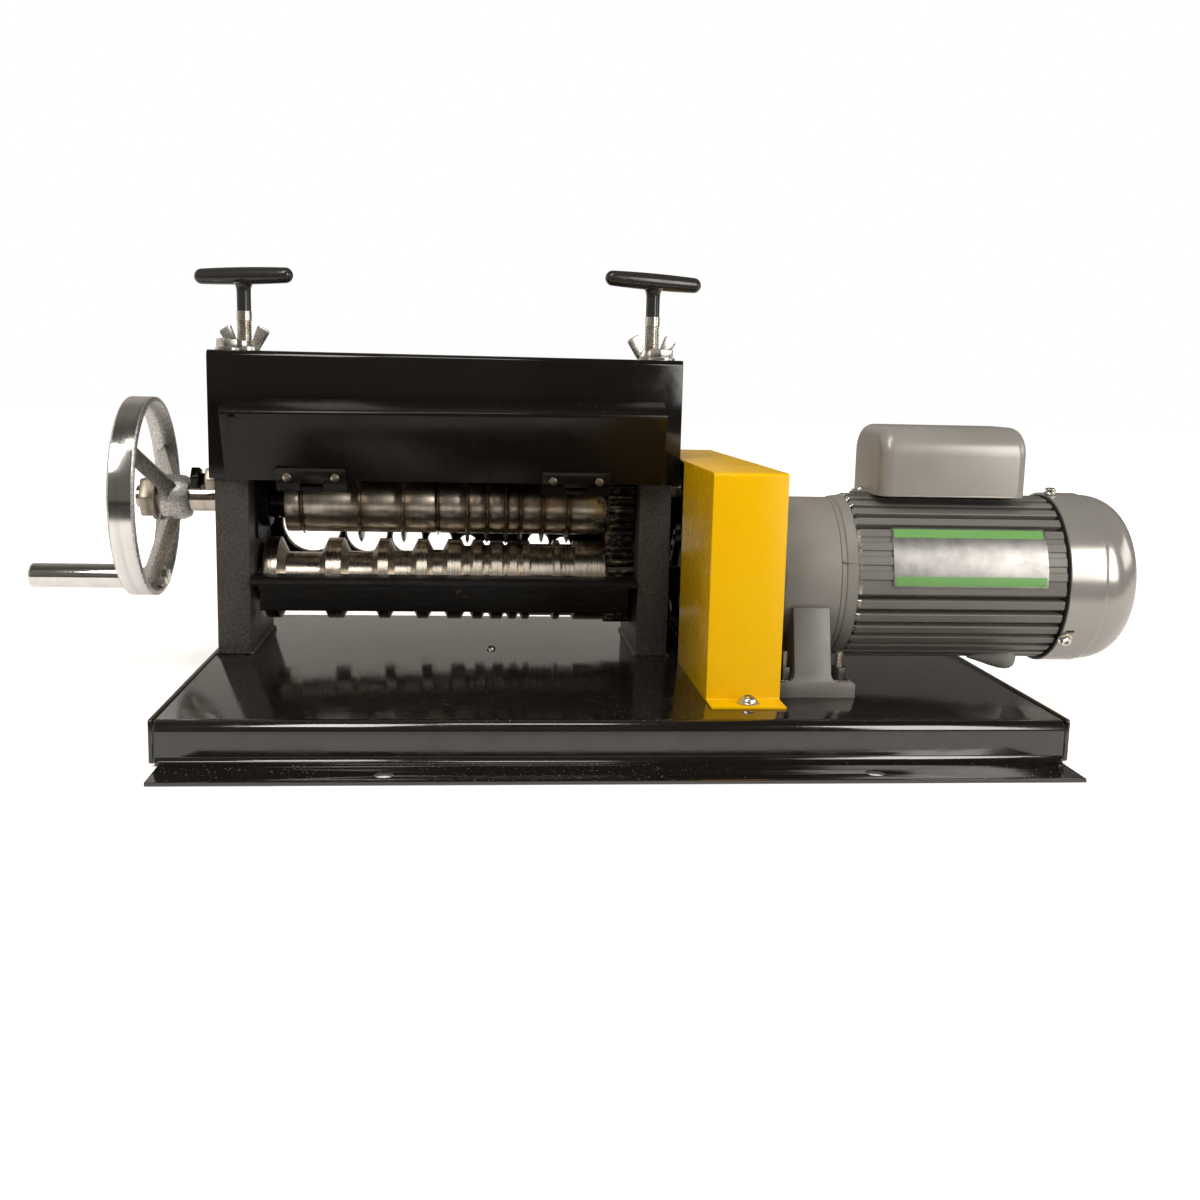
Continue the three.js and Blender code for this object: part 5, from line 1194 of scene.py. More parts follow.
@dataclass
class FlapAssembly(Assembly):
    """The guard flap with its two hinges."""

    left: float = -287.5
    length: float = 333.5
    height: float = 60.0
    lip: float = 25.0
    lean: float = math.radians(24.0)
    rise: float = math.radians(19.5)
    sheet: float = 1.5
    bend: float = 1.5
    run: float = 0.4
    hinge: Point = (2.4, 162.1)
    foot: float = 5.0
    slot_sides: Point = (6.5, 11.5)
    slot_heights: Point = (211.8, 213.8)
    slide: tuple[float, float, float, float] = (2.2, 0.9, 3.0, 3.2)
    hinge_length: float = 53.0
    hinge_starts: Point = (-249.8, -47.4)
    leaf: float = 1.5
    leaf_foot: float = 5.4
    leaf_height: float = 19.0
    strap_height: float = 9.0
    screw_height: float = 11.0
    screw_out: float = 18.0
    bracket_height: float = 22.0
    knuckle: float = 2.5
    pin: float = 1.1

    def point(self, up: float, out: float) -> Point:
        """A place in Y and Z on the leaning flap.

        Args:
            up: Distance up the flap from the hinge axis.
            out: Distance out from the hinge axis.

        Returns:
            The place.
        """
        cosine, sine = math.cos(self.lean), math.sin(self.lean)
        return self.hinge[0] - sine * up - cosine * out, self.hinge[1] + cosine * up - sine * out

    def panel(self, low: float, high: float, near: float, far: float) -> list[Point]:
        """Corners of a sheet along the flap.

        Args:
            low: Where it starts, up the flap.
            high: Where it ends.
            near: Its inner face, out from the hinge axis.
            far: Its outer face.

        Returns:
            The corners.
        """
        return [self.point(up, out) for up, out in ((low, near), (high, near), (high, far), (low, far))]

    def build(self) -> None:
        """Makes the flap and its hinges."""
        face = self.run + self.sheet
        edge = self.point(self.height, face)
        tip = (edge[0] + math.cos(self.rise) * self.lip, edge[1] + math.sin(self.rise) * self.lip)
        outline = folded([tip, edge, self.point(self.foot, face)], self.sheet, self.bend, 5)
        flap = Blank.drawn(outline, Axis.X, self.left, self.left + self.length)
        (start, end), (low, high) = self.slot_sides, self.slot_heights
        slot = Blank.block((self.left + start, -60.0, low), (self.left + end, 2.0, high))
        flap.carved(slot).eased(0.3, 2, 50.0)
        for vert in flap.mesh.verts:
            share = (vert.co.x - self.left) / self.length
            up = (vert.co.z - self.hinge[1]) / self.height
            slide = self.slide[0] + self.slide[1] * share + up * (self.slide[2] + self.slide[3] * share)
            vert.co.y -= slide * math.sin(self.lean)
            vert.co.z += slide * math.cos(self.lean)
        self.fit("flap", flap, Finish.FLAP_BLACK, Body.FLAP, ["guard_flap"])
        for side, start in zip(("left", "right"), self.hinge_starts):
            cuts = [start + self.hinge_length / 3 * step for step in range(4)]
            self.build_leaf(side, cuts)
            self.build_bracket(side, cuts)

    def build_leaf(self, side: str, cuts: list[float]) -> None:
        """Makes the moving leaf of one hinge and its screws.

        Args:
            side: Which hinge.
            cuts: The ends of its three knuckles.
        """
        near = self.run + self.sheet + SEAT
        far = near + self.leaf
        outline = self.panel(self.leaf_foot, self.leaf_height, near, far)
        leaf = Blank.drawn(outline, Axis.X, cuts[0], cuts[3]).eased(0.4)
        for low, high in ((cuts[0], cuts[1] - SEAT), (cuts[2] + SEAT, cuts[3])):
            ring = Blank.tube(low, high, self.pin + self.run, self.knuckle, sides=32).about(self.hinge)
            strap = Blank.drawn(self.panel(0.0, self.strap_height, near, far), Axis.X, low, high)
            leaf.with_part(ring, strap)
        self.fit(f"{side}_leaf", leaf, Finish.FLAP_BLACK, Body.FLAP, [f"{side}_hinge_leaf"])
        for letter, out in (("a", -self.screw_out), ("b", self.screw_out)):
            screw = pan_screw(3.6, 2.0).rolled(90.0 + math.degrees(self.lean))
            screw.moved(cuts[0] + self.hinge_length / 2 + out, *self.point(self.screw_height, far))
            self.fit(f"{side}_hinge_screw_{letter}", screw, Finish.YELLOW_ZINC, Body.FLAP)

    def build_bracket(self, side: str, cuts: list[float]) -> None:
        """Makes the fixed half of one hinge, with its pin.

        Args:
            side: Which hinge.
            cuts: The ends of its three knuckles.
        """
        start, low, high, end = cuts[0], cuts[1] + SEAT, cuts[2] - SEAT, cuts[3]
        plate, (y, z) = HOOD_FRONT - SEAT, self.hinge
        bracket = Blank.block(
            (start, plate - self.leaf, z - self.leaf), (end, plate, z + self.bracket_height))
        bracket.eased(0.3).with_part(
            Blank.block((low, y + self.pin, z - self.leaf), (high, plate, z + self.leaf)),
            Blank.bar(low, high, self.knuckle, 0.2).about(self.hinge),
            Blank.bar(start, end, self.pin, 0.2).about(self.hinge))
        self.fit(f"{side}_bracket", bracket, Finish.FLAP_BLACK, Body.FRAME, [f"{side}_hinge_bracket"])


@dataclass
class FeedAssembly(Assembly):
    """The feed table in front of the rollers and the guide plate behind them."""

    sides: Point = (-272.8, 31.0)
    top: float = 91.5
    front: float = 5.0
    depth: float = 27.25
    lip: float = 25.5
    lip_inset: float = 8.0
    sheet: float = 4.0
    bend: float = 2.0
    finger: float = 3.6
    finger_play: float = 0.8
    plate_back: float = 122.0
    plate_sheet: float = 5.0
    plate_foot: float = 86.0
    plate_height: float = 78.0
    hole_line: float = 98.5
    rim_inside: float = 0.3
    rim_outside: float = 1.1
    rim_proud: float = 0.2

    def build(self) -> None:
        """Makes both pieces and the bright rims of the guide holes."""
        (left, right), back, bottom = self.sides, self.front + self.depth, self.top - self.lip
        path = [(back, self.top), (self.front, self.top), (self.front, bottom)]
        table = Blank.drawn(folded(path, self.sheet, self.bend, 5), Axis.X, left, right)
        reach, roof = self.front + CUT + self.bend, self.top - self.sheet - self.bend
        table.carved(*[
            Blank.block((low, self.front - CUT, bottom - CUT), (high, reach, roof))
            for low, high in ((left - CUT, left + self.lip_inset), (right - self.lip_inset, right + CUT))])
        table.eased(0.6, 2, 50.0)
        for station in STATIONS[4:]:
            half = station.width / 2 - station.depth / 4 - self.finger_play
            table.with_part(Blank.block(
                (station.x - half, back - self.sheet, self.top - self.sheet),
                (station.x + half, back + self.finger, self.top)).eased(0.4))
        self.fit("table", table, Finish.TABLE_BLACK, Body.FRAME, ["feed_table"])
        plate = Blank.block(
            (left, self.plate_back - self.plate_sheet, self.plate_foot),
            (right, self.plate_back, self.plate_foot + self.plate_height))
        plate.carved(
            *[self.placed(Blank.bar(-CUT, CUT, station.hole, sides=64), station) for station in STATIONS])
        self.fit("guide_plate", plate.eased(0.5), Finish.TABLE_BLACK, Body.FRAME, ["feed_guide_plate"])
        rims = Blank()
        for station in STATIONS:
            rim = Blank.tube(
                -self.plate_sheet - self.rim_proud, self.rim_proud, station.hole - self.rim_inside,
                station.hole + self.rim_outside, sides=64)
            rims.with_part(self.placed(rim, station))
        self.fit("guide_hole_rims", rims, Finish.SHAFT, Body.FRAME)

    def placed(self, blank: Blank, station: Station) -> Blank:
        """Turns a round solid along Y and moves it to a station's guide hole."""
        return blank.rolled(90.0, "Z").moved(station.x, self.plate_back, self.hole_line + station.hole)


def gear_outline(turn: float) -> list[Point]:
    """Outline of a roller gear, with involute flanks.

    Args:
        turn: Angle to turn it by, in degrees.

    Returns:
        The outline.
    """
    pitch = GEAR_MODULE * GEAR_TEETH / 2
    base, tip = pitch * math.cos(GEAR_PRESSURE), pitch + GEAR_MODULE
    half = math.pi / 2 / GEAR_TEETH - GEAR_PLAY / 2 / pitch + math.tan(GEAR_PRESSURE) - GEAR_PRESSURE
    flank = []
    for reach in [pitch - 1.25 * GEAR_MODULE] + [base + (tip - base) * step / 4 for step in range(5)]:
        angle = math.acos(min(1.0, base / reach))
        flank.append((reach, half - math.tan(angle) + angle))
    points = []
    for tooth in range(GEAR_TEETH):
        middle = math.radians(turn) + math.tau * tooth / GEAR_TEETH
        for reach, swing in [(r, -s) for r, s in flank] + flank[::-1]:
            points.append((reach * math.cos(middle + swing), reach * math.sin(middle + swing)))
    return points


def gear(turn: float, bore: float) -> Blank:
    """One of the two roller gears, about the X axis.

    Args:
        turn: Angle to turn it by, in degrees.
        bore: Radius of its bore.

    Returns:
        The solid.
    """
    left, right = GEAR_SIDES
    return Blank.drawn(gear_outline(turn), Axis.X, left, right).carved(
        Blank.bar(left - CUT, right + CUT, bore)).eased(0.35, 1)


@dataclass
class RollerTrain(Assembly):
    """The grooved lower roller with its gear, journals and bushes."""

    journal: float = 12.5
    journal_edge: float = 1.0
    ends: Point = (-305.0, 97.0)
    body: Point = (-268.0, 8.9)
    edge: float = 1.5
    gear_turn: float = 90.0
    bush: float = 18.9
    bush_rim: float = 24.0
    bush_rim_width: float = 5.0
    bush_play: float = 0.4

    def build(self) -> None:
        """Makes the roller, its gear and its bushes."""
        radius, (left, right), (start, end) = ROLLER_RADIUS, self.body, self.ends
        neck = self.journal - self.journal_edge
        profile = [
            (start, 0.0), (start, neck), (start + self.journal_edge, self.journal), (left, self.journal),
            (left, radius - self.edge), (left + self.edge, radius)]
        for station in STATIONS:
            half, floor = station.width / 2, station.width / 2 - station.depth / 2
            profile += [
                (station.x - half, radius), (station.x - floor, radius - station.depth),
                (station.x + floor, radius - station.depth), (station.x + half, radius)]
        profile += [
            (right - self.edge, radius), (right, radius - self.edge), (right, self.journal),
            (end - self.journal_edge, self.journal), (end, neck), (end, 0.0)]
        roller = Blank.turned(profile, LOWER, 96)
        self.fit("grooved_roller", roller, Finish.TURNED, Body.ROLLER, ["lower_roller"], 24.0)
        wheel = gear(self.gear_turn, self.journal + SEAT).about(LOWER)
        self.fit("roller_gear", wheel, Finish.GEAR, Body.ROLLER, ["lower_gear"])
        bore = self.journal + self.bush_play
        for name, inner, outer, side in (("left", *LEFT_PLATE[::-1], -1.0), ("right", *RIGHT_PLATE, 1.0)):
            seat = outer + side * SEAT
            rim = seat + side * self.bush_rim_width
            bush = Blank.turned(
                [(inner, bore), (inner, self.bush), (seat, self.bush), (seat, self.bush_rim),
                 (rim - side, self.bush_rim), (rim, self.bush_rim - 1.0), (rim, bore), (inner, bore)], LOWER)
            self.fit(f"{name}_bush", bush, Finish.BRONZE, Body.FRAME, [f"{name}_bearing"])


@dataclass
class BladeTrain(Assembly):
    """The upper shaft with its discs, spacers, gear and sliding bearing blocks."""

    shaft: float = 12.0
    collar: float = 11.3
    wheel_seat: float = 10.0
    thread: float = 9.0
    thread_edge: float = 0.8
    steps: tuple[float, float, float, float] = (-370.6, -353.6, -329.2, -299.0)
    shaft_end: float = 61.0
    sleeve: float = 15.5
    sleeve_left: float = -263.9
    groove: tuple[Point, ...] = ((-257.5, 0.0), (-257.2, 0.7), (-256.6, 0.7), (-256.3, 0.0))
    spacer: float = 26.5
    spacer_edge: float = 0.6
    disc: float = 3.0
    bevel: float = 2.6
    tip_half: float = 0.15
    shoulder: float = 1.5
    sharp_from: float = 3.0
    stack_left: float = -251.0
    block_half: float = 26.6
    block_heights: Point = (118.0, 178.0)
    block_play: float = 0.4
    boss: float = 22.5
    boss_length: float = 7.0
    socket: float = 6.3
    socket_floor: float = 164.0

    def build(self) -> None:
        """Makes the whole upper train."""
        bore, start, end = self.shaft + SEAT, self.stack_left, self.shaft_end
        tail, nut, seat, neck = self.steps
        shaft = [
            (tail, 0.0), (tail, self.thread - self.thread_edge), (tail + self.thread_edge, self.thread),
            (nut, self.thread), (nut, self.wheel_seat), (seat, self.wheel_seat), (seat, self.collar),
            (neck, self.collar), (neck, self.shaft), (end - 1.0, self.shaft), (end, self.shaft - 1.0),
            (end, 0.0)]
        self.fit("upper_shaft", Blank.turned(shaft, UPPER), Finish.SHAFT, Body.BLADES, ["blade_shaft"])
        sleeve = [
            (self.sleeve_left, bore), (self.sleeve_left, self.sleeve),
            *[(x, self.sleeve - depth) for x, depth in self.groove],
            (start - SEAT, self.sleeve), (start - SEAT, bore), (self.sleeve_left, bore)]
        self.fit("greased_sleeve", Blank.turned(sleeve, UPPER), Finish.GREASED, Body.BLADES)
        for index, station in enumerate(STATIONS, 1):
            self.build_ring(index, start, station.x - self.disc / 2 - SEAT)
            disc = Blank.turned(self.disc_profile(station), UPPER, 96)
            self.fit(f"disc_{index}", disc, Finish.BLADE, Body.BLADES, [f"blade_{index}"], 20.0)
            start = station.x + self.disc / 2 + SEAT
        self.build_ring(len(STATIONS) + 1, start, GEAR_SIDES[0] - SEAT)
        wheel = gear(90.0 + 180.0 / GEAR_TEETH, bore).about(UPPER)
        self.fit("shaft_gear", wheel, Finish.GEAR, Body.BLADES, ["upper_gear"])
        self.build_block("left", *LEFT_PLATE, self.boss_length)
        self.build_block("right", *RIGHT_PLATE, 0.0)

    def disc_profile(self, station: Station) -> list[Point]:
        """The closed profile of one disc, blunt where it barely stands out.

        Args:
            station: The disc's station.

        Returns:
            The profile.
        """
        x, left, right = station.x, station.x - self.disc / 2, station.x + self.disc / 2
        bore, tip = self.shaft + SEAT, self.spacer + station.reach
        if station.reach > self.sharp_from:
            low, edge = tip - self.bevel, [(x - self.tip_half, tip), (x + self.tip_half, tip)]
        else:
            low, edge = self.spacer - self.shoulder, [(x, tip)]
        return [(left, bore), (left, low), *edge, (right, low), (right, bore), (left, bore)]

    def build_ring(self, index: int, start: float, end: float) -> None:
        """Makes one spacer.

        Args:
            index: Its number from the left.
            start: Its left face.
            end: Its right face.
        """
        ring = Blank.tube(start, end, self.shaft + SEAT, self.spacer, self.spacer_edge, 80).about(UPPER)
        self.fit(f"ring_{index}", ring, Finish.STACK, Body.BLADES, [f"spacer_{index}"], 50.0)

    def build_block(self, name: str, low: float, high: float, boss: float) -> None:
        """Makes one sliding bearing block.

        Args:
            name: Which block.
            low: Its left face.
            high: Its right face.
            boss: How far its boss stands out to the right.
        """
        foot, top = self.block_heights
        body = Blank.block((low, AXIS_Y - self.block_half, foot), (high, AXIS_Y + self.block_half, top))
        if boss > 0.0:
            collar = Blank.bar(high - 5.0, high + boss, self.boss, 1.0).about(UPPER)
            body.carved(collar, operation="UNION")
        bore = Blank.bar(low - CUT, high + boss + CUT, self.shaft + self.block_play).about(UPPER)
        socket = Blank.bar(self.socket_floor, top + CUT, self.socket).upright()
        body.carved(bore, socket.moved((low + high) / 2, AXIS_Y)).eased(0.6)
        self.fit(f"{name}_block", body, Finish.TABLE_BLACK, Body.CARRIAGE, [f"{name}_bearing_block"])


@dataclass
class WheelAssembly(Assembly):
    """The cast handwheel with its nut and its turning crank."""

    radius: float = 80.0
    rim_middle: float = -364.0
    rim_width: float = 20.0
    rim_half: tuple[Point, ...] = ((1.0, 7.6), (7.4, 5.4), (10.0, 3.5), (10.0, 0.9), (9.1, 0.0))
    hub: float = 18.5
    hub_bore: float = 10.1
    hub_sides: Point = (-353.5, -328.5)
    spoke_width: float = 18.0
    spoke_half: float = 7.5
    spoke_root: float = -343.0
    first_spoke: float = 55.0
    crank_angle: float = 187.0
    crank_arm: float = 67.0
    boss: float = 9.0
    grip: float = 10.0
    grip_length: float = 86.0
    grip_bore: float = 5.4
    pin: float = 5.0
    pin_length: float = 70.0
    nut_across: float = 30.0
    nut_sides: Point = (-366.6, -357.1)
    washer: float = 18.5
    washer_right: float = -353.6

    def crank_place(self) -> Point:
        """The crank's place in Y and Z."""
        angle = math.radians(self.crank_angle)
        return AXIS_Y - self.crank_arm * math.sin(angle), UPPER[1] + self.crank_arm * math.cos(angle)

    def build(self) -> None:
        """Makes the wheel, its nut and its crank."""
        reach, middle, half = self.radius, self.rim_middle, self.rim_width / 2
        left, right = middle - half, middle + half
        rim = [(middle - x, reach - depth) for x, depth in self.rim_half]
        rim += [(middle + x, reach - depth) for x, depth in self.rim_half[::-1]] + rim[:1]
        self.fit("wheel_rim", Blank.turned(rim, UPPER, 144), Finish.CAST, Body.BLADES, ["handwheel"], 25.0)
        band = [(left + x, reach + rise) for x, rise in ((0.4, -1.2), (0.7, -0.3), (1.6, 0.15))]
        band += [(right - x, reach + rise) for x, rise in ((2.6, 0.15), (1.9, -0.1), (1.7, -1.2))] + band[:1]
        self.fit("wheel_band", Blank.turned(band, UPPER, 144), Finish.RIM, Body.BLADES, smooth=25.0)
        boss = Blank.bar(middle - 5.0, middle + 10.5, self.boss, 1.2).about(self.crank_place())
        self.fit("wheel_spokes", self.spokes().with_part(boss), Finish.CAST, Body.BLADES)
        (start, end), back = self.nut_sides, self.washer_right
        nut = Blank.hexed(self.nut_across, start, end, 1.2)
        nut.carved(Blank.bar(end, back, self.washer, 0.5), operation="UNION")
        nut.carved(Blank.bar(start - CUT, back + CUT, 9.1))
        self.fit("wheel_nut", nut.about(UPPER), Finish.YELLOW_ZINC, Body.BLADES, ["handwheel_nut"])
        pin = Blank.bar(left - self.pin_length, middle + 10.0, self.pin).with_part(
            Blank.hexed(12.0, middle + 10.6, middle + 14.6, 0.5),
            Blank.bar(left + 0.4, middle - 5.1, 7.0, 0.4))
        self.fit("grip_pin", pin.about(self.crank_place()), Finish.ZINC, Body.BLADES, ["crank_pin"])
        end, floor = left - self.grip_length, left - self.pin_length - 0.4
        cap = [(end + x, self.grip - depth) for x, depth in ((0.0, 2.6), (0.5, 1.2), (1.6, 0.3), (3.0, 0.0))]
        grip = Blank.turned(
            [(end, 0.0), *cap, (left - 1.2, self.grip), (left, self.grip - 1.2), (left, self.grip_bore),
             (floor, self.grip_bore), (floor, 0.0)], self.crank_place(), 64)
        self.fit("grip", grip, Finish.CHROME, Body.CRANK, ["crank_handle"])

    def spokes(self) -> Blank:
        """The hub with its three spokes, which flare at the hub."""
        (left, right), bore = self.hub_sides, self.hub_bore
        hub = Blank.turned(
            [(left, bore), (left, 14.0), (left + 8.0, self.hub), (right - 5.0, self.hub - 0.6),
             (right, self.hub - 3.0), (right, bore), (left, bore)])
        low, high = self.hub - 6.0, self.radius - 5.0
        half, side = self.spoke_half, self.spoke_width / 2
        for step in range(3):
            arm = Blank.drawn([(-half, 0.0), (0.0, -side), (half, 0.0), (0.0, side)], Axis.Z, low, high)
            for vert in arm.eased(1.0, 2, 50.0).divided(2, 10).mesh.verts:
                share = (vert.co.z - low) / (high - low)
                flare = 1.0 + 0.35 * max(0.0, 1.0 - share * 4.0) ** 2
                vert.co.x = vert.co.x * flare + self.spoke_root * (1.0 - share) + self.rim_middle * share
                vert.co.y *= flare
            hub.with_part(arm.rolled(self.first_spoke + 120.0 * step))
        return hub.about(UPPER)


@dataclass
class ScrewAssembly(Assembly):
    """The two hand screws with their wing nuts."""

    bars_z: Point = (324.5, 329.1)
    coat_foot: Point = (294.2, 298.0)
    turns: Point = (-14.0, 12.0)
    tilts: Point = (-1.2, 2.4)
    bar_length: float = 82.0
    bar: float = 6.8
    stem: float = 5.5

    def build(self) -> None:
        """Makes both screws and both wing nuts."""
        for index, (name, plate) in enumerate((("left", LEFT_PLATE), ("right", RIGHT_PLATE))):
            x = sum(plate) / 2
            body = (Body.LEFT_SCREW, Body.RIGHT_SCREW)[index]
            foot = self.coat_foot[index]
            handle = self.handle(self.turns[index], self.tilts[index], self.bars_z[index], foot)
            self.fit(
                f"{name}_t_grip", handle.moved(x, AXIS_Y, 0.0), Finish.DIP, body, [f"{name}_hand_screw"])
            stem = Blank.threaded(164.5, foot - 4.0, 6.0, 1.75, 0.9)
            neck = Blank.bar(foot - 4.5, foot + 3.0, 5.9, 0.2)
            thread = stem.with_part(neck).upright().moved(x, AXIS_Y)
            self.fit(f"{name}_screw_thread", thread, Finish.ZINC, body)
            wing = (Body.LEFT_WING, Body.RIGHT_WING)[index]
            nut = self.wing_nut().rolled(self.turns[index], "Z").moved(x, AXIS_Y, HOOD_TOP)
            self.fit(f"{name}_butterfly", nut, Finish.ZINC, wing, [f"{name}_wing_nut"])

    def handle(self, turn: float, tilt: float, height: float, foot: float) -> Blank:
        """The dipped bar and its stem, standing over the origin.

        Args:
            turn: How far the bar is turned, in degrees.
            tilt: How far its right end droops, in degrees.
            height: Height of the bar's middle.
            foot: Height where the dip ends.

        Returns:
            The solid.
        """
        half, cap = self.bar_length / 2, 6.0
        middle = [
            (along / 6 * (half - cap), self.bar * (1.0 - 0.1 * (along / 6) ** 2)) for along in range(-5, 6)]
        profile = arc((cap - half, 0.0), (cap, self.bar * 0.9), 180.0, 90.0, 8) + middle
        profile += arc((half - cap, 0.0), (cap, self.bar * 0.9), 90.0, 0.0, 8)
        bar = Blank.turned(profile, sides=40).rolled(tilt, "Y").rolled(turn, "Z").moved(0.0, 0.0, height)
        flare = arc((height - 12.5, self.stem + 3.2), (7.0, 3.2), -90.0, 0.0, 6)
        stem = Blank.turned(
            [(foot, 0.0), (foot, self.stem - 0.4), (foot + 0.5, self.stem), *flare, (height - 2.0, 0.0)],
            sides=40)
        return bar.with_part(stem.upright())

    def wing_nut(self) -> Blank:
        """A pressed wing nut, standing at the origin."""
        hub = Blank.turned(
            [(0.1, 6.3), (0.1, 10.8), (0.6, 11.5), (3.6, 11.5), (5.0, 10.4), (8.1, 8.5), (8.1, 6.3),
            (0.1, 6.3)],
            sides=48).upright()
        for side in (0.0, 180.0):
            outline = [
                (6.8, 1.2), (11.4, 1.0), (13.2, 3.0), (20.4, 14.0), (20.8, 15.4), (20.0, 16.6), (13.6, 20.4),
                (12.2, 20.6), (11.2, 19.6), (6.8, 9.0)]
            hub.with_part(Blank.drawn(outline, Axis.Y, -1.3, 1.3).eased(0.6).rolled(side, "Z"))
        return hub


@dataclass
class ChainAssembly(Assembly):
    """The roller chain on its two sprockets."""

    pitch: float = 15.875
    plate_height: float = 14.0
    plate: float = 1.8
    inner: float = 4.8
    roller: float = 5.0
    pin: float = 2.6
    waist: float = 0.8
    tooth_half: float = 4.2
    hub_length: float = 13.0
    shaft: float = 11.0
    shaft_sides: Point = (71.6, 139.6)
    small_teeth: int = 12
    large_teeth: int = 16

    def reach(self, teeth: int) -> float:
        """Pitch radius of a sprocket.

        Args:
            teeth: Its number of teeth.

        Returns:
            The radius.
        """
        return self.pitch / 2 / math.sin(math.pi / teeth)

    def pins(self) -> list[tuple[Vector, bool]]:
        """Places of the chain's pins in Y and Z, each with whether it is clear of the teeth."""
        small, large = Vector(MOTOR), Vector(LOWER)
        low, high = self.reach(self.small_teeth), self.reach(self.large_teeth)
        away = large - small
        heading = math.atan2(away.y, away.x)
        splay = math.asin((high - low) / away.length)
        run = math.sqrt(away.length ** 2 - (high - low) ** 2)
        lengths = [run, high * (math.pi + 2 * splay), run, low * (math.pi - 2 * splay)]
        total = sum(lengths)
        count = 2 * round(total / self.pitch / 2)
        top, bottom = heading + math.pi / 2 + splay, heading - math.pi / 2 - splay

        def on(centre: Vector, radius: float, angle: float) -> Vector:
            """A point on a circle."""
            return centre + radius * Vector((math.cos(angle), math.sin(angle)))

        places = []
        for index in range(count):
            s, piece = total * index / count, 0
            while s >= lengths[piece]:
                s -= lengths[piece]
                piece += 1
            if piece == 0:
                point = on(small, low, top) + on(Vector((0.0, 0.0)), s, top - math.pi / 2)
            elif piece == 1:
                point = on(large, high, top - s / high)
            elif piece == 2:
                point = on(large, high, bottom) - on(Vector((0.0, 0.0)), s, bottom + math.pi / 2)
            else:
                point = on(small, low, bottom - s / low)
            gap = 0.3 * self.pitch + self.roller + 0.4
            clear = (point - small).length > low + gap and (point - large).length > high + gap
            places.append((point, clear))
        return places

    def link(self, start: Vector, end: Vector, low: float, high: float) -> Blank:
        """One waisted link plate.

        Args:
            start: Its first pin.
            end: Its second pin.
            low: Its left face.
            high: Its right face.

        Returns:
            The solid.
        """
        away = end - start
        heading = math.atan2(away.y, away.x)
        radius, half = self.plate_height / 2, away.length / 2
        middle = (start + end) / 2
        local = arc((half, 0.0), radius, -80.0, 80.0, 5) + [(0.0, radius * self.waist)]
        turn = Matrix.Rotation(heading, 2)
        points = [middle + turn @ Vector(point) for point in local + [(-u, -v) for u, v in local]]
        return Blank.drawn(points, Axis.X, low, high)

    def sprocket(self, teeth: int, hub: float, bore: float) -> Blank:
        """A sprocket about the X axis.

        Args:
            teeth: Number of teeth.
            hub: Radius of its hub.
            bore: Radius of its bore.

        Returns:
            The solid.
        """
        reach = self.reach(teeth)
        shape = ((reach - self.roller, -0.3), (reach - 3.4, -0.235), (reach, -0.19), (reach + 4.76, -0.07))
        points = []
        for tooth in range(teeth):
            for radius, share in shape + tuple((r, -s) for r, s in shape[::-1]):
                angle = math.tau * (tooth + share) / teeth
                points.append((radius * math.cos(angle), radius * math.sin(angle)))
        left, right = SPROCKET_X - self.tooth_half, SPROCKET_X + self.tooth_half
        wheel = Blank.drawn(points, Axis.X, left, right).eased(0.8, 1)
        wheel.carved(Blank.bar(left, SPROCKET_X + self.hub_length, hub, 0.8), operation="UNION")
        return wheel.carved(Blank.bar(left - CUT, SPROCKET_X + self.hub_length + CUT, bore))

    def build(self) -> None:
        """Makes the chain, both sprockets and the output shaft."""
        places = self.pins()
        chain = Blank()
        outer = self.inner + self.plate + SEAT
        tip = outer + self.plate + 1.2
        for index, (point, clear) in enumerate(places):
            after = places[(index + 1) % len(places)][0]
            face = self.inner if index % 2 == 0 else outer
            for low, high in ((face, face + self.plate), (-face - self.plate, -face)):
                chain.with_part(self.link(point, after, low, high))
            if clear:
                chain.with_part(
                    Blank.bar(-tip, tip, self.pin, 0.3, 12).about(point),
                    Blank.bar(SEAT - self.inner, self.inner - SEAT, self.roller, 0.2, 20).about(point))
            else:
                for side in (-1.0, 1.0):
                    ends = sorted((side * self.inner, side * tip))
                    chain.with_part(Blank.bar(*ends, self.pin, 0.3, 12).about(point))
        # The chain and sprockets are near-black: oiled steel, with painted shade inside the guard.
        self.fit("roller_chain", chain.moved(SPROCKET_X), Finish.CHAIN, Body.FRAME, ["drive_chain"])
        large = self.sprocket(self.large_teeth, 24.0, 12.6).about(LOWER)
        self.fit("driven_sprocket", large, Finish.CHAIN, Body.ROLLER, ["roller_sprocket"])
        small = self.sprocket(self.small_teeth, 19.0, 11.1).about(MOTOR)
        self.fit("driving_sprocket", small, Finish.CHAIN, Body.OUTPUT, ["motor_sprocket"])
        shaft = Blank.bar(*self.shaft_sides, self.shaft, 0.8).about(MOTOR)
        self.fit("gearbox_shaft", shaft, Finish.SHAFT, Body.OUTPUT, ["output_shaft"])


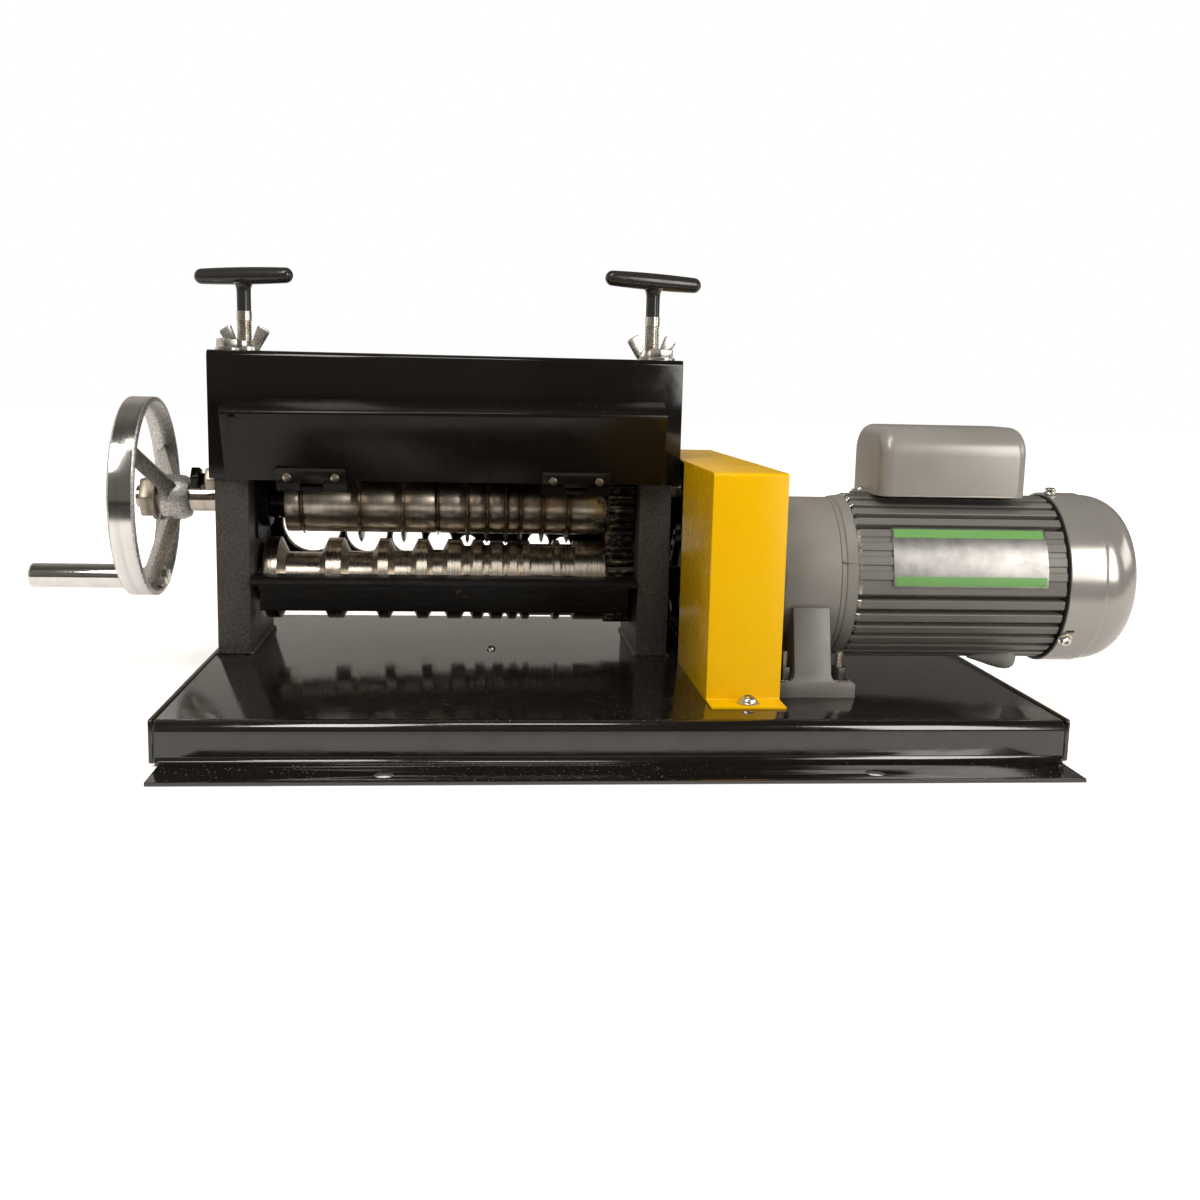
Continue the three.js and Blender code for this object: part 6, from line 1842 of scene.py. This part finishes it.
@dataclass
class GuardAssembly(Assembly):
    """The yellow chain guard with its bolts."""

    left: float = 62.2
    right: float = 114.0
    front: float = -142.0
    back: float = 170.0
    foot: float = 21.5
    top: float = 188.9
    sheet: float = 1.5
    side_depth: float = 131.0
    lip: float = 10.0
    rear_share: float = 0.42
    bend: float = 1.5
    # Thickness of the dark lining that paints shade inside the guard.
    shade_lining: float = 0.4

    def build(self) -> None:
        """Makes the guard and its bolts."""
        base = PAN_TOP + SEAT + self.sheet
        path = [
            (self.back + self.foot, base), (self.back, base), (self.back, self.top), (self.front, self.top),
            (self.front, base), (self.front - self.foot, base)]
        guard = Blank.drawn(folded(path, self.sheet, self.bend, 5), Axis.X, self.left, self.right)
        half = self.sheet / 2
        roof, inside, low = self.top - half, self.right - self.sheet, base - self.sheet
        rear = self.back - (self.back - self.front) * self.rear_share
        guard.carved(
            Blank.block(
                (self.left, self.front + half, low),
                (self.left + self.sheet, self.front + self.side_depth, roof)),
            Blank.block((inside, self.front + half, self.top - self.lip),
            (self.right, self.back - half, roof)),
            Blank.block((inside, rear, low), (self.right, self.back - half, roof)),
            operation="UNION")
        guard.eased(0.35, 2, 50.0)
        self.fit("yellow_guard", guard, Finish.YELLOW, Body.FRAME, ["chain_guard"])
        for name, y in (("front", self.front - self.foot / 2), ("rear", self.back + self.foot / 2)):
            screw = pan_screw(6.2, 4.6).moved(0.0, 0.0, 1.3)
            screw.with_part(Blank.bar(0.0, 1.4, 7.8, 0.3).upright())
            screw.moved((self.left + self.right) / 2 + 1.5, y, base)
            self.fit(f"guard_screw_{name}", screw, Finish.ZINC, Body.FRAME)
        # A thin dark lining inside the right wall, the back wall and the roof: painted shade, a dark sheet
        # where the guard's inside lies in shade.
        lining_reach, top = self.sheet + self.shade_lining, self.top - self.sheet
        shade_liner = Blank.block(
            (self.right - lining_reach, rear + 1.0, base + 1.0), (inside - SEAT, self.back - 2.0, self.top - 2.0))
        shade_liner.with_part(
            Blank.block(
                (self.left + 0.5, self.back - lining_reach, base + 1.0),
                (self.right - 2.0, self.back - self.sheet - SEAT, self.top - 2.0)),
            Blank.block(
                (self.left + 2.0, self.front + 3.0, self.top - lining_reach),
                (self.right - 2.0, self.back - 2.0, top - SEAT)))
        self.fit("guard_shade_lining", shade_liner, Finish.TABLE_BLACK, Body.FRAME)


@dataclass
class GearmotorAssembly(Assembly):
    """The gearmotor: gearbox on its foot, finned motor, cowl, fan and capacitor cover."""

    gearbox: Point = (118.0, 162.0)
    gearbox_radius: float = 58.3
    shield: Point = (162.1, 174.1)
    motor: Point = (174.2, 327.2)
    fin: float = 61.5
    root: float = 54.5
    fins: int = 36
    fin_share: float = 0.6
    fin_turn: float = 2.6
    flat: Point = (136.0, 186.0)
    rear: Point = (327.3, 349.3)
    neck: float = 57.0
    cowl: Point = (329.3, 387.9)
    cowl_radius: float = 64.0
    cowl_wall: float = 1.5
    cowl_step: float = 1.2
    cowl_band: float = 26.0
    cowl_bend: float = 28.0
    screw_turns: Place = (127.0, 7.0, -113.0)
    cover: Point = (193.2, 302.2)
    cover_half: float = 38.0
    cover_foot: float = 170.5
    cover_top: float = 221.0
    cover_round: float = 14.0
    cover_big: float = 21.0
    cover_bevel: float = 9.0
    column: float = 140.5
    column_top: float = 92.0
    column_half: float = 13.0
    foot_height: float = 11.0
    foot_half: float = 30.5
    foot_reach: float = 74.5
    top_reach: float = 60.0
    stud_places: Point = (20.0, 66.5)
    gland: Point = (-24.0, -58.0)
    end_bevel: float = 2.2
    round: int = 112
    label: tuple[float, float, float, float] = (199.0, 313.0, 108.0, 149.0)

    def build(self) -> None:
        """Makes the whole gearmotor."""
        self.build_gearbox()
        self.build_motor()
        self.build_cowl()
        self.build_cover()

    def build_gearbox(self) -> None:
        """Makes the gearbox, its foot and its studs."""
        left, right = self.gearbox
        radius = self.gearbox_radius
        case = Blank.turned(
            [(left - 3.0, 0.0), (left - 3.0, 33.0), (left - 2.0, 34.0), (left, 34.0), (left, radius - 5.0),
             (left + 1.0, radius - 2.2), (left + 2.8, radius - 0.5), (left + 5.0, radius), (right, radius),
             (right, 0.0)], sides=self.round)
        foot, ledge = PAN_TOP + SEAT, PAN_TOP + SEAT + self.foot_height
        half, top, high = self.column_half, self.column_top, self.column_top + 1.0
        curve = arc((half + 6.0, ledge + 6.0), 6.0, 270.0, 180.0, 5)
        edge = self.foot_half - 1.6
        side = [(self.foot_half, foot), (self.foot_half, ledge - 1.6), (edge, ledge), *curve, (half, top)]
        outline = [(self.column + u, v) for u, v in side] + [(self.column - u, v) for u, v in side[::-1]]
        front, back = MOTOR_Y - self.foot_reach, MOTOR_Y + self.foot_reach
        bracket = Blank.drawn(outline, Axis.Y, front, back)
        taper = Blank.drawn(
            [(front, foot - 1.0), (back, foot - 1.0), (back, ledge), (MOTOR_Y + self.top_reach, high),
             (MOTOR_Y - self.top_reach, high), (front, ledge)],
            Axis.X, self.column - 40.0, self.column + 40.0)
        bracket.carved(taper, operation="INTERSECT").eased(0.7)
        case.carved(Blank.bar(left - 20.0, left + 22.0, 11.4)).about(MOTOR)
        self.fit("gearbox_case", case, Finish.MOTOR, Body.FRAME, ["gearbox"])
        # The foot takes the darker grey as painted shade on its upright column.
        self.fit("gearbox_foot", bracket, Finish.FIN_GREY_AND_SHADE, Body.FRAME)
        for index, (x_side, y_side) in enumerate(((-1, -1), (1, -1), (-1, 1), (1, 1)), 1):
            stud = Blank.threaded(-4.0, 21.0, 3.0, 1.0, 0.45).with_part(Blank.bar(0.0, 1.2, 7.0, 0.2))
            nut = Blank.hexed(10.0, 1.3, 10.2, 0.5, Axis.Z).rolled(12.0, "Z")
            along, across = self.stud_places
            for part, blank, finish in (
                    ("stud", stud.upright(), Finish.YELLOW_ZINC), ("nut", nut, Finish.DARK_STEEL)):
                blank.moved(self.column + along * x_side, MOTOR_Y + across * y_side, ledge)
                self.fit(f"foot_{part}_{index}", blank, finish, Body.FRAME)

    def build_motor(self) -> None:
        """Makes the finned body and its fin ends, the front end shield, the label plate and the gland."""
        left, right = self.shield
        radius = self.gearbox_radius
        shield = Blank.turned(
            [(left, 0.0), (left, radius - 1.0), (left + 0.6, radius), (left + 3.6, radius),
             (left + 4.4, radius + 1.0), (right - 0.6, 60.2), (right, 59.6), (right, 0.0)], sides=self.round)
        seam = Blank.block((left + 0.5, -0.5, 58.0), (right - 0.3, 0.5, 60.5)).eased(0.3).rolled(73.5)
        shield.with_part(seam).about(MOTOR)
        self.fit("front_shield", shield, Finish.MOTOR, Body.FRAME, ["gear_end_shield"], 25.0)
        start, end = self.motor
        body = Blank.drawn(self.fin_outline(), Axis.X, start + self.end_bevel, end)
        ends = Blank.drawn(self.fin_outline(), Axis.X, start, start + self.end_bevel)
        shrink = (self.fin - 1.7) / self.fin
        for vert in ends.mesh.verts:
            if vert.co.x < start + self.end_bevel / 2:
                vert.co.y *= shrink
                vert.co.z *= shrink
        self.fit("fin_ends", ends.about(MOTOR), Finish.MACHINED, Body.FRAME, smooth=20.0)
        left, right = self.cover
        pad = Blank.block((left - 9.0, -12.0, 0.0), (right + 9.0, 12.0, self.cover_foot - MOTOR_Z - SEAT))
        body.carved(pad, operation="UNION").about(MOTOR)
        self.fit("finned_body", body, Finish.FIN_GREY_AND_SHADE, Body.FRAME, ["motor_body"], 30.0)
        gland = Blank.turned(
            [(270.0, 0.0), (271.0, 1.0), (279.0, 3.6), (287.0, 6.3), (294.0, 8.3), (299.0, 9.2),
            (302.5, 9.0),
             (305.2, 7.4), (306.8, 4.4), (307.2, 0.0)], (MOTOR_Y + self.gland[0], MOTOR_Z + self.gland[1]),
             40)
        self.fit("cable_gland", gland, Finish.PLASTIC, Body.FRAME)
        self.build_label()

    def fin_outline(self) -> list[Point]:
        """The fins' outline in Y and Z, with the shallower grooves under the label plate."""
        points = []
        for index in range(self.fins):
            degrees = 360.0 * index / self.fins + self.fin_turn
            middle = math.radians(degrees)
            half = self.fin_share * math.pi / self.fins
            root = self.fin - 1.1 if self.flat[0] < degrees < self.flat[1] else self.root
            corners = ((root, -1.1), (self.fin - 0.5, -1.0), (self.fin, -0.84))
            for reach, share in (*corners, (self.fin, 0.0), *[(r, -s) for r, s in corners[::-1]]):
                points.append(
                    (reach * math.cos(middle + half * share), reach * math.sin(middle + half * share)))
        return points

    def build_label(self) -> None:
        """Makes the bare label plate, curved round the fins."""
        left, right, low, high = self.label
        for name, bottom, top, finish, lift, inset in (
                ("label_plate", low, high, Finish.LABEL, 0.0, 0.0),
                ("label_band_low", low + 1.0, low + 7.6, Finish.GREEN, 0.12, 1.5),
                ("label_band_high", high - 6.6, high - 1.0, Finish.GREEN, 0.12, 1.5)):
            inner, outer = self.fin + 0.1 + lift, self.fin + 0.7 + lift
            first, last = (
                180.0 - math.degrees(math.asin((edge - MOTOR_Z) / outer)) for edge in (bottom, top))
            outline = arc((0.0, 0.0), outer, first, last, 12) + arc((0.0, 0.0), inner, last, first, 12)
            plate = Blank.drawn(outline, Axis.X, left + inset, right - inset)
            self.fit(name, plate.about(MOTOR), finish, Body.FRAME)

    def build_cowl(self) -> None:
        """Makes the rear shield, the fan cowl and the fan."""
        (left, right), (start, end) = self.rear, self.cowl
        wall, radius, recess = self.cowl_wall, self.cowl_radius, right - 16.0
        shield = Blank.turned(
            [(left, 0.0), (left, self.neck), (start - 0.3, self.neck), (start - 0.3, radius - wall - SEAT),
             (right, radius - wall - SEAT), (right, 8.4), (recess, 8.4), (recess, 0.0)], sides=self.round)
        # The rear shield is near-black as painted shade in the recess between the fins and the cowl.
        self.fit("back_shield", shield.about(MOTOR), Finish.RECESS_SHADE_BLACK, Body.FRAME, ["rear_end_shield"])
        band, bend = start + self.cowl_band, self.cowl_bend
        dome = arc((end - bend, 40.0), (bend, radius - self.cowl_step - 40.0), 90.0, 0.0, 16)
        inside = [(x - wall, r - wall) for x, r in dome[::-1]]
        shell = Blank.turned(
            [(start, radius - wall), (start, radius - 0.4), (start + 0.4, radius), (band, radius),
             (band + 0.6, radius - 0.9), (band + 1.4, radius - self.cowl_step), *dome, (end, 0.0),
             (end - wall, 0.0), *inside, (start, radius - wall)], sides=144)
        slots = [
            Blank.block((end - 6.0, -3.0, 14.0), (end + 5.0, 3.0, 37.0)).eased(2.9, 5).rolled(60.0 * turn)
            for turn in range(6)]
        keyhole = Blank.block((331.4, -1.2, 55.0), (338.4, 1.2, 70.0)).eased(1.1, 3).rolled(121.0)
        shell.carved(*slots, keyhole).about(MOTOR)
        self.fit("cowl", shell, Finish.COWL, Body.FRAME, ["fan_cowl"], 32.0)
        for turn in self.screw_turns:
            screw = Blank.bar(0.0, 1.0, 5.4, 0.3, 32).with_part(Blank.hexed(7.0, 0.9, 4.6, 0.5))
            screw.upright().carved(Blank.bar(3.0, 9.0, 1.7, 0.2, 16).upright())
            screw.moved(333.2, 0.0, radius).rolled(turn).about(MOTOR)
            self.fit(f"cowl_screw_{turn + 180.0:.0f}", screw, Finish.ZINC, Body.FRAME)
        first = right + 4.0
        fan = Blank.bar(recess + 0.4, first + 20.4, 8.0).with_part(
            Blank.bar(first, first + 20.0, 15.0, 1.0), Blank.bar(first, first + 2.5, 52.0, 0.4, 72))
        for step in range(6):
            vane = Blank.block((first, -1.25, 12.5), (first + 13.0, 1.25, 49.5)).eased(0.4)
            fan.with_part(vane.rolled(60.0 * step))
        self.fit("fan", fan.about(MOTOR), Finish.PLASTIC, Body.ROTOR, ["cooling_fan"])

    def build_cover(self) -> None:
        """Makes the capacitor cover and its screws."""
        (left, right), foot, big = self.cover, self.cover_foot, self.cover_big
        front, back, high = MOTOR_Y - self.cover_half, MOTOR_Y + self.cover_half, self.cover_top - big
        arcs = arc((back - big, high), big, 0.0, 90.0, 12) + arc((front + big, high), big, 90.0, 180.0, 12)
        cover = Blank.drawn([(front, foot), (back, foot), *arcs], Axis.X, left, right)
        rims = [
            edge for edge in cover.mesh.edges
            if abs(edge.verts[0].co.x - edge.verts[1].co.x) < SEAT and max(v.co.z
            for v in edge.verts) > foot + 1.0]
        cover.bevelled(rims, self.cover_bevel, 8)
        plate = rounded(rectangle((left - 1.0, front - 1.0), (right + 1.0, back + 1.0)), self.cover_round, 8)
        tabs = Blank.block((left - 9.0, MOTOR_Y - 7.0, foot), (right + 9.0, MOTOR_Y + 7.0, foot + 2.0))
        cover.with_part(Blank.drawn(plate, Axis.Z, foot, foot + 1.2).eased(0.4), tabs.eased(0.5))
        self.fit("cap_cover", cover, Finish.COVER, Body.FRAME, ["capacitor_cover"])
        for name, x in (("left", left - 4.5), ("right", right + 4.5)):
            screw = pan_screw(3.5, 2.5).moved(x, MOTOR_Y, foot + 2.0)
            self.fit(f"cover_screw_{name}", screw, Finish.ZINC, Body.FRAME)


@dataclass
class Studio:
    """Floor, backdrop light, lamps and the camera."""

    datum: Vector
    camera_place: Place = (-96.863, -1015.606, 246.933)
    yaw: float = 0.0889
    pitch: float = -0.158
    roll: float = -0.0226
    focal_pixels: float = 1307.63
    image_pixels: float = 1200.0
    centre_pixels: Point = (591.90, 591.05)
    paper_glow: float = 0.3
    lamp_tint: Colour = (1.0, 0.965, 0.92)
    room_tint: Colour = (1.0, 0.93, 0.83)
    walls: tuple[tuple[int, tuple[float, float, float, float]], ...] = (
        (1, (-0.2, 0.45, 0.13, 0.37)), (2, (0.5, 0.85, 1.0, 0.5)), (0, (0.12, 0.22, 1.0, 0.35)),
        (0, (-0.85, -0.45, 2.4, 1.0)))
    # Half sizes of the pan's footprint, in metres, where the floor has a painted shadow.
    pan_half: Point = (0.29, 0.228)
    lamps: tuple[tuple[str, Place, Place, Point, float, bool], ...] = (
        ("overhead", (0.1, -0.5, 1.9), (0.05, 0.0, 0.1), (2.2, 2.2), 16.0, False),
        ("left_box", (-0.82, -1.25, 1.65), (-0.3, 0.0, 0.15), (0.5, 1.0), 16.5, True),
        ("strip", (-0.08, -0.75, 1.8), (0.0, 0.0, 0.1), (0.6, 0.28), 5.0, True),
        ("right_box", (1.25, -1.45, 0.75), (0.3, -0.1, 0.12), (0.55, 1.2), 17.0, True),
        ("side_box", (1.75, -0.3, 0.62), (0.35, -0.05, 0.12), (0.9, 0.5), 5.0, True),
        ("rear_box", (0.0, 1.9, 1.5), (0.0, 0.0, 0.1), (1.6, 1.6), 10.0, False))

    def build(self) -> None:
        """Makes the studio."""
        self.build_floor()
        self.build_world()
        for name, place, target, size, power, mirrored in self.lamps:
            data = bpy.data.lights.new(name, "AREA")
            data.shape = "RECTANGLE"
            data.size, data.size_y = size
            data.energy = power
            data.color = self.lamp_tint
            lamp = bpy.data.objects.new(name, data)
            lamp.location = place
            lamp.rotation_euler = (Vector(target) - Vector(place)).to_track_quat("-Z", "Y").to_euler()
            lamp.visible_glossy = mirrored
            bpy.context.scene.collection.objects.link(lamp)
        self.build_camera()
        bpy.context.scene.view_settings.view_transform = "Standard"

    def build_floor(self) -> None:
        """Makes the white floor, which keeps the machine's shadow and has a painted shadow under the pan,
        where its glow is dimmed.
        """
        floor_mesh = bmesh.new()
        bmesh.ops.create_grid(floor_mesh, x_segments=1, y_segments=1, size=8.0)
        mesh = bpy.data.meshes.new("floor")
        floor_mesh.to_mesh(mesh)
        floor_mesh.free()
        floor = bpy.data.objects.new("floor", mesh)
        floor.location.z = -0.0005
        bpy.context.scene.collection.objects.link(floor)
        brush = Brush("floor_white")
        path = brush.node("ShaderNodeLightPath")
        near = brush.ramp(brush.axis_value(1), -0.4, -0.3)
        glossy = brush.math("MULTIPLY", path.outputs["Is Glossy Ray"], near)
        dim = brush.math("MULTIPLY", path.outputs["Is Glossy Ray"], brush.math("SUBTRACT", 1.0, near))
        away = brush.ramp(brush.axis_value(1), 0.35, 0.9, 0.62, 1.0)
        # Painted shadow: inside the pan's footprint the floor's glow to the camera drops by 0.5.
        pan_shadow = []
        for axis, half in enumerate(self.pan_half):
            off = brush.math("SUBTRACT", brush.axis_value(axis), self.datum[axis])
            pan_shadow.append(brush.math("LESS_THAN", brush.math("ABSOLUTE", off, 0.0), half))
        away = brush.math("SUBTRACT", away, brush.math("MULTIPLY", brush.math("MULTIPLY", *pan_shadow), 0.5))
        seen = brush.math("MULTIPLY", path.outputs["Is Camera Ray"], away)
        sheet = brush.math("ADD", seen, brush.math("MULTIPLY", glossy, self.paper_glow))
        paper = brush.mix(dim, (0.8, 0.785, 0.77), (0.06, 0.055, 0.05))
        brush.set(Base_Color=paper, Roughness=0.9, Specular_IOR_Level=0.1)
        brush.set(Emission_Color=(1.0, 0.97, 0.94), Emission_Strength=sheet)
        mesh.materials.append(brush.material)

    def build_world(self) -> None:
        """Makes a world that the camera sees as white, with a darker room in front of the machine."""
        world = bpy.data.worlds.new("studio")
        bpy.context.scene.world = world
        world.use_nodes = True
        world.node_tree.nodes.clear()
        room = Nodes(world.node_tree, "Generated")
        level: object = 1.0
        for axis, limits in self.walls:
            wall = room.ramp(room.axis_value(axis), *limits, curve="SMOOTHSTEP")
            level = room.math("MULTIPLY", level, wall)
        seen = room.node("ShaderNodeLightPath").outputs["Is Camera Ray"]
        strength = room.node("ShaderNodeMix")
        for index, value in ((0, seen), (2, level), (3, 1.0)):
            room.feed(strength.inputs[index], value)
        light = room.node("ShaderNodeBackground")
        room.feed(light.inputs["Color"], room.mix(seen, self.room_tint, (1.0, 1.0, 1.0)))
        room.feed(light.inputs["Strength"], strength.outputs[0])
        room.feed(room.node("ShaderNodeOutputWorld").inputs[0], light.outputs[0])

    def build_camera(self) -> None:
        """Sets the camera where the photograph was taken from."""
        yaw, pitch = self.yaw, self.pitch
        ahead = Vector((math.sin(yaw) * math.cos(pitch), math.cos(yaw) * math.cos(pitch), math.sin(pitch)))
        right = Vector((math.cos(yaw), -math.sin(yaw), 0.0))
        up = right.cross(ahead)
        cosine, sine = math.cos(self.roll), math.sin(self.roll)
        axes = Matrix((right * cosine - up * sine, right * sine + up * cosine, -ahead)).transposed()
        data = bpy.data.cameras.new("camera")
        data.sensor_fit = "HORIZONTAL"
        data.sensor_width = 36.0
        data.lens = self.focal_pixels / self.image_pixels * data.sensor_width
        data.shift_x = (self.image_pixels / 2 - self.centre_pixels[0]) / self.image_pixels
        data.shift_y = (self.centre_pixels[1] - self.image_pixels / 2) / self.image_pixels
        camera = bpy.data.objects.new("camera", data)
        place = Vector(self.camera_place) * MILLIMETRE + self.datum
        camera.matrix_world = Matrix.Translation(place) @ axes.to_4x4()
        bpy.context.scene.collection.objects.link(camera)
        bpy.context.scene.camera = camera


def main() -> None:
    """Builds the machine over its frame."""
    logging.basicConfig(level=logging.INFO, format="%(name)s: %(message)s")
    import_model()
    low, high = (Vector(corner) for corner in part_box("base_pan"))
    datum = Vector(((low.x + high.x) / 2, (low.y + high.y) / 2, low.z))
    Studio(datum).build()
    for kind in (
            PanAssembly, SidePlates, HoodAssembly, FlapAssembly, FeedAssembly, RollerTrain, BladeTrain,
            WheelAssembly, ScrewAssembly, ChainAssembly, GuardAssembly, GearmotorAssembly):
        kind(datum).build()
        LOG.info("%s done", kind.__name__)


if __name__ == "__main__":
    main()
